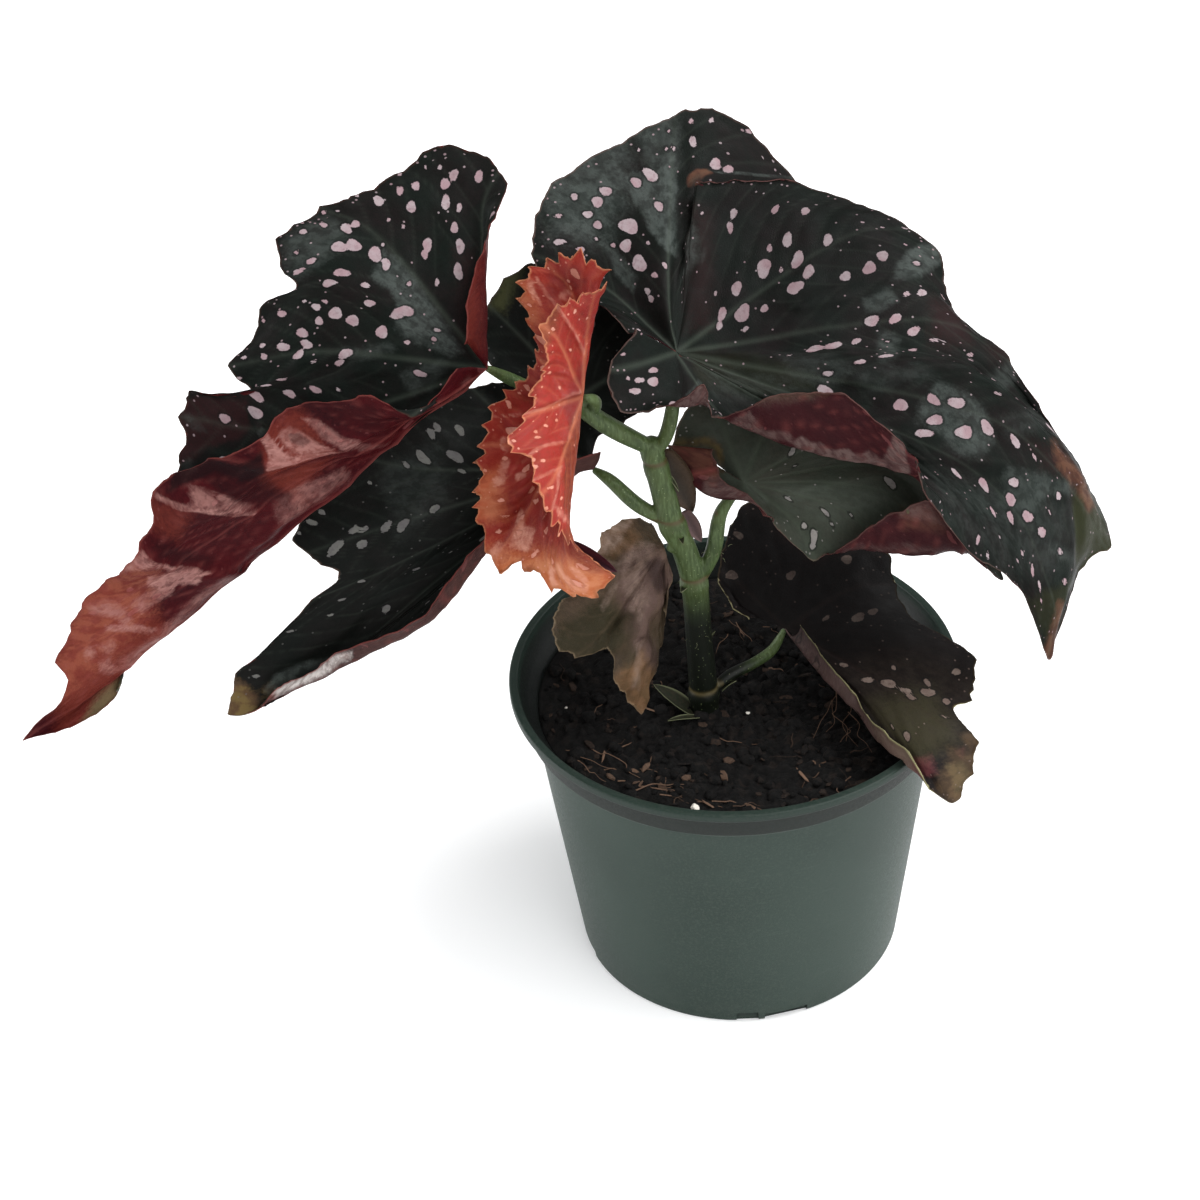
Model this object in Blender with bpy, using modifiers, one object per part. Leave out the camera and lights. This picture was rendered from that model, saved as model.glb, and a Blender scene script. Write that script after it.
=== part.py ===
"""Potted begonia: a cane begonia with eight leaves in a round nursery pot.

Lengths are in millimetres and are turned into metres where meshes are made.
The origin is the middle of the pot's underside, +Z is up and -Y is the front.
"""
import math

import bmesh
import bpy
import numpy as np
from mathutils import Vector, noise

MM = 0.001
OBJECT_NAME = "potted_begonia"
MERGE_DISTANCE = 0.00001

# Pot
RIM_RADIUS = 80.0
POT_HEIGHT = 117.0
LIP_HEIGHT = 3.0
LIP_ROUNDING = 0.8
COLLAR_RADIUS = 76.4
COLLAR_HEIGHT = 13.0
COLLAR_TAPER = 0.8
COLLAR_CHAMFER = 0.6
BODY_TOP_RADIUS = 72.2
BASE_RADIUS = 58.6
BASE_ROUNDING = 3.0
WALL = 1.8
LIP_WALL = 0.4
FLOOR_THICKNESS = 2.2
FLOOR_CHAMFER = 3.0
POT_STEPS = 48
DRAIN_GROUPS = 4
DRAIN_HOLE_ANGLE = -91.0
DRAIN_HOLE_SIZE = (7.0, 14.0, 3.5)
DRAIN_SLOT_ANGLE = -77.0
DRAIN_SLOT_SIZE = (15.0, 9.0, 1.8)
DRAIN_OVERHANG = 3.0

# Soil
SOIL_LEVEL = 104.5
SOIL_CLEARANCE = 0.3
SOIL_RADIUS = BODY_TOP_RADIUS - WALL - SOIL_CLEARANCE
SOIL_BUMP = 2.2
SOIL_BUMP_FADE = 6
SOIL_RINGS = 9
SOIL_NOISE_SCALE = 0.07

# Stem
CANE_HOLE_CLEARANCE = 0.5
CANE_HOLE_SIDES = 16
CANE_BOTTOM = 84.0
CANE_SIDES = 3
PETIOLE_SIDES = 2
# Each route is (x, y, z, radius).
CANE_ROUTE = (
    (-11, -7, CANE_BOTTOM, 5.2), (-11, -7, 108, 5.2), (-12, -5, 135, 4.7), (-13, -4, 159, 4.6),
    (-16, -4, 174, 4.4), (-20, -4, 186, 4.5), (-23, -3, 201, 4.2), (-26, -2, 216, 4.0),
    (-27, -2, 219, 2.6),
)
PETIOLE_ROUTES = {
    "branch": ((-23, -2, 214, 2.6), (-37, -4, 225, 3.3), (-46, -6, 234, 3.0), (-50, -5, 237, 2.2)),
    "petiole_folded": (
        (-44, -5, 232, 1.6), (-51, 0, 233, 2.2), (-58, 8, 232, 2.2), (-66, 12, 234, 2.1),
        (-73, 8, 241, 2.1), (-78.8, -3.4, 252.6, 1.2),
    ),
    "petiole_orange": ((-45, -5, 232, 1.6), (-44, -8, 240, 2.2), (-47.2, -11.6, 244.6, 1.1)),
    "petiole_back": ((-45, -5, 232, 1.6), (-48, 4, 231, 2.1), (-49.7, 13.2, 227, 1.2)),
    "petiole_large": (
        (-26, -2, 213, 2.0), (-21, -2, 220, 2.5), (-18, 1, 230, 2.4), (-16, 4, 248, 1.2),
    ),
    "petiole_low_left": (
        (-18, -4, 184, 2.0), (-31, -3, 193, 2.6), (-40, 1, 201, 2.3), (-45.6, 4.6, 203.6, 1.2),
    ),
    "petiole_under": (
        (-12, -4, 158, 2.0), (-6, -3, 172, 2.8), (-3, -2, 187, 2.4), (3.9, -1, 196.9, 1.2),
    ),
    "petiole_low_right": (
        (-10, -7, 111, 1.6), (-2, -3, 116, 2.2), (7, 1, 118, 2.0), (14, 3, 122, 1.9),
        (18.7, 5, 129.2, 1.1),
    ),
    "petiole_withered": ((-16, -4, 173, 1.4), (-20, -6, 176, 1.6), (-22, -6, 177, 0.9)),
}

# Leaf blades
BLADE_THICKNESS = 0.8
MARGIN_DIP = 0.03
TEAR_ROWS = 3

# A blade is a fan of ribs from its attachment. Each rib is given from the middle outwards,
# and its last point lies on the margin.
LARGE_ATTACHMENT = (-16, 4, 250)
LARGE_RIBS = (
    ((-26, 2, 259), (-29, 1, 262)),
    ((-31, -2, 256), (-38, -5, 254)),
    ((-32, -6, 247), (-40, -9, 249)),
    ((-29, -10, 242), (-36, -15, 240)),
    ((-24, -10, 242), (-26, -15, 239)),
    ((-15, -13, 237), (-16, -19, 246)),
    ((-11, -14, 237), (-8, -22, 254)),
    ((-8, -13, 239), (-6, -17, 237)),
    ((1, -15, 231), (2, -23, 243)),
    ((12, -17, 227), (12, -28, 252)),
    ((23, -18, 223), (24, -30, 255)),
    ((39, -19, 217), (37, -32, 254)),
    ((53, -20, 213), (52, -32, 239)),
    ((60, -20, 211), (58, -29, 229)),
    ((58, -18, 214), (66, -25, 205)),
    ((65, -17, 207), (81, -27, 181)),
    ((72, -17, 207), (97, -28, 167)),
    ((79, -15, 209), (108, -27, 161), (107, -30, 137)),
    ((83, -12, 213), (112, -20, 172), (111, -24, 141)),
    ((83, -8, 220), (117, -12, 183), (123, -6, 158)),
    ((82, -4, 228), (115, -8, 201), (134, 4, 159)),
    ((79, 2, 238), (112, -4, 209), (126, 8, 182)),
    ((73, 8, 244), (106, 2, 222)),
    ((65, 17, 253), (95, 12, 237)),
    ((58, 26, 260), (80, 24, 245)),
    ((48, 34, 267), (76, 38, 261)),
    ((39, 40, 272), (62, 47, 271)),
    ((22, 43, 275), (45, 52, 277)),
    ((-2, 27, 265), (10, 43, 278), (26, 54, 285)),
    ((-7, 25, 267), (0, 42, 279), (8, 53, 287)),
    ((-12, 19, 261), (-9, 34, 275), (-6, 50, 289)),
)
# The blade is torn along its last rib above; these ribs carry on behind the tear.
LARGE_TEAR = ((-10, 32, 264), (4, 47, 267), (27, 62, 275))
LARGE_RIBS_BEHIND = (
    ((-13, 20, 264), (1, 47, 273), (29, 68, 282)),
    ((-14, 21, 266), (-2, 54, 281), (14, 76, 293)),
    ((-16, 22, 269), (-8, 57, 285), (2, 80, 299)),
    ((-17, 19, 267), (-13, 52, 284), (-9, 78, 300)),
    ((-19, 19, 267), (-20, 50, 282), (-23, 72, 297)),
    ((-22, 19, 267), (-29, 46, 279), (-41, 64, 292)),
    ((-38, 40, 273), (-55, 56, 287)),
    ((-41, 34, 269), (-61, 46, 281)),
    ((-43, 27, 265), (-63, 36, 272)),
    ((-40, 20, 262), (-59, 28, 264)),
    ((-31, 12, 260), (-41, 17, 262)),
)

FOLDED_ATTACHMENT = (-79, -4, 253)
FOLDED_RIBS = (
    ((-84, -8, 265), (-86, -10, 267)),
    ((-79, 2, 276), (-85, -4, 276)),
    ((-77, 12, 283), (-81, 6, 287)),
    ((-77, 22, 287), (-75, 20, 291)),
    ((-76, 30, 288), (-69, 36, 300)),
    ((-79, 34, 289), (-74, 46, 305)),
    ((-87, 34, 290), (-92, 48, 310)),
    ((-97, 32, 288), (-110, 42, 301)),
    ((-111, 28, 285), (-132, 36, 295)),
    ((-121, 24, 282), (-147, 32, 287)),
    ((-125, 18, 276), (-147, 24, 275)),
    ((-127, 14, 270), (-155, 20, 266)),
    ((-132, 10, 263), (-159, 15, 255)),
    ((-134, 5, 256), (-165, 10, 250)),
    ((-138, 0, 248), (-174, 4, 244)),
    ((-142, -4, 239), (-183, 0, 240)),
    ((-147, -8, 230), (-186, -6, 225)),
    ((-149, -12, 220), (-192, -12, 213)),
    ((-148, -18, 212), (-209, -24, 181)),
    ((-151, -26, 204), (-207, -38, 162), (-246, -48, 141)),
    ((-97, -11, 244), (-152, -32, 216), (-211, -42, 178), (-229, -47, 162)),
    ((-97, -12, 245), (-152, -36, 229), (-199, -44, 200), (-219, -46, 196)),
    ((-96, -14, 246), (-149, -38, 239), (-186, -45, 218), (-196, -46, 221)),
    ((-96, -15, 247), (-141, -38, 244), (-169, -44, 234), (-189, -45, 242)),
    ((-96, -16, 248), (-133, -36, 245), (-153, -42, 245), (-170, -44, 251)),
    ((-96, -18, 249), (-126, -34, 248), (-143, -40, 252), (-157, -44, 255)),
    ((-96, -19, 250), (-121, -32, 252), (-133, -38, 261), (-144, -42, 268)),
    ((-96, -20, 251), (-113, -29, 253), (-123, -35, 261), (-129, -38, 267)),
    ((-95, -22, 252), (-106, -27, 250), (-112, -31, 257), (-115, -34, 265)),
    ((-91, -20, 254), (-98, -26, 254), (-105, -29, 251)),
    ((-88, -17, 256), (-93, -22, 256), (-97, -25, 255)),
    ((-84, -12, 259), (-87, -15, 261), (-90, -17, 262)),
)

LOW_LEFT_ATTACHMENT = (-47, 6, 205)
LOW_LEFT_RIBS = (
    ((-44, 12, 211), (-41, 16, 211)),
    ((-51, 20, 212), (-53, 28, 216)),
    ((-66, 24, 214), (-76, 36, 220)),
    ((-80, 20, 212), (-97, 24, 225)),
    ((-91, 12, 212), (-114, 18, 220)),
    ((-98, 7, 205), (-130, 10, 212)),
    ((-102, 2, 201), (-143, 2, 199)),
    ((-106, -4, 197), (-150, -8, 190)),
    ((-108, -7, 193), (-141, -14, 183)),
    ((-108, -9, 188), (-135, -16, 179)),
    ((-110, -12, 182), (-145, -20, 173)),
    ((-112, -14, 177), (-152, -24, 164), (-164, -27, 156)),
    ((-111, -16, 172), (-147, -26, 152), (-177, -34, 136)),
    ((-77, -5, 188), (-108, -18, 168), (-136, -27, 153), (-164, -34, 139), (-158, -38, 149)),
    ((-76, -8, 191), (-104, -21, 171), (-126, -29, 155), (-137, -34, 160)),
    ((-75, -11, 194), (-95, -20, 175), (-106, -26, 164), (-112, -32, 169)),
    ((-74, -13, 197), (-88, -19, 183), (-97, -24, 173), (-100, -29, 180)),
    ((-70, -12, 201), (-82, -18, 190), (-88, -21, 187), (-89, -25, 193)),
    ((-63, -8, 203), (-71, -13, 199), (-75, -17, 203)),
    ((-56, -2, 205), (-61, -6, 205), (-65, -10, 208)),
    ((-50, 2, 205), (-52, -2, 208), (-55, -6, 215)),
    ((-46, 3, 205), (-44, 2, 209), (-43, 0, 215)),
)

ORANGE_ATTACHMENT = (-48, -12, 245)
ORANGE_RIBS = (
    ((-42, -16, 281), (-38, -18, 293)),
    ((-46, -20, 280), (-44, -22, 294)),
    ((-51, -23, 281), (-53, -26, 294)),
    ((-55, -25, 276), (-61, -29, 286)),
    ((-56, -26, 269), (-61, -31, 272)),
    ((-58, -27, 262), (-66, -32, 264)),
    ((-59, -32, 255), (-69, -40, 256)),
    ((-61, -37, 250), (-75, -46, 252)),
    ((-59, -42, 245), (-68, -53, 244)),
    ((-58, -45, 239), (-65, -58, 236)),
    ((-56, -47, 233), (-61, -58, 225)),
    ((-55, -48, 225), (-57, -53, 214)),
    ((-55, -44, 218), (-54, -48, 204), (-40, -47, 197)),
    ((-58, -40, 214), (-58, -45, 197), (-47, -48, 187)),
    ((-61, -36, 209), (-61, -41, 194), (-59, -44, 186)),
    ((-65, -32, 208), (-70, -35, 196), (-73, -38, 192)),
    ((-68, -27, 211), (-78, -30, 197), (-82, -33, 188)),
    ((-71, -20, 214), (-81, -24, 208), (-87, -26, 204)),
    ((-72, -19, 224), (-82, -19, 219), (-88, -21, 219)),
    ((-70, -14, 230), (-80, -12, 228), (-86, -12, 227)),
    ((-67, -9, 237), (-76, -4, 238), (-81, -2, 238)),
    ((-62, -4, 243), (-69, -1, 245), (-71, 0, 247)),
    ((-57, -6, 253), (-61, -3, 256), (-62, -2, 260)),
    ((-54, -8, 267), (-62, -4, 272), (-69, -3, 276)),
    ((-51, -10, 278), (-60, -6, 288), (-68, -5, 290)),
    ((-49, -6, 279), (-55, -4, 290), (-59, -3, 295)),
    ((-45, -9, 281), (-47, -8, 292), (-47, -7, 301)),
    ((-42, -12, 282), (-39, -13, 292), (-35, -13, 295)),
)

UNDER_ATTACHMENT = (5, -1, 199)
UNDER_RIBS = (
    ((-12, 9, 206), (-20, 6, 211), (-5, -2, 214)),
    ((-8, 5, 201), (-14, 1, 202), (-3, -6, 209)),
    ((-5, 0, 196), (-10, -5, 194), (-1, -9, 205)),
    ((2, -7, 197), (4, -10, 199), (6, -12, 202)),
    ((9, -7, 197), (13, -10, 191)),
    ((14, -8, 191), (16, -12, 185)),
    ((19, -9, 186), (25, -14, 176)),
    ((22, -9, 185), (29, -16, 174)),
    ((29, -9, 187), (38, -16, 178), (37, -19, 183)),
    ((36, -8, 188), (49, -16, 177), (45, -21, 191)),
    ((43, -8, 190), (59, -16, 174), (52, -22, 197)),
    ((48, -6, 192), (71, -14, 172), (65, -21, 202)),
    ((53, -4, 194), (80, -12, 170), (74, -18, 191)),
    ((55, -1, 196), (86, -10, 165), (83, -14, 173)),
    ((57, 2, 198), (95, -8, 156)),
    ((53, 7, 203), (83, 4, 182)),
    ((46, 12, 211), (70, 12, 207)),
    ((33, 17, 217), (47, 22, 227)),
    ((19, 17, 218), (23, 24, 229)),
    ((7, 16, 217), (6, 23, 227)),
    ((-2, 12, 216), (-8, 18, 225)),
    ((-9, 9, 212), (-16, 12, 217)),
)

LOW_RIGHT_ATTACHMENT = (19, 5, 130)
LOW_RIGHT_RIBS = (
    ((9, 11, 131), (7, 14, 130)),
    ((3, 16, 134), (-2, 24, 134)),
    ((4, 23, 138), (-4, 29, 140)),
    ((8, 29, 142), (1, 42, 147)),
    ((12, 33, 145), (9, 52, 153)),
    ((20, 31, 146), (25, 51, 155)),
    ((32, 27, 145), (42, 41, 152)),
    ((40, 19, 142), (58, 26, 146)),
    ((43, 13, 139), (60, 16, 138)),
    ((46, 7, 137), (65, 4, 132)),
    ((49, 2, 134), (77, -2, 127)),
    ((50, -4, 131), (86, -9, 122)),
    ((51, -11, 128), (82, -29, 120)),
    ((51, -17, 127), (75, -37, 121)),
    ((52, -24, 125), (71, -43, 121), (82, -48, 117)),
    ((51, -31, 124), (67, -55, 120), (79, -59, 112)),
    ((49, -36, 123), (62, -62, 120), (71, -69, 107)),
    ((45, -32, 122), (55, -56, 119), (57, -68, 118)),
    ((39, -25, 122), (51, -60, 120)),
    ((33, -17, 123), (41, -37, 121)),
    ((26, -9, 126), (28, -15, 125)),
    ((22, -4, 129), (22, -5, 131)),
)

WITHERED_ATTACHMENT = (-23, -6, 177)
WITHERED_RIBS = (
    ((-26, -5, 184), (-27, -2, 185)),
    ((-30, 1, 182), (-34, 4, 184)),
    ((-38, 0, 178), (-45, 2, 178)),
    ((-39, -5, 174), (-47, -4, 173)),
    ((-40, -13, 169), (-54, -12, 165)),
    ((-44, -17, 162), (-62, -16, 162)),
    ((-46, -20, 158), (-64, -22, 150)),
    ((-45, -22, 154), (-56, -26, 146)),
    ((-40, -24, 154), (-44, -27, 148)),
    ((-37, -26, 149), (-43, -28, 137)),
    ((-33, -24, 142), (-38, -27, 125)),
    ((-31, -19, 136), (-34, -22, 116)),
    ((-28, -15, 141), (-30, -18, 124)),
    ((-25, -12, 150), (-26, -14, 138)),
    ((-22, -10, 159), (-23, -11, 156)),
    ((-21, -9, 167), (-20, -10, 165)),
)

BACK_ATTACHMENT = (-50, 14, 227)
BACK_RIBS = (
    ((-41, 13, 219), (-35, 12, 216)),
    ((-35, 17, 223), (-25, 20, 220)),
    ((-34, 24, 230), (-23, 30, 232)),
    ((-36, 30, 237), (-25, 40, 242)),
    ((-42, 35, 244), (-37, 47, 251)),
    ((-51, 37, 247), (-51, 50, 257)),
    ((-59, 37, 248), (-63, 50, 260)),
    ((-66, 36, 246), (-73, 47, 256)),
    ((-69, 33, 241), (-79, 42, 249)),
    ((-71, 28, 238), (-83, 35, 240)),
    ((-69, 25, 232), (-78, 30, 231)),
    ((-60, 20, 227), (-65, 24, 226)),
)

# Name, attachment, ribs, rows along a rib, columns between ribs, colour (linear RGB)
SIMPLE_LEAVES = (
    ("leaf_folded", FOLDED_ATTACHMENT, FOLDED_RIBS, 7, 1, (0.045, 0.022, 0.022)),
    ("leaf_low_left", LOW_LEFT_ATTACHMENT, LOW_LEFT_RIBS, 6, 2, (0.022, 0.030, 0.026)),
    ("leaf_orange", ORANGE_ATTACHMENT, ORANGE_RIBS, 6, 1, (0.520, 0.090, 0.035)),
    ("leaf_under", UNDER_ATTACHMENT, UNDER_RIBS, 6, 1, (0.040, 0.050, 0.042)),
    ("leaf_low_right", LOW_RIGHT_ATTACHMENT, LOW_RIGHT_RIBS, 6, 2, (0.030, 0.020, 0.018)),
    ("leaf_withered", WITHERED_ATTACHMENT, WITHERED_RIBS, 6, 2, (0.130, 0.095, 0.075)),
    ("leaf_back", BACK_ATTACHMENT, BACK_RIBS, 5, 2, (0.020, 0.028, 0.024)),
)
LARGE_ROWS = 8
LARGE_COLUMNS_BETWEEN = 1


def clear_scene():
    for obj in list(bpy.data.objects):
        bpy.data.objects.remove(obj, do_unlink=True)


def new_collection(name):
    collection = bpy.data.collections.new(name)
    bpy.context.scene.collection.children.link(collection)
    return collection


def new_material(name, colour, roughness, metallic=0.0):
    material = bpy.data.materials.new(name)
    material.use_nodes = True
    shader = material.node_tree.nodes["Principled BSDF"]
    shader.inputs["Base Color"].default_value = (*colour, 1.0)
    shader.inputs["Roughness"].default_value = roughness
    shader.inputs["Metallic"].default_value = metallic
    return material


def add_object(name, data, collection, material=None):
    obj = bpy.data.objects.new(name, data)
    collection.objects.link(obj)
    if material is not None:
        data.materials.append(material)
    return obj


def mark_as_cutter(obj):
    obj.hide_render = True
    obj.display_type = "WIRE"


def add_boolean(obj, cutter, operation):
    modifier = obj.modifiers.new(f"{operation.lower()}_{cutter.name}", "BOOLEAN")
    modifier.operation = operation
    modifier.solver = "EXACT"
    modifier.object = cutter


def evaluated_mesh(obj):
    """Mesh of the object with its modifiers or its curve bevel, welded."""
    depsgraph = bpy.context.evaluated_depsgraph_get()
    mesh = bpy.data.meshes.new_from_object(obj.evaluated_get(depsgraph))
    edit = bmesh.new()
    edit.from_mesh(mesh)
    bmesh.ops.remove_doubles(edit, verts=edit.verts, dist=MERGE_DISTANCE)
    edit.to_mesh(mesh)
    edit.free()
    return mesh


def turned(name, profile, collection, steps):
    """Object with a Screw modifier on a profile of (radius, height) points, outer side first."""
    mesh = bpy.data.meshes.new(name)
    points = [(radius * MM, 0.0, height * MM) for radius, height in profile]
    edges = [(i, i + 1) for i in range(len(points) - 1)]
    mesh.from_pydata(points, edges, [])
    obj = add_object(name, mesh, collection)
    screw = obj.modifiers.new("turn", "SCREW")
    screw.steps = steps
    screw.render_steps = steps
    screw.use_merge_vertices = True
    screw.merge_threshold = MERGE_DISTANCE
    return obj


def arc(centre, radius, start, end, steps):
    """Points of an arc in a profile, angles in degrees from the outward direction."""
    points = []
    for i in range(steps + 1):
        angle = math.radians(start + (end - start) * i / steps)
        points.append((centre[0] + radius * math.cos(angle), centre[1] + radius * math.sin(angle)))
    return points


def pot_profile():
    """Closed section of the pot, from the lip's top down the outside and up the inside."""
    collar_bottom = POT_HEIGHT - COLLAR_HEIGHT
    collar_foot = COLLAR_RADIUS - COLLAR_TAPER
    lip_inner = COLLAR_RADIUS + LIP_WALL
    lip_centre = (RIM_RADIUS - LIP_ROUNDING, POT_HEIGHT - LIP_ROUNDING)
    corner = (BASE_RADIUS - BASE_ROUNDING, BASE_ROUNDING)
    outside = [(lip_inner, POT_HEIGHT)]
    outside += arc(lip_centre, LIP_ROUNDING, 90, 0, 2)
    outside.append((RIM_RADIUS, POT_HEIGHT - LIP_HEIGHT))
    outside.append((COLLAR_RADIUS, POT_HEIGHT - LIP_HEIGHT - COLLAR_CHAMFER))
    outside.append((collar_foot, collar_bottom + COLLAR_CHAMFER))
    outside.append((BODY_TOP_RADIUS, collar_bottom))
    outside += arc(corner, BASE_ROUNDING, 0, -90, 4)
    inside = [
        (BASE_RADIUS - WALL - FLOOR_CHAMFER, FLOOR_THICKNESS),
        (BASE_RADIUS - WALL, FLOOR_THICKNESS + FLOOR_CHAMFER),
        (BODY_TOP_RADIUS - WALL, collar_bottom + WALL / 2),
        (collar_foot - WALL, collar_bottom + WALL / 2 + COLLAR_RADIUS - BODY_TOP_RADIUS),
    ]
    return [*outside, (0.0, 0.0)], [(0.0, FLOOR_THICKNESS), *inside, (lip_inner, POT_HEIGHT)]


def add_drain_cutter(name, angle, size, collection):
    """Box across the pot's bottom corner, centred on the corner at the given angle."""
    width, depth, height = size
    bpy.ops.mesh.primitive_cube_add(size=1.0)
    cutter = bpy.context.active_object
    cutter.name = name
    for owner in list(cutter.users_collection):
        owner.objects.unlink(cutter)
    collection.objects.link(cutter)
    for vertex in cutter.data.vertices:
        vertex.co = Vector((vertex.co.x * depth, vertex.co.y * width, vertex.co.z * 2 * height)) * MM
    turn = math.radians(angle)
    centre = BASE_RADIUS - depth / 2 + DRAIN_OVERHANG
    cutter.location = (centre * math.cos(turn) * MM, centre * math.sin(turn) * MM, 0.0)
    cutter.rotation_euler = (0.0, 0.0, turn)
    mark_as_cutter(cutter)
    return cutter


def build_pot(parts, cutters):
    outside, inside = pot_profile()
    pot = turned("pot", outside + inside, parts, POT_STEPS)
    pot.data.materials.append(new_material("pot_plastic", (0.058, 0.095, 0.075), 0.48))
    for group in range(DRAIN_GROUPS):
        turn = group * 360.0 / DRAIN_GROUPS
        hole = add_drain_cutter(f"drain_hole_{group}", DRAIN_HOLE_ANGLE + turn, DRAIN_HOLE_SIZE, cutters)
        slot = add_drain_cutter(f"drain_slot_{group}", DRAIN_SLOT_ANGLE + turn, DRAIN_SLOT_SIZE, cutters)
        add_boolean(pot, hole, "DIFFERENCE")
        add_boolean(pot, slot, "DIFFERENCE")
    return pot


def soil_profile():
    """Soil from the middle of its surface out to the wall and down to the pot's floor."""
    surface = [(SOIL_RADIUS * i / SOIL_RINGS, SOIL_LEVEL) for i in range(SOIL_RINGS + 1)]
    side = [
        (BASE_RADIUS - WALL - SOIL_CLEARANCE, FLOOR_THICKNESS + FLOOR_CHAMFER + SOIL_CLEARANCE),
        (BASE_RADIUS - WALL - FLOOR_CHAMFER - SOIL_CLEARANCE, FLOOR_THICKNESS + SOIL_CLEARANCE),
        (0.0, FLOOR_THICKNESS + SOIL_CLEARANCE),
    ]
    return surface + side


def roughen_soil(mesh):
    """Bumps on the surface that fade out at the wall."""
    for vertex in mesh.vertices:
        x, y, z = vertex.co / MM
        if z < SOIL_LEVEL / 2:
            continue
        fade = 1.0 - min(1.0, math.hypot(x, y) / SOIL_RADIUS) ** SOIL_BUMP_FADE
        place = Vector((x, y, 0.0)) * SOIL_NOISE_SCALE
        vertex.co.z += noise.noise(place) * SOIL_BUMP * fade * MM


def build_soil(parts, cutters):
    rough = turned("soil_turned", soil_profile(), cutters, POT_STEPS)
    mesh = evaluated_mesh(rough)
    bpy.data.objects.remove(rough, do_unlink=True)
    roughen_soil(mesh)
    mesh.name = "soil"
    soil = add_object("soil", mesh, parts, new_material("soil_peat", (0.018, 0.013, 0.010), 0.95))
    x, y, z, radius = CANE_ROUTE[0]
    bottom = z - CANE_HOLE_CLEARANCE
    depth = POT_HEIGHT - bottom
    bpy.ops.mesh.primitive_cylinder_add(
        vertices=CANE_HOLE_SIDES,
        radius=(radius + CANE_HOLE_CLEARANCE) * MM,
        depth=depth * MM,
        location=(x * MM, y * MM, (bottom + depth / 2) * MM),
    )
    hole = bpy.context.active_object
    hole.name = "cane_hole"
    for owner in list(hole.users_collection):
        owner.objects.unlink(hole)
    cutters.objects.link(hole)
    mark_as_cutter(hole)
    add_boolean(soil, hole, "DIFFERENCE")
    return soil


def tube(name, route, sides, collection):
    """Closed tube along a smooth route of (x, y, z, radius) points."""
    curve = bpy.data.curves.new(name, "CURVE")
    curve.dimensions = "3D"
    curve.bevel_depth = MM
    curve.bevel_resolution = sides
    curve.resolution_u = 3
    curve.use_fill_caps = True
    spline = curve.splines.new("BEZIER")
    spline.bezier_points.add(len(route) - 1)
    for point, (x, y, z, radius) in zip(spline.bezier_points, route):
        point.co = Vector((x, y, z)) * MM
        point.radius = radius
        point.handle_left_type = "AUTO"
        point.handle_right_type = "AUTO"
    drawn = add_object(name + "_curve", curve, collection)
    mesh = evaluated_mesh(drawn)
    bpy.data.objects.remove(drawn, do_unlink=True)
    mesh.name = name
    return add_object(name, mesh, collection)


def build_stem(parts, cutters):
    """Cane, side branch and petioles joined into one stem."""
    stem = tube("stem", CANE_ROUTE, CANE_SIDES, parts)
    stem.data.materials.append(new_material("stem_green", (0.095, 0.150, 0.050), 0.50))
    for name, route in PETIOLE_ROUTES.items():
        petiole = tube(name, route, PETIOLE_SIDES, cutters)
        mark_as_cutter(petiole)
        add_boolean(stem, petiole, "UNION")
    return stem


def spline_at(points, places):
    """Smooth curve through points along the first axis, read at places from 0 to count - 1."""
    points = np.asarray(points, dtype=float)
    places = np.asarray(places, dtype=float)
    padded = np.concatenate([[2 * points[0] - points[1]], points, [2 * points[-1] - points[-2]]])
    index = np.clip(places.astype(int), 0, len(points) - 2)
    part = (places - index).reshape((-1,) + (1,) * (points.ndim - 1))
    before, start, end, after = (padded[index + i] for i in range(4))
    return 0.5 * (
        2 * start
        + (end - before) * part
        + (2 * before - 5 * start + 4 * end - after) * part ** 2
        + (3 * start - before - 3 * end + after) * part ** 3
    )


def evenly_spaced(points, fractions):
    """Points at fractions of the length of the smooth curve through the given points."""
    fine = spline_at(points, np.linspace(0, len(points) - 1, 40 * (len(points) - 1) + 1))
    steps = np.linalg.norm(np.diff(fine, axis=0), axis=1)
    length = np.concatenate([[0.0], np.cumsum(steps)])
    wanted = np.asarray(fractions) * length[-1]
    return np.stack([np.interp(wanted, length, fine[:, axis]) for axis in range(3)], axis=-1)


def rib_rows(attachment, ribs, rows):
    """Array of rib by row of points, row 0 being the attachment."""
    fractions = np.linspace(0, 1, rows + 1)
    return np.array([evenly_spaced([attachment, *rib], fractions) for rib in ribs])


def fan_grid(curves, between):
    """Array of column by row of points, with columns added between the ribs."""
    count, rows = curves.shape[0], curves.shape[1] - 1
    columns = []
    for place in np.linspace(0, count - 1, (count - 1) * between + 1):
        part = place - int(place)
        reach = 1.0 - MARGIN_DIP * (1.0 - abs(2.0 * part - 1.0) ** 1.5)
        places = np.linspace(0, rows, rows + 1) * reach
        shortened = np.stack([spline_at(curve, places) for curve in curves])
        columns.append(spline_at(shortened, [place])[0])
    return np.array(columns)


def torn_curve(torn_rib, points_behind, rows):
    """Rib that follows the torn one for its first rows and then runs behind it."""
    fractions = np.linspace(0, 1, rows - TEAR_ROWS + 1)
    behind = evenly_spaced([torn_rib[TEAR_ROWS], *points_behind], fractions)
    return np.concatenate([torn_rib[:TEAR_ROWS], behind])


def fan_faces(edit, grid):
    """Triangles of one fan in the mesh being edited."""
    columns = [[edit.verts.new(Vector(point) * MM) for point in column] for column in grid.tolist()]
    for left, right in zip(columns, columns[1:]):
        edit.faces.new((left[0], right[1], left[1]))
        for row in range(1, len(left) - 1):
            edit.faces.new((left[row], right[row], right[row + 1]))
            edit.faces.new((left[row], right[row + 1], left[row + 1]))


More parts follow.
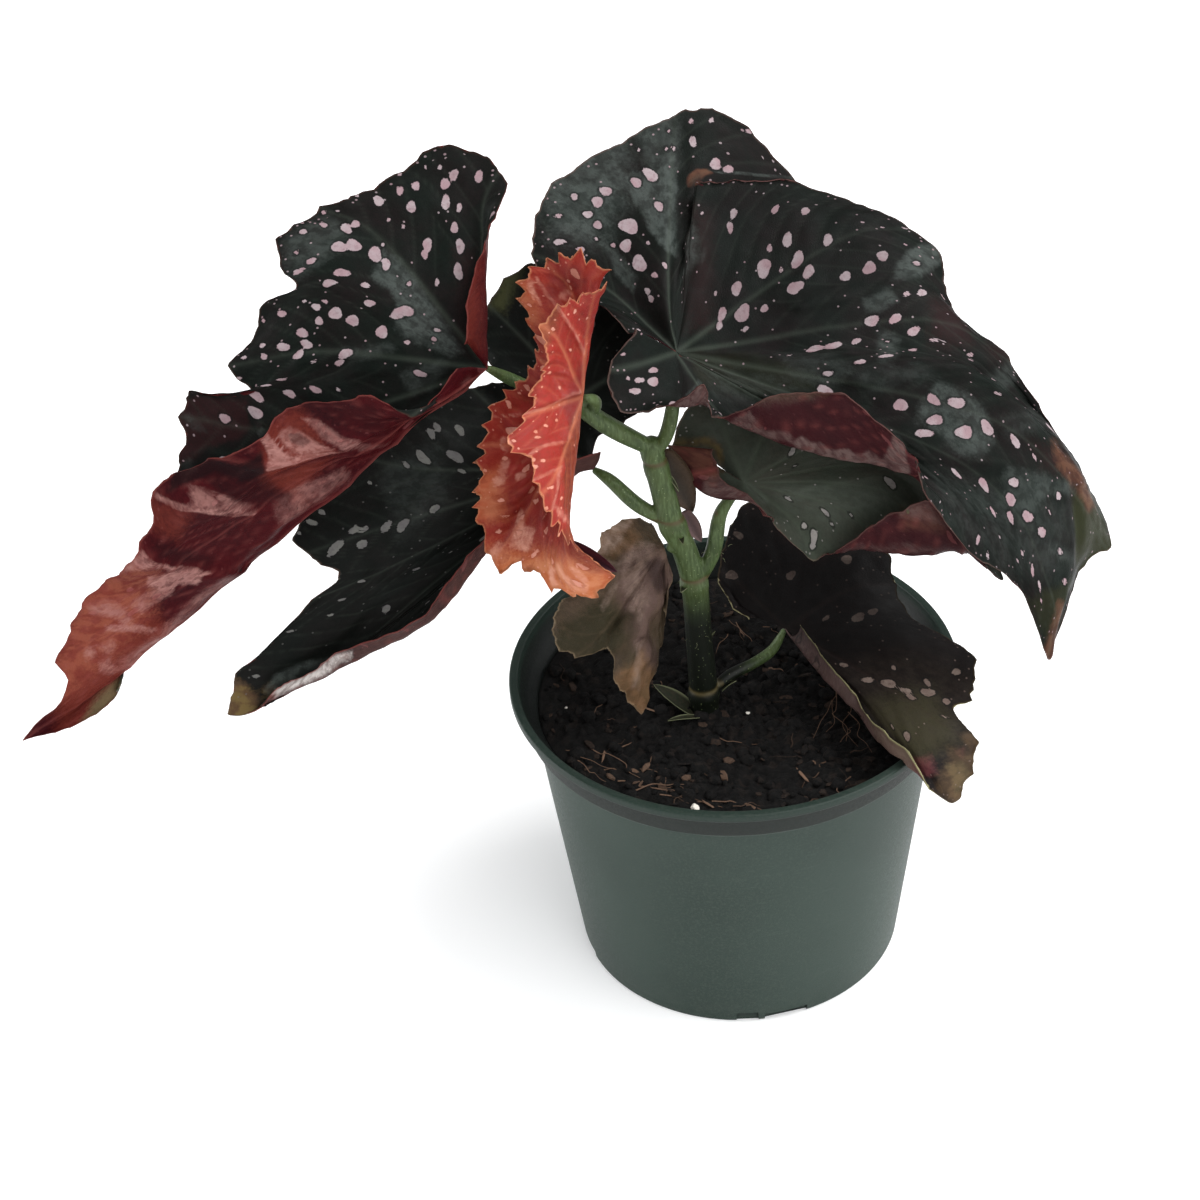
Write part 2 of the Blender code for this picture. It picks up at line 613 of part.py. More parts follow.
def add_blade(name, grids, collection, colour):
    """Leaf blade of even thickness on one or two fans that share their attachment."""
    mesh = bpy.data.meshes.new(name)
    edit = bmesh.new()
    for grid in grids:
        fan_faces(edit, grid)
    bmesh.ops.remove_doubles(edit, verts=edit.verts, dist=MERGE_DISTANCE)
    edit.to_mesh(mesh)
    edit.free()
    blade = add_object(name, mesh, collection, new_material(name + "_skin", colour, 0.35))
    solidify = blade.modifiers.new("thickness", "SOLIDIFY")
    solidify.thickness = BLADE_THICKNESS * MM
    solidify.offset = 0.0
    triangulate = blade.modifiers.new("triangles", "TRIANGULATE")
    triangulate.quad_method = "FIXED"
    return blade


def build_simple_leaves(parts):
    for name, attachment, ribs, rows, between, colour in SIMPLE_LEAVES:
        grid = fan_grid(rib_rows(attachment, ribs, rows), between)
        add_blade(name, [grid], parts, colour)


def build_large_leaf(parts):
    """The torn leaf: a front fan and a back fan that share the first rows of the torn rib."""
    front = rib_rows(LARGE_ATTACHMENT, LARGE_RIBS, LARGE_ROWS)
    back = rib_rows(LARGE_ATTACHMENT, LARGE_RIBS_BEHIND, LARGE_ROWS)
    torn = torn_curve(front[-1], LARGE_TEAR, LARGE_ROWS)
    grids = [
        fan_grid(front, LARGE_COLUMNS_BETWEEN),
        fan_grid(np.concatenate([[torn], back]), LARGE_COLUMNS_BETWEEN),
    ]
    add_blade("leaf_large", grids, parts, (0.026, 0.032, 0.028))


def main():
    clear_scene()
    parts = new_collection(OBJECT_NAME)
    cutters = new_collection("cutters")
    build_pot(parts, cutters)
    build_soil(parts, cutters)
    build_stem(parts, cutters)
    build_simple_leaves(parts)
    build_large_leaf(parts)


main()
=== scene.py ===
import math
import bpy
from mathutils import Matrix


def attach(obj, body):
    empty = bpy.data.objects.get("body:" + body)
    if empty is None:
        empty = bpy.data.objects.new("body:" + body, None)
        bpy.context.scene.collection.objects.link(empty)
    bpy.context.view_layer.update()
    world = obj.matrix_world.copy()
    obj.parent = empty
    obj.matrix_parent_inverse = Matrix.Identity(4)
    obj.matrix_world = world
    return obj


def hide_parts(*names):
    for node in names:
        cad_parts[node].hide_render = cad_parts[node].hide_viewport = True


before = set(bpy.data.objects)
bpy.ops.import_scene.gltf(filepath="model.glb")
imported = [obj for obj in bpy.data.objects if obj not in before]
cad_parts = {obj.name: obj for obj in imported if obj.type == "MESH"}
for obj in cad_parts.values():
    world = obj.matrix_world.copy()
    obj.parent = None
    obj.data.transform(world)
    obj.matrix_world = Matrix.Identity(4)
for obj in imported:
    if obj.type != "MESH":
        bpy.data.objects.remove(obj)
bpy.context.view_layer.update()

# Potted begonia, dressed to match the photograph.
# Lengths are in millimetres and are turned into metres where meshes are made. The origin is the
# middle of the pot's underside, +Z is up and the camera looks along +Y from the front.
# Places in the photograph are pixels of its 1200 by 1200 image, from the upper left corner.
from types import SimpleNamespace

import bmesh
import bpy
import numpy as np
from mathutils import Matrix, Vector, noise

MM = 0.001

# Camera, fitted to the ellipses of the pot's rim and base
CAMERA_AIM = (-46.0, 0.0, 151.0)
CAMERA_DISTANCE = 1224.0
CAMERA_ELEVATION = 37.4
CAMERA_ROLL = 3.2
LENS = 105.0
SENSOR = 36.0
IMAGE_SIZE = 1200
# Pixels for a thing as large as its distance
PIXEL_SCALE = LENS / SENSOR * IMAGE_SIZE

# Pot
RIM_RADIUS = 80.0
POT_HEIGHT = 117.0
LIP_HEIGHT = 3.0
LIP_ROUNDING = 0.8
COLLAR_RADIUS = 76.4
COLLAR_HEIGHT = 13.0
COLLAR_TAPER = 0.8
BODY_TOP_RADIUS = 72.2
BASE_RADIUS = 58.6
BASE_ROUNDING = 1.4
WALL = 1.8
LIP_WALL = 0.4
FLOOR_THICKNESS = 2.2
FLOOR_CHAMFER = 3.0
# Drain openings: their direction, the width, depth and height of the box that cuts them, and how far
# that box stands out of the pot's foot. The inner opening comes from below, behind a thin web.
DRAIN_GROUPS = 4
DRAIN_HOLE_ANGLE = -91.0
DRAIN_HOLE_SIZE = (8.0, 4.5, 4.6)
DRAIN_SLOT_ANGLE = -77.0
DRAIN_SLOT_SIZE = (16.0, 5.2, 3.4)
DRAIN_OVERHANG = 3.0
DRAIN_INNER_SIZE = (7.0, 8.6, 3.5)
DRAIN_INNER_OVERHANG = -2.4
DRAIN_ROUNDING = 0.5
# Height up to which the drain openings count as the pot's inside, whose painted shade there starts at
# the depth to which the drain holes cut
DRAIN_LEVEL = 5.0

# Soil
SOIL_LEVEL = 104.5
SOIL_CLEARANCE = 0.3
SOIL_RADIUS = BODY_TOP_RADIUS - WALL - SOIL_CLEARANCE

# Stem
CANE_BOTTOM = 84.0
# Each route is (x, y, z, radius).
CANE_ROUTE = (
    (-11, -7, CANE_BOTTOM, 5.2), (-11, -7, 108, 5.2), (-12, -5, 135, 4.7), (-13, -4, 159, 4.6),
    (-16, -4, 174, 4.4), (-20, -4, 186, 4.5), (-23, -3, 201, 4.2), (-26, -2, 216, 4.0),
    (-27, -2, 219, 2.6),
)
PETIOLE_ROUTES = {
    "branch": ((-23, -2, 214, 2.6), (-37, -4, 225, 3.3), (-46, -6, 234, 3.0), (-50, -5, 237, 2.2)),
    "petiole_folded": (
        (-44, -5, 232, 1.6), (-51, 0, 233, 2.2), (-58, 8, 232, 2.2), (-66, 12, 234, 2.1),
        (-73, 8, 241, 2.1), (-78.8, -3.4, 252.6, 1.2),
    ),
    "petiole_orange": ((-45, -5, 232, 1.6), (-44, -8, 240, 2.2), (-47.2, -11.6, 244.6, 1.1)),
    "petiole_back": ((-45, -5, 232, 1.6), (-48, 4, 231, 2.1), (-49.7, 13.2, 227, 1.2)),
    "petiole_large": (
        (-26, -2, 213, 2.0), (-21, -2, 220, 2.5), (-18, 1, 230, 2.4), (-16, 4, 248, 1.2),
    ),
    "petiole_low_left": (
        (-18, -4, 184, 2.0), (-31, -3, 193, 2.6), (-40, 1, 201, 2.3), (-45.6, 4.6, 203.6, 1.2),
    ),
    "petiole_under": (
        (-12, -4, 158, 2.0), (-6, -3, 172, 2.8), (-3, -2, 187, 2.4), (3.9, -1, 196.9, 1.2),
    ),
    "petiole_low_right": (
        (-10, -7, 111, 1.6), (-2, -3, 116, 2.2), (7, 1, 118, 2.0), (14, 3, 122, 1.9),
        (18.7, 5, 129.2, 1.1),
    ),
    "petiole_withered": ((-16, -4, 173, 1.4), (-20, -6, 176, 1.6), (-22, -6, 177, 0.9)),
}

# A blade is a fan of ribs from its attachment. Each rib is given from the middle outwards,
# and its last point lies on the margin.
LARGE_ATTACHMENT = (-16, 4, 250)
LARGE_RIBS = (
    ((-26, 2, 259), (-29, 1, 262)), ((-31, -2, 256), (-38, -5, 254)), ((-32, -6, 247), (-40, -9, 249)),
    ((-29, -10, 242), (-36, -15, 240)), ((-24, -10, 242), (-26, -15, 239)),
    ((-15, -13, 237), (-16, -19, 246)), ((-11, -14, 237), (-8, -22, 254)), ((-8, -13, 239), (-6, -17, 237)),
    ((1, -15, 231), (2, -23, 243)), ((12, -17, 227), (12, -28, 252)), ((23, -18, 223), (24, -30, 255)),
    ((39, -19, 217), (37, -32, 254)), ((53, -20, 213), (52, -32, 239)), ((60, -20, 211), (58, -29, 229)),
    ((58, -18, 214), (66, -25, 205)), ((65, -17, 207), (81, -27, 181)), ((72, -17, 207), (97, -28, 167)),
    ((79, -15, 209), (108, -27, 161), (107, -30, 137)), ((83, -12, 213), (112, -20, 172), (111, -24, 141)),
    ((83, -8, 220), (117, -12, 183), (123, -6, 158)), ((82, -4, 228), (115, -8, 201), (134, 4, 159)),
    ((79, 2, 238), (112, -4, 209), (126, 8, 182)), ((73, 8, 244), (106, 2, 222)),
    ((65, 17, 253), (95, 12, 237)), ((58, 26, 260), (80, 24, 245)), ((48, 34, 267), (76, 38, 261)),
    ((39, 40, 272), (62, 47, 271)), ((22, 43, 275), (45, 52, 277)),
    ((-2, 27, 265), (10, 43, 278), (26, 54, 285)), ((-7, 25, 267), (0, 42, 279), (8, 53, 287)),
    ((-12, 19, 261), (-9, 34, 275), (-6, 50, 289)),
)
# The blade is torn from its margin to the end of its last rib above. These ribs carry on from that
# rib and pass behind the tear.
LARGE_RIBS_BEHIND = (
    ((-13, 20, 263), (-8, 41, 280), (13, 70, 271)), ((-14, 20, 264), (-3, 48, 278), (33, 72, 267)),
    ((-15, 21, 265), (-4, 54, 281), (14, 76, 293)), ((-16, 22, 267), (-8, 57, 285), (2, 80, 299)),
    ((-17, 19, 267), (-13, 52, 284), (-9, 78, 300)), ((-19, 19, 267), (-20, 50, 282), (-23, 72, 297)),
    ((-22, 19, 267), (-29, 46, 279), (-41, 64, 292)), ((-38, 40, 273), (-55, 56, 287)),
    ((-41, 34, 269), (-61, 46, 281)), ((-43, 27, 265), (-63, 36, 272)), ((-40, 20, 262), (-59, 28, 264)),
    ((-31, 12, 260), (-41, 17, 262)), ((-25, 6, 256), (-32, 6, 257)),
)

FOLDED_ATTACHMENT = (-79, -4, 253)
FOLDED_RIBS = (
    ((-84, -8, 265), (-86, -10, 267)), ((-79, 2, 276), (-85, -4, 276)), ((-77, 12, 283), (-81, 6, 287)),
    ((-77, 22, 287), (-75, 20, 291)), ((-76, 30, 288), (-69, 36, 300)), ((-79, 34, 289), (-74, 46, 305)),
    ((-87, 34, 290), (-92, 48, 310)), ((-97, 32, 288), (-110, 42, 301)), ((-111, 28, 285), (-132, 36, 295)),
    ((-121, 24, 282), (-147, 32, 287)), ((-125, 18, 276), (-148, 26, 280)),
    ((-126, 16, 274), (-143, 21, 272)), ((-127, 14, 270), (-154, 21, 268)),
    ((-132, 10, 263), (-159, 15, 256)), ((-134, 5, 256), (-167, 9, 251)), ((-136, 2, 252), (-160, 2, 243)),
    ((-138, 0, 248), (-175, 3, 244)), ((-142, -4, 239), (-180, 4, 246)), ((-144, -6, 235), (-184, 0, 238)),
    ((-147, -8, 230), (-185, -5, 227)), ((-149, -12, 220), (-192, -12, 213)),
    ((-148, -18, 212), (-209, -24, 181)), ((-149, -21, 209), (-200, -32, 172), (-212, -43, 154)),
    ((-150, -24, 206), (-202, -36, 167), (-228, -48, 145)),
    ((-151, -26, 204), (-207, -38, 162), (-246, -48, 141)),
    ((-112, -15, 236), (-165, -34, 204), (-212, -43, 170), (-230, -48, 157)),
    ((-97, -11, 244), (-152, -32, 216), (-205, -41, 183), (-231, -44, 171)),
    ((-97, -12, 245), (-152, -36, 229), (-199, -44, 200), (-219, -46, 196)),
    ((-96, -14, 246), (-149, -38, 239), (-186, -45, 218), (-196, -46, 221)),
    ((-96, -15, 247), (-141, -38, 244), (-169, -44, 234), (-189, -45, 242)),
    ((-96, -16, 248), (-133, -36, 245), (-153, -42, 245), (-170, -44, 251)),
    ((-96, -18, 249), (-126, -34, 248), (-143, -40, 252), (-157, -44, 255)),
    ((-96, -19, 250), (-121, -32, 252), (-133, -38, 261), (-144, -42, 268)),
    ((-96, -20, 251), (-113, -29, 253), (-123, -35, 261), (-129, -38, 267)),
    ((-95, -22, 252), (-106, -27, 250), (-112, -31, 257), (-115, -34, 265)),
    ((-91, -20, 254), (-98, -26, 254), (-105, -29, 251)),
    ((-88, -17, 256), (-93, -22, 256), (-97, -25, 255)),
    ((-84, -12, 259), (-87, -15, 261), (-90, -17, 262)),
)

LOW_LEFT_ATTACHMENT = (-47, 6, 205)
LOW_LEFT_RIBS = (
    ((-44, 12, 211), (-41, 16, 211)), ((-51, 20, 212), (-53, 28, 216)), ((-66, 24, 214), (-76, 36, 220)),
    ((-80, 20, 212), (-97, 24, 225)), ((-91, 12, 212), (-114, 18, 220)), ((-98, 7, 205), (-130, 10, 212)),
    ((-102, 2, 201), (-143, 2, 199)), ((-106, -4, 197), (-150, -8, 190)),
    ((-108, -7, 193), (-141, -14, 183)), ((-108, -9, 188), (-135, -16, 179)),
    ((-110, -12, 182), (-145, -20, 173)), ((-112, -14, 177), (-152, -24, 164), (-165, -27, 155)),
    ((-112, -15, 174), (-148, -25, 158), (-173, -29, 150)),
    ((-111, -16, 172), (-147, -26, 152), (-177, -34, 136)),
    ((-99, -13, 178), (-132, -26, 153), (-169, -34, 136)),
    ((-77, -5, 188), (-108, -18, 168), (-136, -27, 153), (-164, -34, 139), (-158, -38, 149)),
    ((-76, -8, 191), (-104, -21, 171), (-126, -29, 155), (-137, -34, 160)),
    ((-75, -11, 194), (-95, -20, 175), (-106, -26, 164), (-112, -32, 169)),
    ((-74, -13, 197), (-88, -19, 183), (-97, -24, 173), (-100, -29, 180)),
    ((-70, -12, 201), (-82, -18, 190), (-88, -21, 187), (-89, -25, 193)),
    ((-63, -8, 203), (-71, -13, 199), (-75, -17, 203)), ((-56, -2, 205), (-61, -6, 205), (-65, -10, 208)),
    ((-50, 2, 205), (-52, -2, 208), (-55, -6, 215)), ((-46, 3, 205), (-44, 2, 209), (-43, 0, 215)),
)

ORANGE_ATTACHMENT = (-48, -12, 245)
ORANGE_RIBS = (
    ((-42, -16, 281), (-38, -18, 293)), ((-46, -20, 280), (-44, -22, 294)),
    ((-51, -23, 281), (-53, -26, 294)), ((-55, -25, 276), (-61, -29, 286)),
    ((-56, -26, 269), (-61, -31, 272)), ((-58, -27, 262), (-66, -32, 264)),
    ((-59, -32, 255), (-69, -40, 256)), ((-61, -37, 250), (-75, -46, 252)),
    ((-59, -42, 245), (-68, -53, 244)), ((-58, -45, 239), (-65, -58, 236)),
    ((-56, -47, 233), (-61, -58, 225)), ((-55, -48, 225), (-57, -53, 214)),
    ((-55, -44, 218), (-54, -48, 204), (-40, -47, 197)),
    ((-58, -40, 214), (-58, -45, 197), (-47, -48, 187)),
    ((-61, -36, 209), (-61, -41, 194), (-59, -44, 186)),
    ((-65, -32, 208), (-70, -35, 196), (-73, -38, 192)),
    ((-68, -27, 211), (-78, -30, 197), (-82, -33, 188)),
    ((-71, -20, 214), (-81, -24, 208), (-87, -26, 204)),
    ((-72, -19, 224), (-82, -19, 219), (-88, -21, 219)),
    ((-70, -14, 230), (-80, -12, 228), (-86, -12, 227)), ((-67, -9, 237), (-76, -4, 238), (-81, -2, 238)),
    ((-62, -4, 243), (-69, -1, 245), (-71, 0, 247)), ((-57, -6, 253), (-61, -3, 256), (-62, -2, 260)),
    ((-54, -8, 267), (-62, -4, 272), (-69, -3, 276)), ((-51, -10, 278), (-60, -6, 288), (-68, -5, 290)),
    ((-49, -6, 279), (-55, -4, 290), (-59, -3, 295)), ((-45, -9, 281), (-47, -8, 292), (-47, -7, 301)),
    ((-42, -12, 282), (-39, -13, 292), (-35, -13, 295)),
)

UNDER_ATTACHMENT = (5, -1, 199)
UNDER_RIBS = (
    ((-12, 9, 206), (-20, 6, 211), (-5, -2, 214)), ((-8, 5, 201), (-14, 1, 202), (-3, -6, 209)),
    ((-5, 0, 196), (-10, -5, 194), (-1, -9, 205)), ((2, -7, 197), (4, -10, 199), (6, -12, 202)),
    ((9, -7, 197), (13, -10, 191)), ((14, -8, 191), (16, -12, 185)), ((19, -9, 186), (25, -14, 176)),
    ((22, -9, 185), (29, -16, 174)), ((29, -9, 187), (38, -16, 178), (37, -19, 183)),
    ((36, -8, 188), (49, -16, 177), (45, -21, 191)), ((43, -8, 190), (59, -16, 174), (52, -22, 197)),
    ((48, -6, 192), (71, -14, 172), (65, -21, 202)), ((53, -4, 194), (80, -12, 170), (74, -18, 191)),
    ((55, -1, 196), (86, -10, 165), (83, -14, 173)), ((57, 2, 198), (95, -8, 156)),
    ((53, 7, 203), (83, 4, 182)), ((46, 12, 211), (70, 12, 207)), ((33, 17, 217), (47, 22, 227)),
    ((19, 17, 218), (23, 24, 229)), ((7, 16, 217), (6, 23, 227)), ((-2, 12, 216), (-8, 18, 225)),
    ((-9, 9, 212), (-16, 12, 217)), ((-10, 11, 204), (-19, 12, 206)),
)

LOW_RIGHT_ATTACHMENT = (19, 5, 130)
LOW_RIGHT_RIBS = (
    ((9, 11, 131), (7, 14, 130)), ((3, 16, 134), (-2, 24, 134)), ((4, 23, 138), (-4, 29, 140)),
    ((8, 29, 142), (1, 42, 147)), ((12, 33, 145), (9, 52, 153)), ((20, 31, 146), (25, 51, 155)),
    ((32, 27, 145), (42, 41, 152)), ((40, 19, 142), (58, 26, 146)), ((43, 13, 139), (60, 16, 138)),
    ((46, 7, 137), (65, 4, 132)), ((49, 2, 134), (77, -2, 127)), ((50, -4, 131), (86, -9, 122)),
    ((51, -11, 128), (82, -29, 120)), ((51, -17, 127), (75, -37, 121)),
    ((52, -24, 125), (71, -43, 121), (82, -48, 117)), ((51, -31, 124), (67, -55, 120), (79, -59, 112)),
    ((49, -36, 123), (62, -62, 120), (71, -69, 107)), ((45, -32, 122), (55, -56, 119), (57, -68, 118)),
    ((39, -25, 122), (51, -60, 120)), ((33, -17, 123), (41, -37, 121)), ((26, -9, 126), (28, -15, 125)),
    ((22, -4, 129), (22, -5, 131)),
)

WITHERED_ATTACHMENT = (-23, -6, 177)
WITHERED_RIBS = (
    ((-26, -5, 184), (-27, -2, 185)), ((-30, 1, 182), (-34, 4, 184)), ((-38, 0, 178), (-45, 2, 178)),
    ((-39, -5, 174), (-47, -4, 173)), ((-40, -13, 169), (-54, -12, 165)),
    ((-44, -17, 162), (-62, -16, 162)), ((-46, -20, 158), (-64, -22, 150)),
    ((-45, -22, 154), (-56, -26, 146)), ((-40, -24, 154), (-44, -27, 148)),
    ((-37, -26, 149), (-43, -28, 137)), ((-33, -24, 142), (-38, -27, 125)),
    ((-31, -19, 136), (-34, -22, 116)), ((-28, -15, 141), (-30, -18, 124)),
    ((-25, -12, 150), (-26, -14, 138)), ((-22, -10, 159), (-23, -11, 156)),
    ((-21, -9, 167), (-20, -10, 165)),
)

BACK_ATTACHMENT = (-50, 14, 227)
BACK_RIBS = (
    ((-41, 13, 219), (-35, 12, 216)), ((-35, 17, 223), (-25, 20, 220)), ((-34, 24, 230), (-23, 30, 232)),
    ((-36, 30, 237), (-25, 40, 242)), ((-42, 35, 244), (-37, 47, 251)), ((-51, 37, 247), (-51, 50, 257)),
    ((-59, 37, 248), (-63, 50, 260)), ((-66, 36, 246), (-73, 47, 256)), ((-69, 33, 241), (-79, 42, 249)),
    ((-71, 28, 238), (-83, 35, 240)), ((-69, 25, 232), (-78, 30, 231)), ((-60, 20, 227), (-65, 24, 226)),
)

# Spots of the leaves as seen in the photograph: x, y, width and height in pixels
LARGE_SPOTS = (
    (629, 228, 17, 17), (627, 247, 11, 14), (641, 265, 13, 17), (658, 207, 9, 10), (652, 177, 15, 12),
    (637, 182, 11, 10), (607, 192, 11, 10), (597, 202, 11, 11), (587, 215, 9, 8), (597, 225, 8, 9),
    (573, 198, 7, 7), (559, 216, 7, 6), (560, 241, 10, 8), (581, 250, 7, 7), (581, 258, 7, 9),
    (597, 340, 10, 10), (594, 353, 7, 7), (691, 142, 8, 12), (714, 165, 10, 13), (727, 169, 10, 8),
    (690, 121, 5, 6), (712, 122, 5, 6), (749, 131, 10, 6), (777, 148, 7, 7), (784, 155, 6, 7),
    (669, 131, 4, 4), (673, 148, 5, 5), (665, 150, 4, 4), (639, 150, 4, 4), (656, 276, 6, 6),
    (649, 291, 6, 6), (653, 299, 6, 7), (665, 266, 6, 6), (613, 246, 5, 5), (649, 244, 4, 4),
    (595, 239, 4, 4), (734, 214, 9, 13), (731, 227, 9, 10), (775, 209, 10, 10), (806, 211, 10, 9),
    (786, 240, 12, 12), (828, 240, 11, 13), (798, 259, 14, 17), (809, 272, 12, 14), (763, 268, 17, 17),
    (769, 247, 7, 7), (782, 269, 5, 5), (737, 288, 12, 15), (800, 286, 8, 9), (792, 291, 12, 12),
    (743, 312, 16, 16), (764, 309, 8, 8), (722, 315, 10, 12), (720, 325, 7, 9), (745, 330, 6, 6),
    (702, 213, 4, 4), (715, 294, 4, 6), (814, 350, 18, 13), (832, 347, 16, 14), (789, 355, 6, 6),
    (652, 370, 10, 6), (653, 382, 13, 8), (639, 381, 9, 6), (634, 391, 11, 7), (628, 379, 4, 4),
    (623, 355, 6, 5), (881, 256, 11, 11), (869, 269, 13, 13), (845, 278, 11, 10), (916, 265, 8, 8),
    (883, 227, 5, 5), (905, 229, 5, 5), (862, 222, 5, 5), (905, 244, 4, 4), (921, 293, 11, 11),
    (906, 294, 8, 6), (872, 320, 15, 11), (894, 320, 11, 11), (912, 332, 13, 15), (934, 340, 9, 11),
    (944, 342, 4, 8), (856, 341, 10, 10), (860, 361, 11, 12), (885, 356, 14, 12), (913, 351, 10, 10),
    (887, 342, 4, 4), (829, 373, 9, 7), (968, 355, 7, 10), (970, 361, 6, 6), (994, 380, 7, 7),
    (997, 393, 9, 9), (1017, 398, 5, 5), (1033, 415, 5, 5), (1015, 440, 11, 12), (988, 429, 15, 12),
    (963, 432, 20, 14), (955, 402, 17, 12), (935, 401, 13, 11), (935, 421, 14, 12), (924, 433, 16, 11),
    (902, 406, 16, 12), (868, 409, 12, 9), (955, 473, 15, 10), (984, 484, 16, 12), (1015, 483, 11, 11),
    (1010, 501, 12, 12), (991, 510, 15, 9), (1008, 516, 14, 10), (1028, 516, 12, 12), (1040, 530, 12, 12),
    (1058, 495, 7, 7), (1060, 552, 8, 8), (1021, 552, 8, 8), (977, 539, 9, 7), (1001, 538, 4, 4),
    (1033, 455, 5, 7), (1049, 511, 6, 6), (1033, 571, 12, 10), (1041, 586, 9, 10), (1041, 599, 6, 6),
    (1065, 582, 10, 8), (989, 557, 12, 6), (1017, 561, 9, 6),
)
FOLDED_SPOTS = (
    (380, 200, 12, 13), (357, 194, 5, 5), (381, 174, 4, 4), (399, 192, 7, 11), (415, 187, 8, 9),
    (410, 208, 9, 15), (444, 184, 9, 12), (455, 175, 9, 11), (480, 177, 8, 13), (445, 203, 8, 16),
    (460, 208, 6, 8), (487, 216, 6, 19), (454, 228, 7, 12), (460, 246, 8, 18), (458, 272, 8, 19),
    (427, 245, 9, 16), (424, 254, 7, 14), (404, 226, 4, 7), (389, 220, 4, 4), (437, 283, 5, 8),
    (441, 166, 5, 5), (425, 167, 4, 4), (401, 172, 4, 4), (324, 224, 9, 6), (324, 214, 5, 5),
    (303, 233, 8, 6), (346, 228, 12, 9), (355, 223, 9, 8), (340, 247, 16, 10), (355, 245, 16, 12),
    (375, 253, 16, 12), (386, 265, 11, 9), (382, 244, 4, 4), (311, 260, 9, 7), (299, 271, 10, 7),
    (341, 274, 16, 10), (331, 282, 14, 11), (366, 286, 10, 7), (370, 304, 13, 8), (297, 254, 5, 5),
    (338, 210, 4, 4), (301, 219, 4, 4), (317, 307, 9, 7), (336, 312, 14, 12), (352, 321, 14, 10),
    (319, 320, 9, 8), (382, 333, 13, 12), (404, 312, 17, 15), (397, 315, 12, 11), (408, 342, 7, 4),
    (325, 301, 7, 4), (305, 301, 5, 5), (295, 290, 5, 4), (437, 330, 6, 5), (434, 339, 6, 5),
    (410, 284, 6, 4), (420, 374, 13, 7), (283, 348, 13, 11), (264, 347, 7, 8), (264, 356, 7, 8),
    (244, 358, 7, 6), (303, 334, 12, 10), (306, 345, 12, 9), (299, 356, 11, 9), (315, 362, 6, 6),
    (345, 354, 13, 11), (339, 363, 10, 6), (283, 315, 9, 7), (263, 320, 4, 4), (282, 380, 10, 9),
    (266, 386, 12, 12), (256, 395, 13, 10), (290, 394, 13, 8), (315, 389, 10, 9), (339, 390, 4, 4),
    (255, 411, 15, 12), (224, 420, 13, 8), (238, 377, 6, 6),
)
LOW_LEFT_SPOTS = (
    (430, 433, 9, 9), (437, 427, 9, 9), (460, 431, 11, 9), (422, 457, 13, 13), (455, 456, 15, 11),
    (405, 465, 7, 7), (463, 472, 7, 7), (369, 482, 5, 5), (434, 509, 11, 7), (403, 525, 13, 11),
    (386, 526, 12, 12), (363, 530, 8, 8), (353, 530, 9, 9), (362, 546, 13, 9), (340, 545, 11, 11),
    (332, 552, 11, 11), (311, 521, 10, 8), (322, 512, 7, 7), (300, 532, 5, 5), (415, 569, 7, 10),
    (361, 582, 8, 8), (450, 552, 4, 6), (460, 563, 9, 13), (341, 600, 10, 10), (330, 616, 7, 7),
    (386, 609, 8, 13), (427, 602, 6, 12), (403, 629, 9, 6), (360, 641, 10, 6), (289, 632, 8, 8),
    (257, 677, 6, 6),
)
ORANGE_SPOTS = (
    (529, 306, 7, 8), (518, 305, 4, 4), (542, 299, 3, 3), (569, 280, 3, 3), (548, 268, 3, 3),
    (571, 287, 3, 3), (527, 386, 7, 8), (509, 404, 9, 6), (519, 394, 5, 5), (491, 403, 4, 4),
    (535, 432, 4, 4), (537, 438, 6, 3), (531, 462, 4, 4), (534, 468, 5, 5), (542, 461, 4, 4),
    (545, 425, 4, 4), (489, 456, 5, 5), (485, 471, 4, 4), (483, 481, 4, 4), (496, 497, 5, 4),
    (502, 500, 6, 6), (504, 517, 5, 6), (508, 515, 4, 4), (498, 531, 6, 8), (523, 517, 6, 6),
    (531, 490, 6, 9), (537, 501, 6, 7), (543, 511, 4, 4), (547, 531, 7, 8), (554, 538, 4, 4),
    (521, 534, 6, 6), (534, 557, 6, 5), (530, 568, 6, 5), (531, 574, 5, 3), (552, 561, 5, 7),
    (523, 560, 4, 4), (510, 555, 4, 4), (547, 587, 4, 4), (570, 590, 4, 3), (561, 582, 4, 4),
    (540, 550, 5, 4), (503, 560, 4, 4), (507, 430, 4, 4), (500, 421, 4, 4), (553, 330, 4, 4),
    (570, 350, 4, 4), (548, 372, 4, 4), (560, 388, 5, 4), (575, 310, 4, 4), (587, 318, 3, 3),
    (556, 420, 3, 4), (550, 488, 4, 4), (560, 498, 4, 4), (514, 442, 4, 4),
)
UNDER_SPOTS = (
    (890, 483, 12, 9), (792, 451, 8, 8), (795, 465, 4, 4), (788, 499, 8, 5), (814, 535, 10, 10),
    (824, 512, 11, 6), (805, 526, 7, 5), (831, 523, 6, 4), (851, 514, 4, 4), (813, 546, 6, 6),
)
LOW_RIGHT_SPOTS = (
    (889, 684, 15, 15), (927, 694, 12, 12), (905, 691, 11, 11), (910, 698, 10, 10), (869, 679, 9, 9),
    (927, 683, 8, 8), (955, 672, 8, 8), (947, 703, 7, 7), (893, 669, 5, 5), (945, 719, 8, 8),
    (907, 738, 8, 8), (892, 727, 6, 6), (859, 618, 13, 13), (874, 612, 11, 11), (842, 665, 7, 7),
    (732, 575, 11, 11), (740, 536, 9, 9), (790, 575, 9, 9), (846, 560, 10, 10), (826, 618, 7, 7),
)

# Blades in the scene
BLADE_THICKNESS = 0.5
MARGIN_THICKNESS = 0.28
# Share of a column's length beyond which the blade thins towards its margin
THINNING_START = 0.93
# The underside keeps one of so many columns and rows.
COARSE_STEP = 2
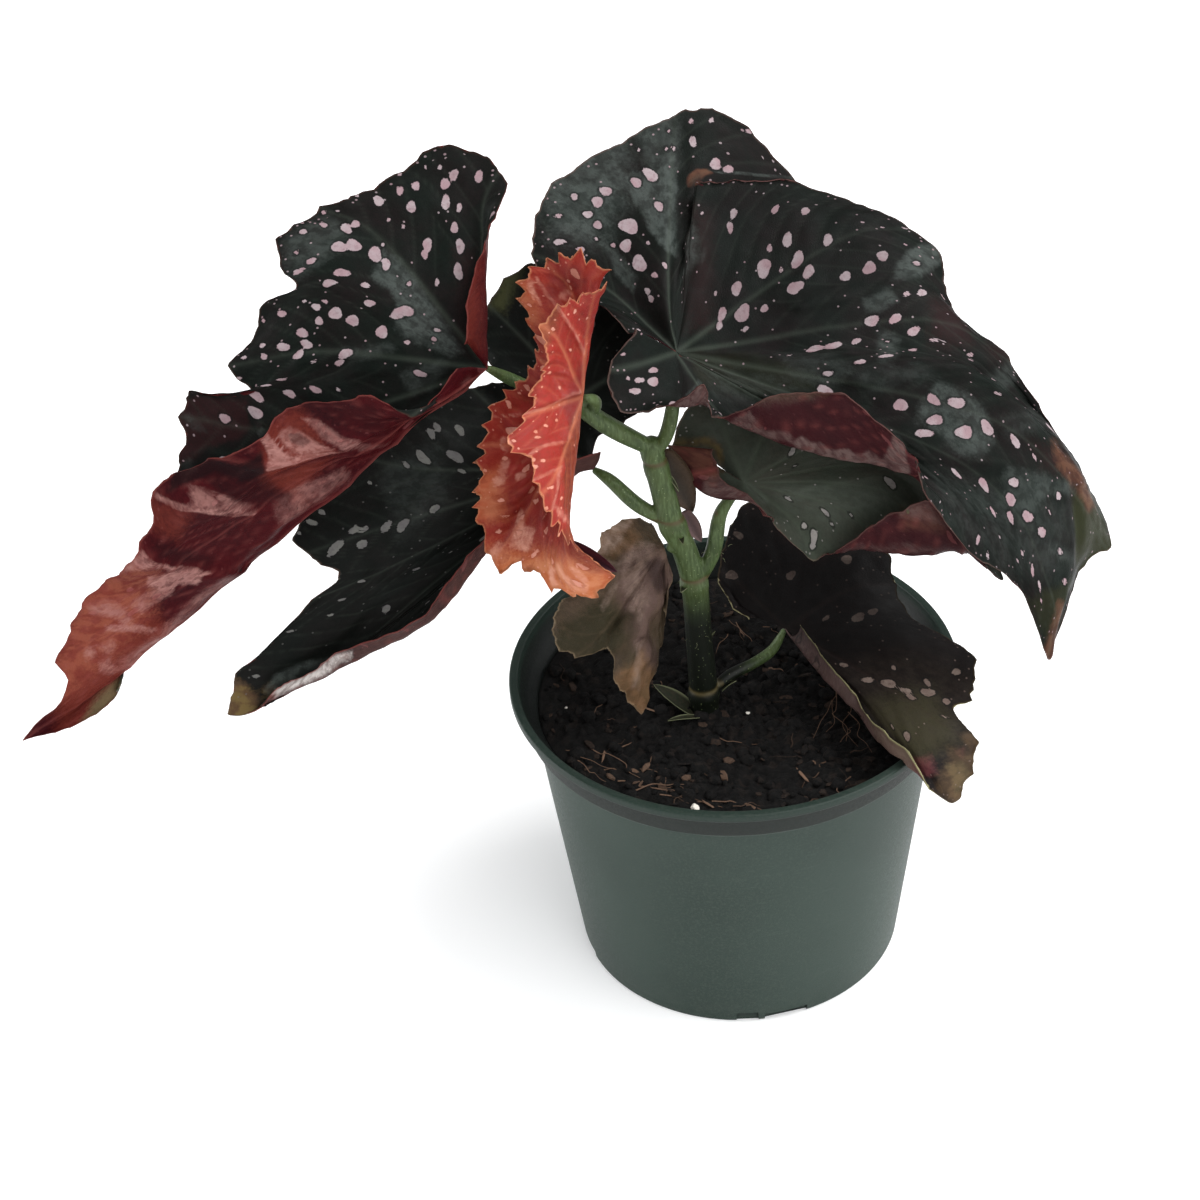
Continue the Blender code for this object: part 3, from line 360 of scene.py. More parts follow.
# How far the margin dips between two ribs, as a share of the reach, and how round the dip is
MARGIN_DIP = 0.012
DIP_ROUNDNESS = 1.5
# Unevenness of the teeth: shares of the usual spacing and depth
TOOTH_SPACING = (0.55, 1.45)
TOOTH_DEPTH = (0.35, 1.0)
# Length along the margin over which teeth fade out next to the tear
TEAR_FADE = 3.0
MOST_CUT = 0.4
# Ribs over which a rolled stretch of margin eases in and out
ROLL_EASE = 0.7
# Main veins: half width at the margin and its gain at the attachment, strength at the margin, and the
# reach over which the rest of the strength fades
VEIN_WIDTH = 0.45
VEIN_GAIN = 0.75
VEIN_STRENGTH = 0.4
VEIN_REACH = 45.0
# Side veins: angle to the main vein, half width, bend, and the shares of the reach where they fade in
VEIN_ANGLE = 48.0
SIDE_VEIN_WIDTH = 0.5
SIDE_VEIN_BEND = 1.08
SIDE_VEIN_START = (0.1, 0.24)
# Shifts of the side veins from one main vein to the next and from one of its sides to the other
VEIN_SHIFT = 0.37
SIDE_SHIFT = 0.5
# Widest turn from a main vein at which distances to it are still measured
WIDEST_TURN = 1.5
# Swelling between veins: width beside a side vein as a share of their spacing, and beside a main vein
SWELL_SHARE = 0.3
SWELL_WIDTH = 4.0
# Reach over which the blade's relief sets in
SETTLING = (2.0, 12.0)
# Small waves of the blade: size, height and the change of seed. Those of the margin have their own
# size and change of seed, and set in at a share of a column's length.
RIPPLE_SIZE = 7.0
RIPPLE_HEIGHT = 0.22
RIPPLE_SEED = 5.0
EDGE_WAVE_SIZE = 9.0
EDGE_WAVE_START = 0.75
EDGE_WAVE_SEED = 9.0
# Depths of main veins and side veins on the upper side, and heights of their ridges underneath
GROOVES = (0.2, 0.06)
RIDGES = (0.6, 0.2)
# Columns on each side of the torn leaf's shared rib that are moved to meet
JOIN_COLUMNS = 14
# A spot is put on the blade only where a vertex lies within so many pixels, in the front layer.
NEAR_PIXELS = 5.0
LAYER_DEPTH = 3.0
# Radii that a spot may have, how much longer than wide it may be, and the farthest distance to a spot
# that is stored. Distances are worked out only within a reach around a spot and at most a turn, as if
# no spot lay nearer to the attachment than the inner reach.
SPOT_LIMITS = (0.55, 3.6)
SPOT_STRETCH = 1.8
SPOT_FAR = 5.0
SPOT_REACH = 9.0
SPOT_TURN = 1.5
SPOT_INNER_REACH = 4.0
# Waves of a spot's edge: how many, and how deep as a share of its radius
SPOT_WAVES = ((3, 0.09), (2, 0.07))
# Radii of spots that the photograph doesn't show, their chances, and the free margins around them
UNSEEN_RADII = (0.8, 1.2, 1.6, 2.0, 2.4)
UNSEEN_CHANCES = (0.25, 0.25, 0.2, 0.2, 0.1)
UNSEEN_EDGE = 2.0
UNSEEN_APART = 2.2
# Places tried for each spot of the usual density, the shares of the reach between which they lie, as
# squares, and how much longer than wide such spots are
UNSEEN_TRIES = 3
UNSEEN_SHARES = (0.02, 0.93)
UNSEEN_STRETCH = (1.0, 1.6)
# Another layer hides the blade where it is so many millimetres nearer, in cells of so many pixels.
UNSEEN_DEPTH = 4.0
HIDING_CELL = 5
VISIBLE_BLUR = 6
TURNED_AWAY = 0.12
# Kinds of patch. The fourth holds painted highlights, with pale marks on the orange leaf, and the dark kind
# painted shade.
PATCH_KINDS = ("dry", "green", "red", "sheen", "dark")
PATCH_REACH = 4.0
# Painted highlights with pale marks, and painted shade, lie only on the blade's seen side, not in the
# colour of the whole blade
SEEN_SIDE_ONLY = ("sheen_share", "dark_share")
# Wandering of a patch's outline: size, the changes of seed, and how far it goes, as a share of the
# soft edge's width and in pixels
WARP_SIZE = 7.0
WARP_SEEDS = (21.0, 37.0)
WARP_SHARE = 0.8
WARP_LIMIT = 4.0
# Distance from the fan's sides over which creases fade in, and how soon they do as the blade turns
CREASE_FADE = 6.0
CREASE_TURN = 5.0
# Scale of the streaks that run outwards: across them, and along them per millimetre
POLAR_SCALE = (15.0, 0.09)


def srgb(red, green, blue):
    """Linear colour of a colour read from the photograph, 0 to 255 each."""
    scaled = np.array((red, green, blue)) / 255.0
    linear = np.where(scaled <= 0.04045, scaled / 12.92, ((scaled + 0.055) / 1.055) ** 2.4)
    return (*linear.tolist(), 1.0)


def smooth_step(low, high, values):
    """Smooth change from 0 to 1 while the values go from low to high."""
    part = np.clip((values - low) / (high - low), 0.0, 1.0)
    return part * part * (3.0 - 2.0 * part)


def camera_axes():
    """Right, up and forward directions of the camera, and its place in millimetres."""
    elevation = math.radians(CAMERA_ELEVATION)
    roll = math.radians(CAMERA_ROLL)
    level = np.array((1.0, 0.0, 0.0))
    upright = np.array((0.0, math.sin(elevation), math.cos(elevation)))
    forward = np.array((0.0, math.cos(elevation), -math.sin(elevation)))
    right = math.cos(roll) * level - math.sin(roll) * upright
    up = math.sin(roll) * level + math.cos(roll) * upright
    return right, up, forward, np.array(CAMERA_AIM) - forward * CAMERA_DISTANCE


def project(points):
    """Pixel and depth of points, as an array with x, y and depth last."""
    right, up, forward, place = camera_axes()
    rays = np.asarray(points) - place
    depth = rays @ forward
    middle = IMAGE_SIZE / 2
    x = middle + PIXEL_SCALE * (rays @ right) / depth
    y = middle - PIXEL_SCALE * (rays @ up) / depth
    return np.stack([x, y, depth], -1)


def camera_facing(part):
    """Cosine between a fan's normals and the directions to the camera."""
    towards = camera_axes()[3] - part.points
    towards /= np.linalg.norm(towards, axis=-1, keepdims=True)
    return (towards * part.normals).sum(axis=-1)


def fractal(points, scale, octaves=3, seed=0.0):
    """Noise from about -1 to 1 at points given in millimetres, one value a point."""
    flat = np.asarray(points, dtype=float).reshape(-1, np.asarray(points).shape[-1])
    if flat.shape[1] == 2:
        flat = np.concatenate([flat, np.full((len(flat), 1), seed)], axis=1)
    values = [noise.fractal(Vector(p), 1.0, 2.0, octaves) for p in (flat / scale + seed).tolist()]
    return np.array(values).reshape(np.asarray(points).shape[:-1])


def linked(name, data):
    """New object in the scene."""
    obj = bpy.data.objects.new(name, data)
    bpy.context.scene.collection.objects.link(obj)
    return obj


def add_object(name, mesh, nodes):
    """Object for a finished mesh that rides on the one body and stands for CAD nodes."""
    obj = linked(name, mesh)
    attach(obj, "root")
    if nodes:
        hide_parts(*nodes)
    return obj


def mesh_from(name, points, faces, smooth=True):
    """Mesh from points in millimetres and faces of three or more corners."""
    mesh = bpy.data.meshes.new(name)
    mesh.from_pydata((np.asarray(points) * MM).tolist(), [], faces)
    mesh.validate()
    mesh.polygons.foreach_set("use_smooth", [smooth] * len(mesh.polygons))
    mesh.update()
    return mesh


def mesh_of(edit, name):
    """Mesh from a bmesh, which is then freed."""
    mesh = bpy.data.meshes.new(name)
    edit.to_mesh(mesh)
    edit.free()
    return mesh


def vertex_places(mesh):
    """Places of a mesh's vertices in millimetres."""
    places = np.empty(len(mesh.vertices) * 3)
    mesh.vertices.foreach_get("co", places)
    return places.reshape(-1, 3) / MM


def store(mesh, name, values):
    """Number or vector for each vertex, which a material reads by name."""
    values = np.asarray(values, dtype=np.float32)
    kind, field = ("FLOAT", "value") if values.ndim == 1 else ("FLOAT_VECTOR", "vector")
    mesh.attributes.new(name, kind, "POINT").data.foreach_set(field, values.ravel())


# Smooth curves and fans of ribs, as in the part's source
def spline_at(points, places):
    """Smooth curve through points along the first axis, read at places from 0 to count - 1."""
    points = np.asarray(points, dtype=float)
    places = np.asarray(places, dtype=float)
    padded = np.concatenate([[2 * points[0] - points[1]], points, [2 * points[-1] - points[-2]]])
    index = np.clip(places.astype(int), 0, len(points) - 2)
    part = (places - index).reshape((-1,) + (1,) * (points.ndim - 1))
    before, start, end, after = (padded[index + i] for i in range(4))
    return 0.5 * (
        2 * start
        + (end - before) * part
        + (2 * before - 5 * start + 4 * end - after) * part ** 2
        + (3 * start - before - 3 * end + after) * part ** 3
    )


def line_length(curve):
    """Length of a polyline from its start to each of its points."""
    steps = np.linalg.norm(np.diff(curve, axis=0), axis=1)
    return np.concatenate([[0.0], np.cumsum(steps)])


def resampled(curve, wanted):
    """Points of a polyline at the wanted shares of its length."""
    length = line_length(curve)
    return np.stack([np.interp(wanted * length[-1], length, curve[:, axis]) for axis in range(3)], axis=-1)


def evenly_spaced(points, fractions):
    """Points at fractions of the length of the smooth curve through the given points."""
    fine = spline_at(points, np.linspace(0, len(points) - 1, 40 * (len(points) - 1) + 1))
    return resampled(fine, np.asarray(fractions))


def rib_rows(attachment, ribs, rows):
    """Array of rib by row of points, row 0 being the attachment."""
    fractions = np.linspace(0, 1, rows + 1)
    return np.array([evenly_spaced([attachment, *rib], fractions) for rib in ribs])


def column_places(curves, spacing):
    """Places between the ribs, so that the columns stand at most a spacing apart."""
    gaps = np.linalg.norm(np.diff(curves, axis=0), axis=2).max(axis=1)
    counts = np.maximum(COARSE_STEP, np.ceil(gaps / spacing / COARSE_STEP) * COARSE_STEP).astype(int)
    steps = [i + np.arange(count) / count for i, count in enumerate(counts)]
    return np.concatenate([*steps, [len(curves) - 1.0]])


def notches(along, spacing, depth, sharpness, rng):
    """Depth of the margin below the tips of its teeth, at lengths along the margin."""
    tips = [0.0]
    while tips[-1] <= along[-1]:
        tips.append(tips[-1] + spacing * rng.uniform(*TOOTH_SPACING))
    tips = np.array(tips)
    depths = depth * rng.uniform(*TOOTH_DEPTH, len(tips))
    index = np.clip(np.searchsorted(tips, along, side="right") - 1, 0, len(tips) - 2)
    part = (along - tips[index]) / (tips[index + 1] - tips[index])
    return depths[index] * (1.0 - np.abs(2.0 * part - 1.0) ** sharpness)


def lengths_along(points, axis):
    """Length from the start along one axis of a grid of points."""
    steps = np.linalg.norm(np.diff(points, axis=axis), axis=-1)
    start = np.zeros_like(np.take(steps, [0], axis=axis))
    return np.concatenate([start, np.cumsum(steps, axis=axis)], axis=axis)


def cut_margin(points, places, teeth, rng, keep_first=False, keep_last=False):
    """Shortens the columns towards their ends, so that the blade has a toothed margin."""
    reach = lengths_along(points, 1)[:, -1]
    along = lengths_along(points[:, -1:], 0)[:, 0]
    part = places - np.floor(places)
    depth = MARGIN_DIP * reach * (1.0 - np.abs(2.0 * part - 1.0) ** DIP_ROUNDNESS)
    for spacing, tooth, sharpness in teeth:
        depth += notches(along, spacing, tooth, sharpness, rng)
    fade = np.ones(len(places))
    if keep_first:
        fade *= smooth_step(0.0, TEAR_FADE, along)
    if keep_last:
        fade *= smooth_step(0.0, TEAR_FADE, along[-1] - along)
    share = np.clip(depth * fade / np.maximum(reach, 1.0), 0.0, MOST_CUT)
    base = np.linspace(0.0, 1.0, points.shape[1])
    places = [base * (1.0 - cut * base ** 3) for cut in share]
    return np.array([resampled(column, place) for column, place in zip(points, places)])


def calmed(points, passes):
    """Points with the unevenness between neighbouring columns smoothed, less towards the margin."""
    share = 0.5 * (1.0 - np.linspace(0.0, 1.0, points.shape[1]) ** 2)[None, :, None]
    calm = points.copy()
    for _ in range(passes):
        calm[1:-1] += share * ((calm[2:] + calm[:-2]) / 2 - calm[1:-1])
    return calm


def rolled(points, places, facing, rolls):
    """Rolls stretches of the margin over. A roll is its first and last rib, its width, and its turn in
    degrees, upwards if positive."""
    bent = points.copy()
    normals = normals_of(points, facing)
    reach = lengths_along(points, 1)
    for first, last, width, degrees in rolls:
        ease = smooth_step(first, first + ROLL_EASE, places) * smooth_step(last, last - ROLL_EASE, places)
        for i in np.flatnonzero(ease > 0.01):
            start = np.searchsorted(reach[i], reach[i, -1] - width)
            if start < 3:
                continue
            outwards = points[i, start] - points[i, start - 2]
            outwards /= np.linalg.norm(outwards)
            radius = width / (math.radians(degrees) * ease[i])
            angles = (reach[i, start:] - reach[i, start]) / radius
            bent[i, start:] = points[i, start] + radius * (
                np.sin(angles)[:, None] * outwards + (1.0 - np.cos(angles))[:, None] * normals[i, start]
            )
    return bent


def normals_of(points, facing):
    """Unit normals of a grid on its upper side."""
    across = np.gradient(points, axis=0)
    outwards = np.gradient(points, axis=1)
    normals = facing * np.cross(across, outwards)
    normals[:, 0] = normals[:, 1].mean(axis=0)
    sizes = np.linalg.norm(normals, axis=-1, keepdims=True)
    return normals / np.maximum(sizes, 1e-9)


def polar_of(points, start_angle=0.0):
    """Reach from the attachment and turn about it of each point once the blade lies flat. The inner
    third of the rows is too narrow to measure the turn."""
    reach = lengths_along(points, 1)
    across = np.linalg.norm(np.diff(points, axis=0), axis=2)
    middle = (reach[1:] + reach[:-1]) / 2
    inner = points.shape[1] // 3
    turn = (across[:, inner:] / middle[:, inner:]).mean(axis=1)
    angle = start_angle + np.concatenate([[0.0], np.cumsum(turn)])
    return reach, angle


def vein_shape(reach, angle, vein_angles, leaf):
    """How strongly main veins, side veins and the swelling between them show at each point."""
    offset = angle[:, None] - np.array(vein_angles)[None, :]
    nearest = np.abs(offset).argmin(axis=1)
    turned = offset[np.arange(len(angle)), nearest][:, None]
    aside = reach * np.sin(np.clip(turned, -WIDEST_TURN, WIDEST_TURN))
    ahead = reach * np.cos(np.clip(turned, -WIDEST_TURN, WIDEST_TURN))
    full = reach[:, -1:].max()
    width = VEIN_WIDTH + VEIN_GAIN * (1.0 - reach / full)
    strength = VEIN_STRENGTH + (1.0 - VEIN_STRENGTH) * np.exp(-(reach / VEIN_REACH) ** 2)
    main = np.exp(-(aside / width) ** 2) * strength
    spacing = leaf.side_spacing
    slope = math.tan(math.radians(VEIN_ANGLE))
    shift = nearest[:, None] * VEIN_SHIFT + (aside > 0) * SIDE_SHIFT
    steps = (ahead - np.abs(aside) ** SIDE_VEIN_BEND / slope) / spacing + shift
    apart = np.abs(steps - np.round(steps)) * spacing * math.sin(math.radians(VEIN_ANGLE))
    start, end = SIDE_VEIN_START
    fade = smooth_step(start * full, end * full, reach)
    side = np.exp(-(apart / SIDE_VEIN_WIDTH) ** 2) * fade
    beside = 1.0 - np.exp(-(apart / (SWELL_SHARE * spacing)) ** 2)
    swell = beside * (1.0 - np.exp(-(aside / SWELL_WIDTH) ** 2)) * fade
    return main, side, swell


def fan(leaf, curves, veins, rng, rolls=(), keep_first=False, keep_last=False, start_angle=0.0):
    """One fan of a blade: its points, normals, flat places and vein strengths."""
    places = column_places(curves, leaf.spacing)
    points = calmed(spline_at(curves, places), leaf.calm)
    points = cut_margin(points, places, leaf.teeth, rng, keep_first, keep_last)
    points = rolled(points, places, leaf.facing, rolls)
    reach, angle = polar_of(points, start_angle)
    main, side, swell = vein_shape(reach, angle, np.interp(veins, places, angle), leaf)
    flat = np.stack([reach * np.cos(angle[:, None]), reach * np.sin(angle[:, None])], -1)
    return SimpleNamespace(
        points=points, normals=normals_of(points, leaf.facing), reach=reach, angle=angle, flat=flat,
        main=main, side=side, swell=swell,
    )


def relief(leaf, part):
    """Raises the blade between its veins and lets it wave, and returns both of its sides."""
    out = np.linspace(0.0, 1.0, part.points.shape[1])[None, :]
    settled = smooth_step(*SETTLING, part.reach)
    wave = fractal(part.flat, leaf.wave_size, 2, leaf.seed) * leaf.wave
    ripple = fractal(part.flat, RIPPLE_SIZE, 2, leaf.seed + RIPPLE_SEED) * RIPPLE_HEIGHT
    edge = fractal(part.flat, EDGE_WAVE_SIZE, 2, leaf.seed + EDGE_WAVE_SEED) * leaf.edge_wave
    edge = edge * smooth_step(EDGE_WAVE_START, 1.0, out)
    lift = settled * (wave + ripple + edge + leaf.swell * part.swell) + crease_lift(part, leaf.creases)
    inwards = smooth_step(1.0, THINNING_START, out)
    half = 0.5 * (MARGIN_THICKNESS + (BLADE_THICKNESS - MARGIN_THICKNESS) * inwards)
    groove = settled * (GROOVES[0] * part.main + GROOVES[1] * part.side)
    ridge = settled * (RIDGES[0] * part.main + RIDGES[1] * part.side)
    upper = part.points + part.normals * (lift + half - groove)[..., None]
    lower = part.points + part.normals * (lift - half - ridge)[..., None]
    return upper, lower


def join_fans(surfaces):
    """Moves the neighbouring columns of two fans so that both have the same last and first column."""
    first, second = surfaces
    for before, after in zip(first, second):
        gap = after[0] - before[-1]
        for i in range(JOIN_COLUMNS):
            share = 0.25 * (1.0 + math.cos(math.pi * i / JOIN_COLUMNS))
            before[-1 - i] += gap * share
            after[i] -= gap * share


def grid_faces(numbers, flip):
    """Faces between neighbours in a grid of vertex numbers, skipping collapsed ones."""
    a, b = numbers[:-1, :-1], numbers[1:, :-1]
    c, d = numbers[1:, 1:], numbers[:-1, 1:]
    quads = np.stack([a, b, c, d], -1).reshape(-1, 4)
    faces = []
    for quad in quads.tolist():
        corners = [q for i, q in enumerate(quad) if q != quad[i - 1]]
        if len(corners) >= 3:
            faces.append(corners[::-1] if flip else corners)
    return faces


def strip_faces(fine, coarse, flip):
    """Triangles between a fine row of vertex numbers and the coarse row under it."""
    fine, coarse = fine.tolist(), coarse.tolist()
    half = (COARSE_STEP + 1) // 2
    faces = []
    for i, start in enumerate(range(0, len(fine) - 1, COARSE_STEP)):
        for k in range(COARSE_STEP):
            near = coarse[i] if 2 * k < COARSE_STEP else coarse[i + 1]
            faces.append([fine[start + k], fine[start + k + 1], near])
        faces.append([coarse[i], fine[start + half], coarse[i + 1]])
    return [face[::-1] if flip else face for face in faces]


def nearest_place(parts, x, y):
    """Front-most place on a leaf at a pixel: fan, column and row, or None where it is off the leaf."""
    best = None
    for index, part in enumerate(parts):
        apart = np.hypot(part.pixels[..., 0] - x, part.pixels[..., 1] - y)
        near = apart < NEAR_PIXELS
        near[:, 0] = False
        if not near.any():
            continue
        front = part.pixels[..., 2][near].min()
        chosen = np.where(near & (part.pixels[..., 2] < front + LAYER_DEPTH), apart, np.inf)
        column, row = np.unravel_index(chosen.argmin(), chosen.shape)
        if best is None or part.pixels[column, row, 2] < best[0]:
            best = (part.pixels[column, row, 2], index, column, row)
    return best


def seen_spot(parts, x, y, width, height):
    """Ellipse on the flat blade that shows as one of a width and height at a pixel."""
    found = nearest_place(parts, x, y)
    if found is None:
        return None
    _, index, column, row = found
    part = parts[index]
    column = min(max(column, 1), part.reach.shape[0] - 2)
    row = min(max(row, 1), part.reach.shape[1] - 2)
    along = part.reach[column, row + 1] - part.reach[column, row - 1]
    around = part.reach[column, row] * (part.angle[column + 1] - part.angle[column - 1])
    down = (part.pixels[column, row + 1, :2] - part.pixels[column, row - 1, :2]) / along
    over = (part.pixels[column + 1, row, :2] - part.pixels[column - 1, row, :2]) / around
    jacobian = np.stack([down, over], axis=1)
    shape = jacobian.T @ np.diag((4.0 / width ** 2, 4.0 / height ** 2)) @ jacobian
    sizes, axes = np.linalg.eigh(shape)
    radii = np.clip(1.0 / np.sqrt(np.maximum(sizes, 1e-6)), *SPOT_LIMITS)
    radii = np.minimum(radii, radii.min() * SPOT_STRETCH)
    return spot_at(part, column, row, axes @ np.diag(1.0 / radii ** 2) @ axes.T, radii.min())


def spot_at(part, column, row, shape, radius):
    """A spot: its centre on the flat blade and in space, its ellipse's matrix and its smaller radius."""
    return SimpleNamespace(
        reach=part.reach[column, row], angle=part.angle[column], shape=shape, radius=radius,
        place=part.points[column, row],
    )


def cells_of(part):
    """Cell of the image in which each point of a fan lies, across and down."""
    last = IMAGE_SIZE // HIDING_CELL
    return tuple(np.clip(part.pixels[..., i] / HIDING_CELL, 0, last).astype(int) for i in (0, 1))


def hidden_masks(parts, all_parts):
    """For each fan, where another layer of the plant lies in front of the blade's upper side. The fans
    also get how visible they are and which points face the camera."""
    size = IMAGE_SIZE // HIDING_CELL + 1
    front = np.full((size, size), np.inf)
    for part in all_parts:
        np.minimum.at(front, cells_of(part), part.pixels[..., 2])
    masks = []
    for part in parts:
        behind = part.pixels[..., 2] > front[cells_of(part)] + UNSEEN_DEPTH
        part.visible = blurred(1.0 - behind, VISIBLE_BLUR)
        facing = camera_facing(part)
        part.faces_camera = smooth_step(-TURNED_AWAY, TURNED_AWAY, facing)
        masks.append(behind | (facing < 0))
    return masks


def unseen_spots(leaf, parts, masks, spots, rng):
    """Spots of the leaf's usual sizes where the photograph shows nothing of its upper side."""
    added = list(spots)
    for part, mask in zip(parts, masks):
        columns, rows = part.reach.shape
        turn = np.abs(part.angle[-1] - part.angle[0])
        area = part.reach[-1:].mean() * turn * part.reach[:, -1].mean() / 2
        for _ in range(int(area * leaf.density * UNSEEN_TRIES)):
            column = rng.integers(1, columns - 1)
            row = int(math.sqrt(rng.uniform(*UNSEEN_SHARES)) * rows)
            radius = rng.choice(UNSEEN_RADII, p=UNSEEN_CHANCES)
            stretch = rng.uniform(*UNSEEN_STRETCH)
            spare = part.reach[column, -1] - part.reach[column, row]
            if not mask[column, row] or spare < radius + UNSEEN_EDGE:
                continue
            place = part.points[column, row]
            if any(np.linalg.norm(place - one.place) < radius + one.radius + UNSEEN_APART for one in added):
                continue
            shape = np.diag((1.0 / (radius * stretch) ** 2, 1.0 / radius ** 2))
            added.append(spot_at(part, column, row, shape, radius))
    return added


def spot_distance(part, spots, rng):
    """Signed distance in millimetres to the nearest spot's edge, negative inside a spot."""
    distance = np.full(part.reach.shape, SPOT_FAR)
    for spot in spots:
        widest = min(SPOT_TURN, SPOT_REACH / max(spot.reach, SPOT_INNER_REACH))
        near = np.flatnonzero(np.abs(part.angle - spot.angle) < widest)
        if not len(near):
            continue
        turned = part.angle[near, None] - spot.angle
        ahead = part.reach[near] * np.cos(turned) - spot.reach
        aside = part.reach[near] * np.sin(turned)
        wobble = 1.0
        for waves, depth in SPOT_WAVES:
            wobble = wobble + depth * np.sin(waves * np.arctan2(aside, ahead) + rng.uniform(0, 6.3))
        (long, tilt), (_, short) = spot.shape
        norm = np.sqrt(long * ahead ** 2 + 2 * tilt * ahead * aside + short * aside ** 2)
        away = (norm / wobble - 1.0) * spot.radius
        distance[near] = np.minimum(distance[near], away)
    return distance


def route_distance(places, points):
    """Distance in pixels of places to a route, and the side of it on which they lie."""
    x, y = places[..., 0], places[..., 1]
    nearest = np.full(x.shape, np.inf)
    side = np.zeros(x.shape)
    for (x0, y0), (x1, y1) in zip(points, points[1:]):
        along = ((x - x0) * (x1 - x0) + (y - y0) * (y1 - y0)) / ((x1 - x0) ** 2 + (y1 - y0) ** 2)
        along = np.clip(along, 0.0, 1.0)
        apart = np.hypot(x - x0 - along * (x1 - x0), y - y0 - along * (y1 - y0))
        turned = (x1 - x0) * (y - y0) - (y1 - y0) * (x - x0)
        side = np.where(apart < nearest, np.sign(turned), side)
        nearest = np.minimum(nearest, apart)
    return nearest, side


def depth_inside(places, points):
    """Distance in pixels of places to the edge of an outline, negative outside it."""
    closed = [*points, points[0]]
    x, y = places[..., 0], places[..., 1]
    inside = np.zeros(x.shape, dtype=bool)
    for (x0, y0), (x1, y1) in zip(closed, closed[1:]):
        if y0 != y1:
            inside ^= ((y0 > y) != (y1 > y)) & (x < x0 + (y - y0) * (x1 - x0) / (y1 - y0))
    nearest, _ = route_distance(places, closed)
    return np.where(inside, nearest, -nearest)


def pairs(numbers):
    """Points from a row of their x and y in turn."""
    return list(zip(numbers[::2], numbers[1::2]))


def patch_fields(leaf, parts, patches):
    """For each fan, how deep its places lie in the nearest patch, in widths of the patch's soft edge,
    and that patch's strength."""
    fields = []
    for part in parts:
        warp = np.stack([fractal(part.flat, WARP_SIZE, 3, leaf.seed + k) for k in WARP_SEEDS], -1)
        depth = np.full(part.reach.shape, -PATCH_REACH)
        strength = np.zeros(part.reach.shape)
        for share, softness, *outline in patches:
            warped = part.pixels[..., :2] + warp * min(WARP_LIMIT, WARP_SHARE * softness)
            own = np.clip(depth_inside(warped, pairs(outline)) / softness, -PATCH_REACH, PATCH_REACH)
            strength = np.where((own > depth) & (own > -PATCH_REACH), share, strength)
            depth = np.maximum(depth, own)
        fields.append((depth, strength * part.visible))
    return fields


def crease_lift(part, creases):
    """How far creases raise a fan towards the camera."""
    lift = np.zeros(part.reach.shape)
    for height, left, right, *route in creases:
        nearest, side = route_distance(part.pixels, pairs(route))
        lift += height * np.exp(-(nearest / np.where(side > 0, right, left)) ** 2)
    inwards = part.reach * np.minimum(part.angle - part.angle[0], part.angle[-1] - part.angle)[:, None]
    lift *= part.visible * smooth_step(0.0, CREASE_FADE, inwards)
    return lift * np.tanh(CREASE_TURN * camera_facing(part))


def blurred(values, passes):
    """Values of a grid, each moved to the mean of its neighbours in each pass."""
    for _ in range(passes):
        wide = np.pad(values, 1, mode="edge")
        values = (wide[:-2, 1:-1] + wide[2:, 1:-1] + wide[1:-1, :-2] + wide[1:-1, 2:]) / 4
    return values


def sheet_numbers(start, columns, rows):
    """Vertex numbers of one side of a fan, whose first row is one point, the attachment."""
    numbers = start + np.arange(columns * rows).reshape(columns, rows)
    numbers[:, 0] = numbers[0, 0]
    return numbers


def both_sides(above, below):
    """Values of a fan's vertices: all of its upper side, then the coarser ones of its underside."""
    coarse = below[::COARSE_STEP, ::COARSE_STEP]
    return np.concatenate([side.reshape(-1, *side.shape[2:]) for side in (above, coarse)])


def fan_faces(fine, coarse, flip, first, last):
    """Faces of a fan's upper side, then those of its underside and its outer edges. Only the first and
    the last fan of a blade have an edge along their first and their last column."""
    edges = strip_faces(fine[:, -1], coarse[:, -1], not flip)
    if first:
        edges += strip_faces(fine[0], coarse[0], flip)
    if last:
        edges += strip_faces(fine[-1], coarse[-1], not flip)
    return grid_faces(fine, flip), grid_faces(coarse, not flip) + edges


def blade_values(part, spots, fields, rng):
    """What the skin's materials read at a fan's vertices, by name."""
    turned = np.broadcast_to(part.angle[:, None], part.reach.shape)
    level = np.zeros(part.reach.shape)
    fields = fields | {
        "spot": spot_distance(part, spots, rng), "vein": part.main, "side_vein": part.side,
        "margin": part.reach[:, -1:] - part.reach,
        "flat": np.concatenate([part.flat, level[..., None]], -1),
        "polar": np.stack([turned * POLAR_SCALE[0], part.reach * POLAR_SCALE[1], level], -1),
    }
    values = {}
    for name, field in fields.items():
        above, below = field, field
        if name in SEEN_SIDE_ONLY:
            above, below = field * part.faces_camera, field * (1.0 - part.faces_camera)
        values[name] = both_sides(above, below)
    return values


def weld(mesh, seams):
    """Joins the fans of a blade where the last column of one meets the first of the next, and drops the
    points that no face uses. A seam is a fan's first and last column as vertex numbers."""
    edit = bmesh.new()
    edit.from_mesh(mesh)
    edit.verts.ensure_lookup_table()
    for (_, last), (first, _) in zip(seams, seams[1:]):
        same = {edit.verts[b]: edit.verts[a] for a, b in zip(last.tolist(), first.tolist())}
        bmesh.ops.weld_verts(edit, targetmap=same)
    bmesh.ops.delete(edit, geom=[v for v in edit.verts if not v.link_faces], context="VERTS")
    edit.to_mesh(mesh)
    edit.free()
    mesh.update()


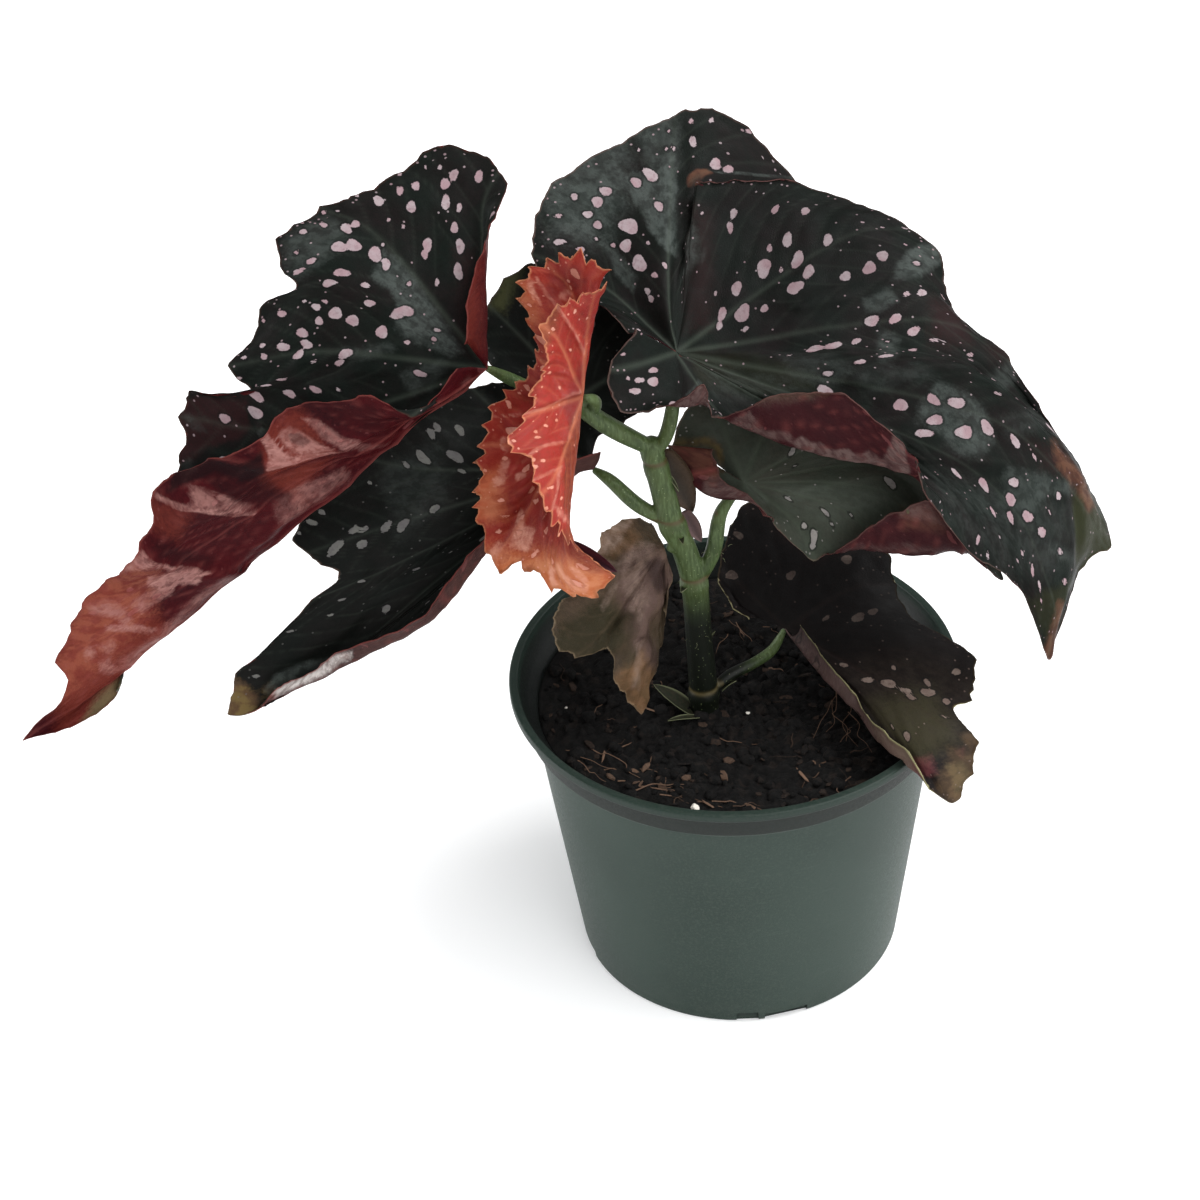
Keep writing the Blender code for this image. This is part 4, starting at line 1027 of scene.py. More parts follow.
def build_blade(leaf, parts, masks, materials):
    """Closed mesh of a blade: a fine upper side, a coarser underside and the margin between."""
    rng = np.random.default_rng(leaf.seed)
    spots = [seen_spot(parts, *spot) for spot in leaf.spots]
    spots = [spot for spot in spots if spot is not None]
    if leaf.density:
        spots = unseen_spots(leaf, parts, masks, spots, rng)
    patches = {kind: patch_fields(leaf, parts, getattr(leaf, kind)) for kind in PATCH_KINDS}
    surfaces = [relief(leaf, part) for part in parts]
    if len(parts) > 1:
        join_fans(surfaces)
    points, faces, sides, seams, values = [], [], [], [], []
    start = 0
    for index, (part, (upper, lower)) in enumerate(zip(parts, surfaces)):
        fine = sheet_numbers(start, *upper.shape[:2])
        coarse = sheet_numbers(start + fine.size, *lower[::COARSE_STEP, ::COARSE_STEP].shape[:2])
        start += fine.size + coarse.size
        top, rest = fan_faces(fine, coarse, leaf.facing < 0, index == 0, index == len(parts) - 1)
        points.append(both_sides(upper, lower))
        faces += top + rest
        sides += [0] * len(top) + [1] * len(rest)
        seams.append((np.concatenate([fine[0], coarse[0]]), np.concatenate([fine[-1], coarse[-1]])))
        fields = {kind: patches[kind][index][0] for kind in PATCH_KINDS}
        fields |= {kind + "_share": patches[kind][index][1] for kind in PATCH_KINDS}
        values.append(blade_values(part, spots, fields, rng))
    mesh = bpy.data.meshes.new(leaf.name + "_blade")
    mesh.from_pydata((np.concatenate(points) * MM).tolist(), [], faces)
    mesh.polygons.foreach_set("use_smooth", [True] * len(faces))
    mesh.polygons.foreach_set("material_index", sides)
    for name in values[0]:
        store(mesh, name, np.concatenate([own[name] for own in values]))
    for material in materials:
        mesh.materials.append(material)
    weld(mesh, seams)
    return add_object(leaf.name + "_blade", mesh, [leaf.name])


# Material helpers
def new_material(name):
    """New material, its node tree and the shader in it."""
    material = bpy.data.materials.new(name)
    material.use_nodes = True
    return material, material.node_tree, material.node_tree.nodes["Principled BSDF"]


def set_inputs(tree, node, inputs):
    """Sets inputs of a node. An input's value is a number, a colour or another node's output."""
    for name, value in inputs.items():
        if isinstance(value, bpy.types.NodeSocket):
            tree.links.new(value, node.inputs[name])
        else:
            node.inputs[name].default_value = value


def add_node(tree, kind, settings=None, inputs=None):
    """New shader node of a kind, with its settings and inputs."""
    node = tree.nodes.new("ShaderNode" + kind)
    for name, value in (settings or {}).items():
        setattr(node, name, value)
    set_inputs(tree, node, inputs or {})
    return node


def set_surface(tree, shader, colour, roughness, specular, normal=None):
    """Gives the shader its colour, gloss and relief."""
    inputs = {"Base Color": colour, "Roughness": roughness, "Specular IOR Level": specular}
    set_inputs(tree, shader, inputs if normal is None else inputs | {"Normal": normal})


def attribute(tree, name, output="Fac"):
    """What store put on the mesh under a name."""
    return add_node(tree, "Attribute", {"attribute_name": name}).outputs[output]


def calculate(tree, operation, first, second=0.0):
    """Result of an operation on numbers or on other nodes' outputs."""
    return add_node(tree, "Math", {"operation": operation}, {0: first, 1: second}).outputs[0]


def multiply(tree, first, second):
    """First times second."""
    return calculate(tree, "MULTIPLY", first, second)


def scale_and_add(tree, value, factor, offset):
    """Value times a factor, plus an offset."""
    inputs = {0: value, 1: factor, 2: offset}
    return add_node(tree, "Math", {"operation": "MULTIPLY_ADD"}, inputs).outputs[0]


def remap(tree, value, low, high, start=0.0, end=1.0):
    """Smooth change from start to end while the value goes from low to high."""
    if low > high:
        low, high, start, end = high, low, end, start
    settings = {"interpolation_type": "SMOOTHSTEP"}
    inputs = {"Value": value, "From Min": low, "From Max": high, "To Min": start, "To Max": end}
    return add_node(tree, "MapRange", settings, inputs).outputs["Result"]


def mix(tree, factor, first, second):
    """Colour between the first, at factor 0, and the second, at factor 1."""
    return add_node(tree, "Mix", {"data_type": "RGBA"}, {0: factor, 6: first, 7: second}).outputs[2]


def paint(tree, colour, mask, strength, paint_colour):
    """Colour with another one laid over it where the mask is, at a strength."""
    return mix(tree, multiply(tree, mask, strength), colour, paint_colour)


def noise_value(tree, place, scale, detail=3.0, roughness=0.5):
    """Cloudy values around 0.5. The scale is per millimetre."""
    inputs = {"Vector": place, "Scale": scale, "Detail": detail, "Roughness": roughness}
    return add_node(tree, "TexNoise", {}, inputs).outputs["Fac"]


def cells(tree, place, scale, feature="F1"):
    """Distance to the centres of scattered cells, or to their edges. The scale is per millimetre."""
    inputs = {"Vector": place, "Scale": scale}
    return add_node(tree, "TexVoronoi", {"feature": feature}, inputs).outputs["Distance"]


def chance_of(tree, voronoi):
    """Random number for each cell, from 0 to 1."""
    return add_node(tree, "SeparateColor", {}, {"Color": voronoi.outputs["Color"]}).outputs[0]


def object_place(tree):
    """Place in millimetres on the object."""
    place = add_node(tree, "TexCoord").outputs["Object"]
    return add_node(tree, "VectorMath", {"operation": "SCALE"}, {0: place, "Scale": 1000.0}).outputs[0]


def stretched_place(tree, place, factors):
    """Place scaled by a factor along each axis."""
    return add_node(tree, "VectorMath", {"operation": "MULTIPLY"}, {0: place, 1: factors}).outputs[0]


def bump(tree, height, strength, distance):
    """Normal of a surface that rises with a height from 0 to 1. The distance is in metres."""
    inputs = {"Height": height, "Strength": strength, "Distance": distance}
    return add_node(tree, "Bump", {}, inputs).outputs["Normal"]


# Noises of a leaf's skin: scale per millimetre, detail and roughness
BROAD_NOISE = (0.045, 4.0, 0.6)
FINE_NOISE = (0.55, 4.0, 0.6)
STREAK_NOISE = (1.0, 4.0, 0.6)
RAGGED_NOISE = (0.9, 3.0, 0.6)
DRY_NOISE = (0.2, 3.0)
BLOTCH_NOISE = (0.24, 3.0, 0.6)
SPOT_EDGE_NOISE = (1.6, 2.0)
SPOT_TONE_NOISE = (0.12, 2.0)
GLOSS_NOISE = (0.2, 3.0)
PORE_NOISE = (3.6, 2.0)
NETWORK_SCALE = 1.3
DOT_SCALE = 0.3
LEAF_BUMP_DISTANCE = 0.00015


def leaf_ground(tree, flat, fine, look):
    """Colour of the skin under its veins and spots, with its red, green and dry patches."""
    ragged = scale_and_add(tree, noise_value(tree, flat, *RAGGED_NOISE), 1.6, -0.8)
    patch = {kind: patch_mask(tree, kind, ragged) for kind in PATCH_KINDS}
    broad = remap(tree, noise_value(tree, flat, *BROAD_NOISE), 0.35, 0.68)
    colour = mix(tree, broad, look["base"], look["tinge"])
    colour = paint(tree, colour, remap(tree, fine, 0.3, 0.75), 0.5, look["mottle"])
    colour = paint(tree, colour, patch["red"], remap(tree, fine, 0.2, 0.6, 0.5, 1.0), look["red"])
    colour = paint(tree, colour, patch["green"], remap(tree, fine, 0.2, 0.5, 0.6, 1.0), look["green"])
    dry = remap(tree, noise_value(tree, flat, *DRY_NOISE), 0.4, 0.6)
    colour = mix(tree, patch["dry"], colour, mix(tree, dry, look["dry"], look["dry_other"]))
    return colour, patch


def leaf_sheen(tree, flat, fine, look):
    """Strength of the painted highlights and pale marks, which breaks up into streaks and blotches."""
    streaks = noise_value(tree, attribute(tree, "polar", "Vector"), *STREAK_NOISE)
    strength = look["sheen_strength"]
    sheen = remap(tree, streaks, 0.3, 0.6, 0.55 * strength, strength)
    sheen = multiply(tree, sheen, remap(tree, fine, 0.25, 0.6, 0.7, 1.0))
    blotches = remap(tree, noise_value(tree, flat, *BLOTCH_NOISE), 0.4, 0.56, 0.5, 1.0)
    return multiply(tree, sheen, blotches)


def leaf_material(name, look):
    """Skin of a blade with patches, veins, spots and a fine network of cells. Some patches are painted
    highlights and painted shade.
    """
    material, tree, shader = new_material(name)
    flat = attribute(tree, "flat", "Vector")
    margin = attribute(tree, "margin")
    fine = noise_value(tree, flat, *FINE_NOISE)
    colour, patch = leaf_ground(tree, flat, fine, look)
    sheen = leaf_sheen(tree, flat, fine, look)
    # Painted highlights, with pale marks on the orange leaf
    colour = paint(tree, colour, sheen, patch["sheen"], look["sheen"])
    colour = paint(tree, colour, attribute(tree, "side_vein"), look["side_vein_strength"], look["vein"])
    colour = paint(tree, colour, attribute(tree, "vein"), look["vein_strength"], look["vein"])
    wander = scale_and_add(tree, noise_value(tree, flat, *SPOT_EDGE_NOISE), 0.5, -0.25)
    spot = calculate(tree, "ADD", attribute(tree, "spot"), wander)
    ring = remap(tree, calculate(tree, "ABSOLUTE", calculate(tree, "SUBTRACT", spot, 0.3)), 0.45, 0.1)
    colour = paint(tree, colour, ring, look["ring_strength"], look["ring"])
    inside = remap(tree, spot, 0.12, -0.12)
    tone = remap(tree, noise_value(tree, flat, *SPOT_TONE_NOISE), 0.35, 0.65)
    spot_colour = mix(tree, tone, look["spot"], look["spot_other"])
    spot_colour = mix(tree, remap(tree, fine, 0.45, 0.8), spot_colour, look["spot_shade"])
    dots = multiply(tree, dot_mask(tree, flat, margin), look["dot_strength"])
    covered = calculate(tree, "MAXIMUM", multiply(tree, inside, look["spot_strength"]), dots)
    colour = mix(tree, covered, colour, spot_colour)
    colour = paint(tree, colour, remap(tree, margin, 0.9, 0.1), look["edge_strength"], look["edge"])
    # Painted shade where the dark patches lie
    colour = mix(tree, patch["dark"], colour, look["dark"])
    gloss = noise_value(tree, flat, *GLOSS_NOISE)
    rough = remap(tree, gloss, 0.3, 0.7, look["roughness"] - 0.06, look["roughness"] + 0.08)
    rough = calculate(tree, "ADD", rough, multiply(tree, inside, 0.08))
    network = remap(tree, cells(tree, flat, NETWORK_SCALE, "DISTANCE_TO_EDGE"), 0.0, 0.3)
    height = calculate(tree, "ADD", network, multiply(tree, noise_value(tree, flat, *PORE_NOISE), 0.5))
    height = calculate(tree, "ADD", height, multiply(tree, inside, 0.35))
    normal = bump(tree, height, look["bump"], LEAF_BUMP_DISTANCE)
    set_surface(tree, shader, colour, rough, look["specular"], normal)
    return material


def patch_mask(tree, kind, ragged):
    """How far patches of a kind cover the blade, with ragged edges."""
    depth = calculate(tree, "ADD", attribute(tree, kind), ragged)
    return multiply(tree, remap(tree, depth, -1.0, 1.0), attribute(tree, kind + "_share"))


def dot_mask(tree, flat, margin):
    """Tiny dots: a row of them just inside the margin and a few scattered over the blade."""
    inputs = {"Vector": flat, "Scale": DOT_SCALE}
    voronoi = add_node(tree, "TexVoronoi", {"voronoi_dimensions": "2D"}, inputs)
    small = remap(tree, voronoi.outputs["Distance"], 0.14, 0.08)
    near_edge = multiply(tree, remap(tree, margin, 4.4, 3.4), remap(tree, margin, 0.8, 1.4))
    share = scale_and_add(tree, near_edge, 0.55, 0.1)
    return multiply(tree, small, calculate(tree, "LESS_THAN", chance_of(tree, voronoi), share))


# Looks of the leaves' two sides, the colours as read from the photograph. In each look the
# highlight colour and its strength paint highlights, and pale marks on the orange leaf, and the dark
# colour paints shade.
DARK_TOP = {
    "base": srgb(18, 23, 20), "tinge": srgb(23, 19, 19), "mottle": srgb(12, 15, 13),
    "red": srgb(40, 22, 23), "green": srgb(58, 60, 38), "vein": srgb(72, 80, 71), "vein_strength": 0.34,
    "side_vein_strength": 0.08, "spot": srgb(150, 137, 140), "spot_other": srgb(142, 118, 123),
    "spot_shade": srgb(126, 104, 109), "spot_strength": 1.0, "dot_strength": 0.7, "ring": srgb(18, 18, 18),
    "ring_strength": 0.55, "edge": srgb(66, 44, 38), "edge_strength": 0.5, "dry": srgb(92, 76, 46),
    "dry_other": srgb(72, 54, 38), "sheen": srgb(74, 80, 77), "sheen_strength": 0.78, "dark": srgb(9, 9, 9),
    "roughness": 0.44, "specular": 0.04, "bump": 0.25,
}
MAROON_UNDER = DARK_TOP | {
    "base": srgb(52, 10, 14), "tinge": srgb(36, 8, 12), "mottle": srgb(64, 18, 20), "red": srgb(92, 38, 30),
    "green": srgb(92, 84, 60), "vein": srgb(118, 62, 58), "vein_strength": 0.6, "side_vein_strength": 0.25,
    "spot": srgb(150, 92, 92), "spot_other": srgb(140, 80, 80), "spot_shade": srgb(120, 60, 62),
    "spot_strength": 0.22, "dot_strength": 0.1, "ring": srgb(60, 18, 22), "ring_strength": 0.1,
    "edge": srgb(110, 56, 52), "edge_strength": 0.6, "dry": srgb(150, 86, 66),
    "dry_other": srgb(122, 58, 48), "sheen": srgb(154, 112, 106), "sheen_strength": 0.9,
    "dark": srgb(18, 9, 11), "roughness": 0.4, "specular": 0.02, "bump": 0.3,
}
UNDER_TOP = DARK_TOP | {
    "base": srgb(54, 59, 51), "tinge": srgb(58, 58, 51), "mottle": srgb(44, 48, 41),
    "spot": srgb(132, 128, 124), "spot_other": srgb(120, 116, 114), "spot_shade": srgb(104, 100, 98),
    "vein": srgb(66, 74, 62), "edge": srgb(104, 90, 78), "sheen": srgb(76, 82, 74),
}
GREY_TOP = DARK_TOP | {
    "base": srgb(15, 18, 16), "tinge": srgb(19, 18, 17), "spot": srgb(96, 96, 92),
    "spot_other": srgb(88, 86, 86), "spot_shade": srgb(74, 72, 72), "dot_strength": 0.4,
    "edge": srgb(84, 70, 60), "roughness": 0.46, "specular": 0.05,
}
LARGE_TOP = DARK_TOP | {
    "dry": srgb(86, 58, 44), "dry_other": srgb(68, 42, 34), "edge": srgb(96, 76, 70),
    "green": srgb(40, 42, 25),
}
DUSKY_UNDER = MAROON_UNDER | {
    "base": srgb(48, 20, 23), "tinge": srgb(38, 18, 21), "mottle": srgb(54, 28, 29),
    "sheen": srgb(92, 75, 72), "sheen_strength": 0.95, "edge": srgb(92, 66, 62), "dry": srgb(84, 54, 44),
    "dry_other": srgb(68, 42, 36),
}
GREY_UNDER = MAROON_UNDER | {
    "base": srgb(62, 42, 40), "tinge": srgb(48, 33, 33), "mottle": srgb(74, 52, 48),
    "sheen": srgb(186, 180, 176), "sheen_strength": 0.95,
}
BROWN_TOP = DARK_TOP | {
    "base": srgb(17, 12, 12), "tinge": srgb(13, 10, 10), "mottle": srgb(22, 17, 15),
    "red": srgb(84, 44, 46), "vein": srgb(50, 38, 34), "vein_strength": 0.3, "spot": srgb(120, 106, 98),
    "spot_other": srgb(104, 88, 82), "spot_shade": srgb(84, 68, 62), "spot_strength": 0.85,
    "dot_strength": 0.5, "edge": srgb(90, 76, 56), "dry": srgb(84, 66, 46), "dry_other": srgb(62, 48, 34),
    "green": srgb(74, 72, 48), "sheen": srgb(48, 42, 36), "roughness": 0.5, "specular": 0.08,
}
BROWN_UNDER = BROWN_TOP | {
    "base": srgb(84, 64, 62), "tinge": srgb(68, 50, 49), "mottle": srgb(96, 78, 72),
    "edge": srgb(134, 130, 96), "edge_strength": 0.9, "spot_strength": 0.1, "dot_strength": 0.1,
    "vein": srgb(92, 78, 72),
}
ORANGE_TOP = DARK_TOP | {
    "base": srgb(110, 48, 32), "tinge": srgb(94, 34, 25), "mottle": srgb(132, 66, 42),
    "red": srgb(134, 38, 32), "vein": srgb(176, 104, 76), "vein_strength": 0.6, "side_vein_strength": 0.16,
    "spot": srgb(194, 136, 120), "spot_other": srgb(184, 120, 100), "spot_shade": srgb(170, 98, 74),
    "spot_strength": 0.9, "dot_strength": 0.8, "ring": srgb(120, 40, 26), "ring_strength": 0.3,
    "edge": srgb(182, 122, 88), "edge_strength": 0.6, "dry": srgb(170, 96, 56),
    "dry_other": srgb(184, 118, 80), "green": srgb(150, 96, 52), "sheen": srgb(204, 150, 130),
    "sheen_strength": 0.8, "dark": srgb(52, 16, 24), "roughness": 0.4, "specular": 0.12, "bump": 0.4,
}
ORANGE_UNDER = ORANGE_TOP | {
    "base": srgb(124, 34, 26), "tinge": srgb(108, 26, 22), "mottle": srgb(140, 50, 36),
    "spot_strength": 0.85, "dot_strength": 0.5,
}
WITHERED_SKIN = DARK_TOP | {
    "base": srgb(58, 49, 36), "tinge": srgb(74, 60, 48), "mottle": srgb(44, 37, 27),
    "red": srgb(82, 64, 59), "green": srgb(40, 37, 23), "sheen": srgb(146, 126, 114),
    "sheen_strength": 0.85, "dark": srgb(36, 25, 24), "vein": srgb(92, 76, 60), "vein_strength": 0.25,
    "side_vein_strength": 0.12, "spot_strength": 0.0, "dot_strength": 0.0, "ring_strength": 0.0,
    "edge": srgb(122, 106, 84), "dry": srgb(112, 84, 60), "dry_other": srgb(92, 70, 48), "roughness": 0.55,
    "specular": 0.1, "bump": 0.8,
}


def leaf(name, attachment, ribs, **values):
    """What one leaf is built from, with the usual values where none is given."""
    usual = dict(
        rows=60, spacing=1.3, facing=-1.0, side_spacing=11.0, swell=0.16, wave=1.0, wave_size=26.0,
        edge_wave=0.5, teeth=((8.0, 0.8, 2.0), (2.4, 0.3, 1.6)), spots=(), density=0.0, dry=(), green=(),
        red=(), sheen=(), dark=(), creases=(), rolls=(), calm=130, slot="leaf_dark", top=DARK_TOP,
        under=MAROON_UNDER, seed=1, ribs_behind=(), veins_behind=(),
    )
    return SimpleNamespace(name=name, attachment=attachment, ribs=ribs, **(usual | values))


# Teeth of a margin, coarse to fine: spacing, depth and roundness
ORANGE_TEETH = ((8.5, 4.6, 2.2), (3.6, 1.4, 1.6), (1.6, 0.4, 1.4))
WITHERED_TEETH = ((7.0, 1.6, 1.5), (2.2, 0.8, 1.3))
# Veins are places between the ribs, and rolls are first rib, last rib, width and turn. A patch (dry,
# green, red, highlight or dark) is its strength, the width of its soft edge in pixels and its outline,
# and a crease is its height in millimetres, its width on the left and on the right in pixels and its
# route. Highlight patches are painted highlights, with pale marks on the orange leaf, and dark patches
# are painted shade.
# Outlines and routes are pixels of the photograph, x and y in turn, read off it.
LARGE_LEAF = leaf(
    "leaf_large", LARGE_ATTACHMENT, LARGE_RIBS, rows=104, spacing=1.5, seed=11, calm=220,
    veins=(1.5, 7.5, 13, 17, 19.7, 22.7, 25.6), spots=LARGE_SPOTS, density=0.0045, top=LARGE_TOP,
    under=DUSKY_UNDER, rolls=((27.6, 30.6, 2.4, 150.0),),
    # Painted shade over the blade's upper middle
    dark=((0.32, 24, 700, 185, 870, 200, 905, 260, 860, 340, 740, 352, 694, 300),),
    ribs_behind=LARGE_RIBS_BEHIND, veins_behind=(5.2, 10),
    dry=(
        (1.0, 1.6, 687, 182, 689, 175, 697, 170, 707, 170, 714, 173, 704, 177, 700, 183, 692, 187, 688,
         186),
        (0.7, 4, 1046, 635, 1060, 600, 1068, 620, 1054, 668, 1044, 660),
        (0.8, 5, 1050, 440, 1062, 452, 1085, 480, 1098, 505, 1090, 512, 1072, 486, 1056, 462),
    ),
    green=(
        # Painted light: the flap shows olive where light shines through it
        (0.75, 3, 1074, 484, 1094, 492, 1116, 545, 1095, 572, 1079, 578, 1074, 520),
        (0.5, 6, 1030, 600, 1060, 585, 1072, 575, 1062, 625, 1048, 650),
        (0.3, 8, 690, 352, 745, 356, 800, 368, 830, 392, 760, 400, 700, 385),
    ),
    red=(
        (0.5, 12, 690, 205, 712, 215, 712, 330, 690, 330),
        (0.6, 12, 930, 300, 960, 300, 975, 345, 930, 345),
        (0.5, 10, 985, 340, 1010, 345, 1010, 362, 990, 360),
        (0.5, 10, 1030, 440, 1060, 450, 1062, 475, 1040, 470),
    ),
    # Painted highlights on the blade and its curled margin, and a pale line along the torn margin
    sheen=(
        (0.9, 3, 624, 176, 660, 172, 677, 148, 677, 257, 660, 246, 641, 214, 630, 194),
        (0.6, 12, 630, 125, 677, 106, 677, 165, 650, 170),
        (0.85, 20, 548, 175, 620, 130, 630, 185, 605, 245, 554, 235),
        (0.3, 14, 925, 470, 1065, 510, 1060, 575, 1010, 570, 950, 520),
        (0.7, 4, 592, 236, 615, 250, 637, 276, 634, 292, 622, 282, 606, 258),
        (0.45, 5, 688, 212, 699, 232, 703, 256, 690, 266, 682, 280, 685, 250),
        (0.35, 8, 700, 365, 750, 372, 800, 380, 818, 396, 770, 404, 715, 396),
        (0.4, 8, 780, 352, 830, 356, 852, 370, 830, 387, 790, 380),
        (0.9, 4, 913, 248, 937, 243, 941, 262, 918, 278, 891, 282, 895, 268),
        (0.75, 4, 863, 298, 890, 291, 896, 301, 880, 313, 865, 311),
        (0.6, 5, 880, 333, 897, 331, 898, 350, 887, 370, 878, 353),
        (0.8, 6, 942, 380, 960, 390, 977, 403, 988, 424, 994, 442, 980, 458, 958, 454, 938, 432, 918, 420,
         922, 402),
        (0.45, 6, 990, 377, 1010, 362, 1024, 377, 1002, 390),
        (0.35, 8, 1002, 416, 1046, 405, 1052, 422, 1008, 438),
        (0.6, 5, 1005, 466, 1035, 472, 1072, 484, 1073, 492, 1042, 496, 1034, 516, 1018, 518, 1004, 498),
        (0.6, 6, 1032, 520, 1062, 545, 1074, 562, 1050, 560, 1034, 546),
        (1.0, 2, 790, 442, 803, 436, 812, 444, 822, 442, 832, 451, 846, 447, 858, 456, 868, 450, 882, 458,
         890, 444, 893, 431, 904, 441, 912, 482, 890, 475, 850, 468, 805, 455),
        (0.8, 2.5, 733, 420, 748, 410, 757, 420, 765, 430, 790, 431, 790, 441, 752, 438, 728, 430),
        (0.9, 2, 652, 426, 672, 408, 688, 394, 698, 380, 708, 392, 708, 418, 700, 422, 668, 426),
        (0.9, 0.8, 707, 171, 722, 171, 740, 172, 760, 174, 797, 177, 805, 178, 797, 180, 760, 177, 740, 175,
         722, 174),
        (0.3, 8, 850, 372, 920, 366, 935, 378, 870, 392),
    ),
    creases=(
        (-1.3, 14, 6, 678, 140, 677, 200, 677, 260, 675, 345),
        (1.2, 5, 18, 1072, 483, 1035, 474, 1000, 466, 950, 458, 895, 459),
        (1.0, 5, 14, 942, 262, 900, 284, 850, 299, 800, 309), (0.9, 5, 16, 1010, 358, 950, 372, 860, 383),
        (-1.4, 5, 6, 1072, 478, 1078, 520, 1080, 580), (0.8, 8, 8, 690, 205, 702, 255, 683, 285, 678, 340),
        (0.9, 5, 12, 1060, 540, 1000, 520, 940, 500),
    ),
)
FOLDED_LEAF = leaf(
    "leaf_folded", FOLDED_ATTACHMENT, FOLDED_RIBS, rows=116, spacing=1.5, seed=23, wave=1.4, wave_size=20.0,
    veins=(4.6, 8, 14, 18, 24, 27, 30.2, 35), spots=FOLDED_SPOTS, density=0.004, slot="leaf_maroon",
    teeth=((13.0, 1.8, 1.6), (5.0, 0.7, 1.3), (2.2, 0.3, 1.5)),
    green=((0.7, 4, 74, 728, 90, 710, 104, 690, 122, 676, 120, 702, 104, 716, 84, 732),),
    dry=(
        (0.4, 14, 98, 566, 128, 548, 160, 572, 150, 610, 118, 650, 72, 690, 54, 700, 58, 650),
    ),
    red=(
        (0.85, 4, 174, 397, 246, 400, 250, 425, 238, 440, 207, 448, 180, 466, 166, 440),
        (0.9, 14, 50, 660, 90, 570, 140, 600, 175, 630, 110, 690, 60, 740),
        (0.8, 10, 262, 428, 300, 405, 330, 450, 300, 500, 262, 480),
        (0.6, 10, 150, 490, 190, 512, 180, 540, 150, 530),
        (0.6, 12, 455, 250, 480, 250, 480, 350, 462, 350),
    ),
    # Painted highlights along the folds of the underside and on the upper side
    sheen=(
        (0.95, 1.5, 256, 431, 264, 426, 271, 438, 284, 452, 300, 455, 333, 448, 346, 447, 300, 459, 266,
         469, 264, 462, 270, 456, 262, 442),
        (0.75, 2.5, 276, 432, 290, 426, 304, 434, 320, 442, 330, 447, 303, 453, 286, 447),
        (0.6, 2.5, 300, 414, 318, 420, 340, 434, 362, 441, 388, 440, 360, 445, 338, 444, 318, 432),
        (0.9, 1.6, 150, 484, 168, 497, 188, 504, 215, 507, 252, 508, 252, 512, 208, 511, 178, 508, 158,
         498),
        (0.6, 3, 186, 486, 206, 490, 222, 506, 196, 505), (0.6, 3, 210, 491, 232, 496, 254, 505, 226, 507),
        (0.9, 1.5, 137, 544, 152, 556, 168, 563, 210, 567, 208, 570, 166, 568, 148, 560),
        (0.8, 4, 98, 566, 125, 551, 138, 552, 152, 563, 122, 567, 106, 572),
        (0.9, 2, 145, 576, 178, 568, 199, 571, 202, 584, 190, 581, 174, 583, 173, 592, 158, 588, 150, 588),
        (0.7, 4, 130, 604, 158, 588, 172, 592, 150, 604, 138, 612),
        (0.6, 4, 88, 606, 106, 600, 126, 611, 130, 623, 110, 617, 94, 616),
        (0.8, 2, 100, 626, 130, 623, 162, 627, 134, 631, 106, 630),
        (0.6, 4, 84, 648, 92, 644, 98, 655, 88, 658), (0.6, 4, 102, 644, 112, 641, 116, 650, 106, 653),
        (0.6, 4, 100, 664, 110, 660, 112, 670, 102, 674),
        (0.5, 5, 116, 664, 130, 668, 160, 640, 190, 612, 232, 575, 226, 570, 178, 610, 140, 646),
        (0.45, 6, 272, 506, 300, 488, 345, 470, 350, 478, 310, 500, 282, 520),
        (0.4, 6, 180, 412, 195, 420, 203, 432, 190, 430), (0.4, 5, 180, 468, 190, 458, 195, 470, 184, 480),
        (0.5, 4, 375, 462, 430, 420, 470, 378, 474, 386, 430, 432, 385, 470),
        (0.9, 5, 382, 250, 402, 262, 430, 300, 462, 352, 452, 356, 420, 342, 392, 326, 398, 300, 372, 276),
        (0.6, 8, 288, 236, 330, 215, 348, 240, 322, 262, 300, 280, 284, 262),
        (0.5, 6, 340, 350, 390, 344, 398, 350, 352, 362),
        (0.5, 5, 400, 375, 440, 360, 450, 362, 430, 388, 408, 396),
    ),
    # Painted shade in the hollows of the folds
    dark=(
        (0.5, 2, 287, 433, 300, 434, 310, 440, 303, 447, 291, 443),
        (0.85, 3, 165, 491, 179, 466, 207, 457, 240, 462, 262, 448, 264, 470, 256, 488, 236, 486, 207, 478),
        (0.35, 5, 282, 402, 300, 400, 330, 398, 372, 404, 392, 430, 360, 436, 330, 424, 306, 412),
        (0.5, 5, 205, 455, 262, 470, 290, 500, 250, 504, 215, 488, 196, 470),
        (0.5, 5, 145, 540, 215, 556, 212, 564, 168, 560),
    ),
    creases=(
        (1.8, 5, 16, 385, 444, 345, 450, 300, 459, 262, 467),
        (1.6, 5, 15, 148, 484, 185, 504, 215, 508, 255, 509, 290, 504),
        (1.9, 4, 16, 136, 544, 150, 556, 170, 565, 210, 568, 235, 566),
        (0.9, 4, 8, 96, 628, 130, 625, 165, 628),
        (1.1, 7, 7, 345, 478, 290, 508, 230, 562, 180, 606, 125, 660),
        (0.9, 5, 6, 264, 425, 276, 446, 292, 459), (0.9, 5, 6, 300, 418, 322, 438, 350, 448),
        (0.6, 4, 5, 180, 455, 206, 452, 238, 461), (0.9, 5, 6, 162, 477, 178, 491, 205, 501),
        (-0.9, 8, 8, 283, 440, 305, 440), (1.0, 6, 10, 300, 360, 350, 352, 400, 345),
    ),
)
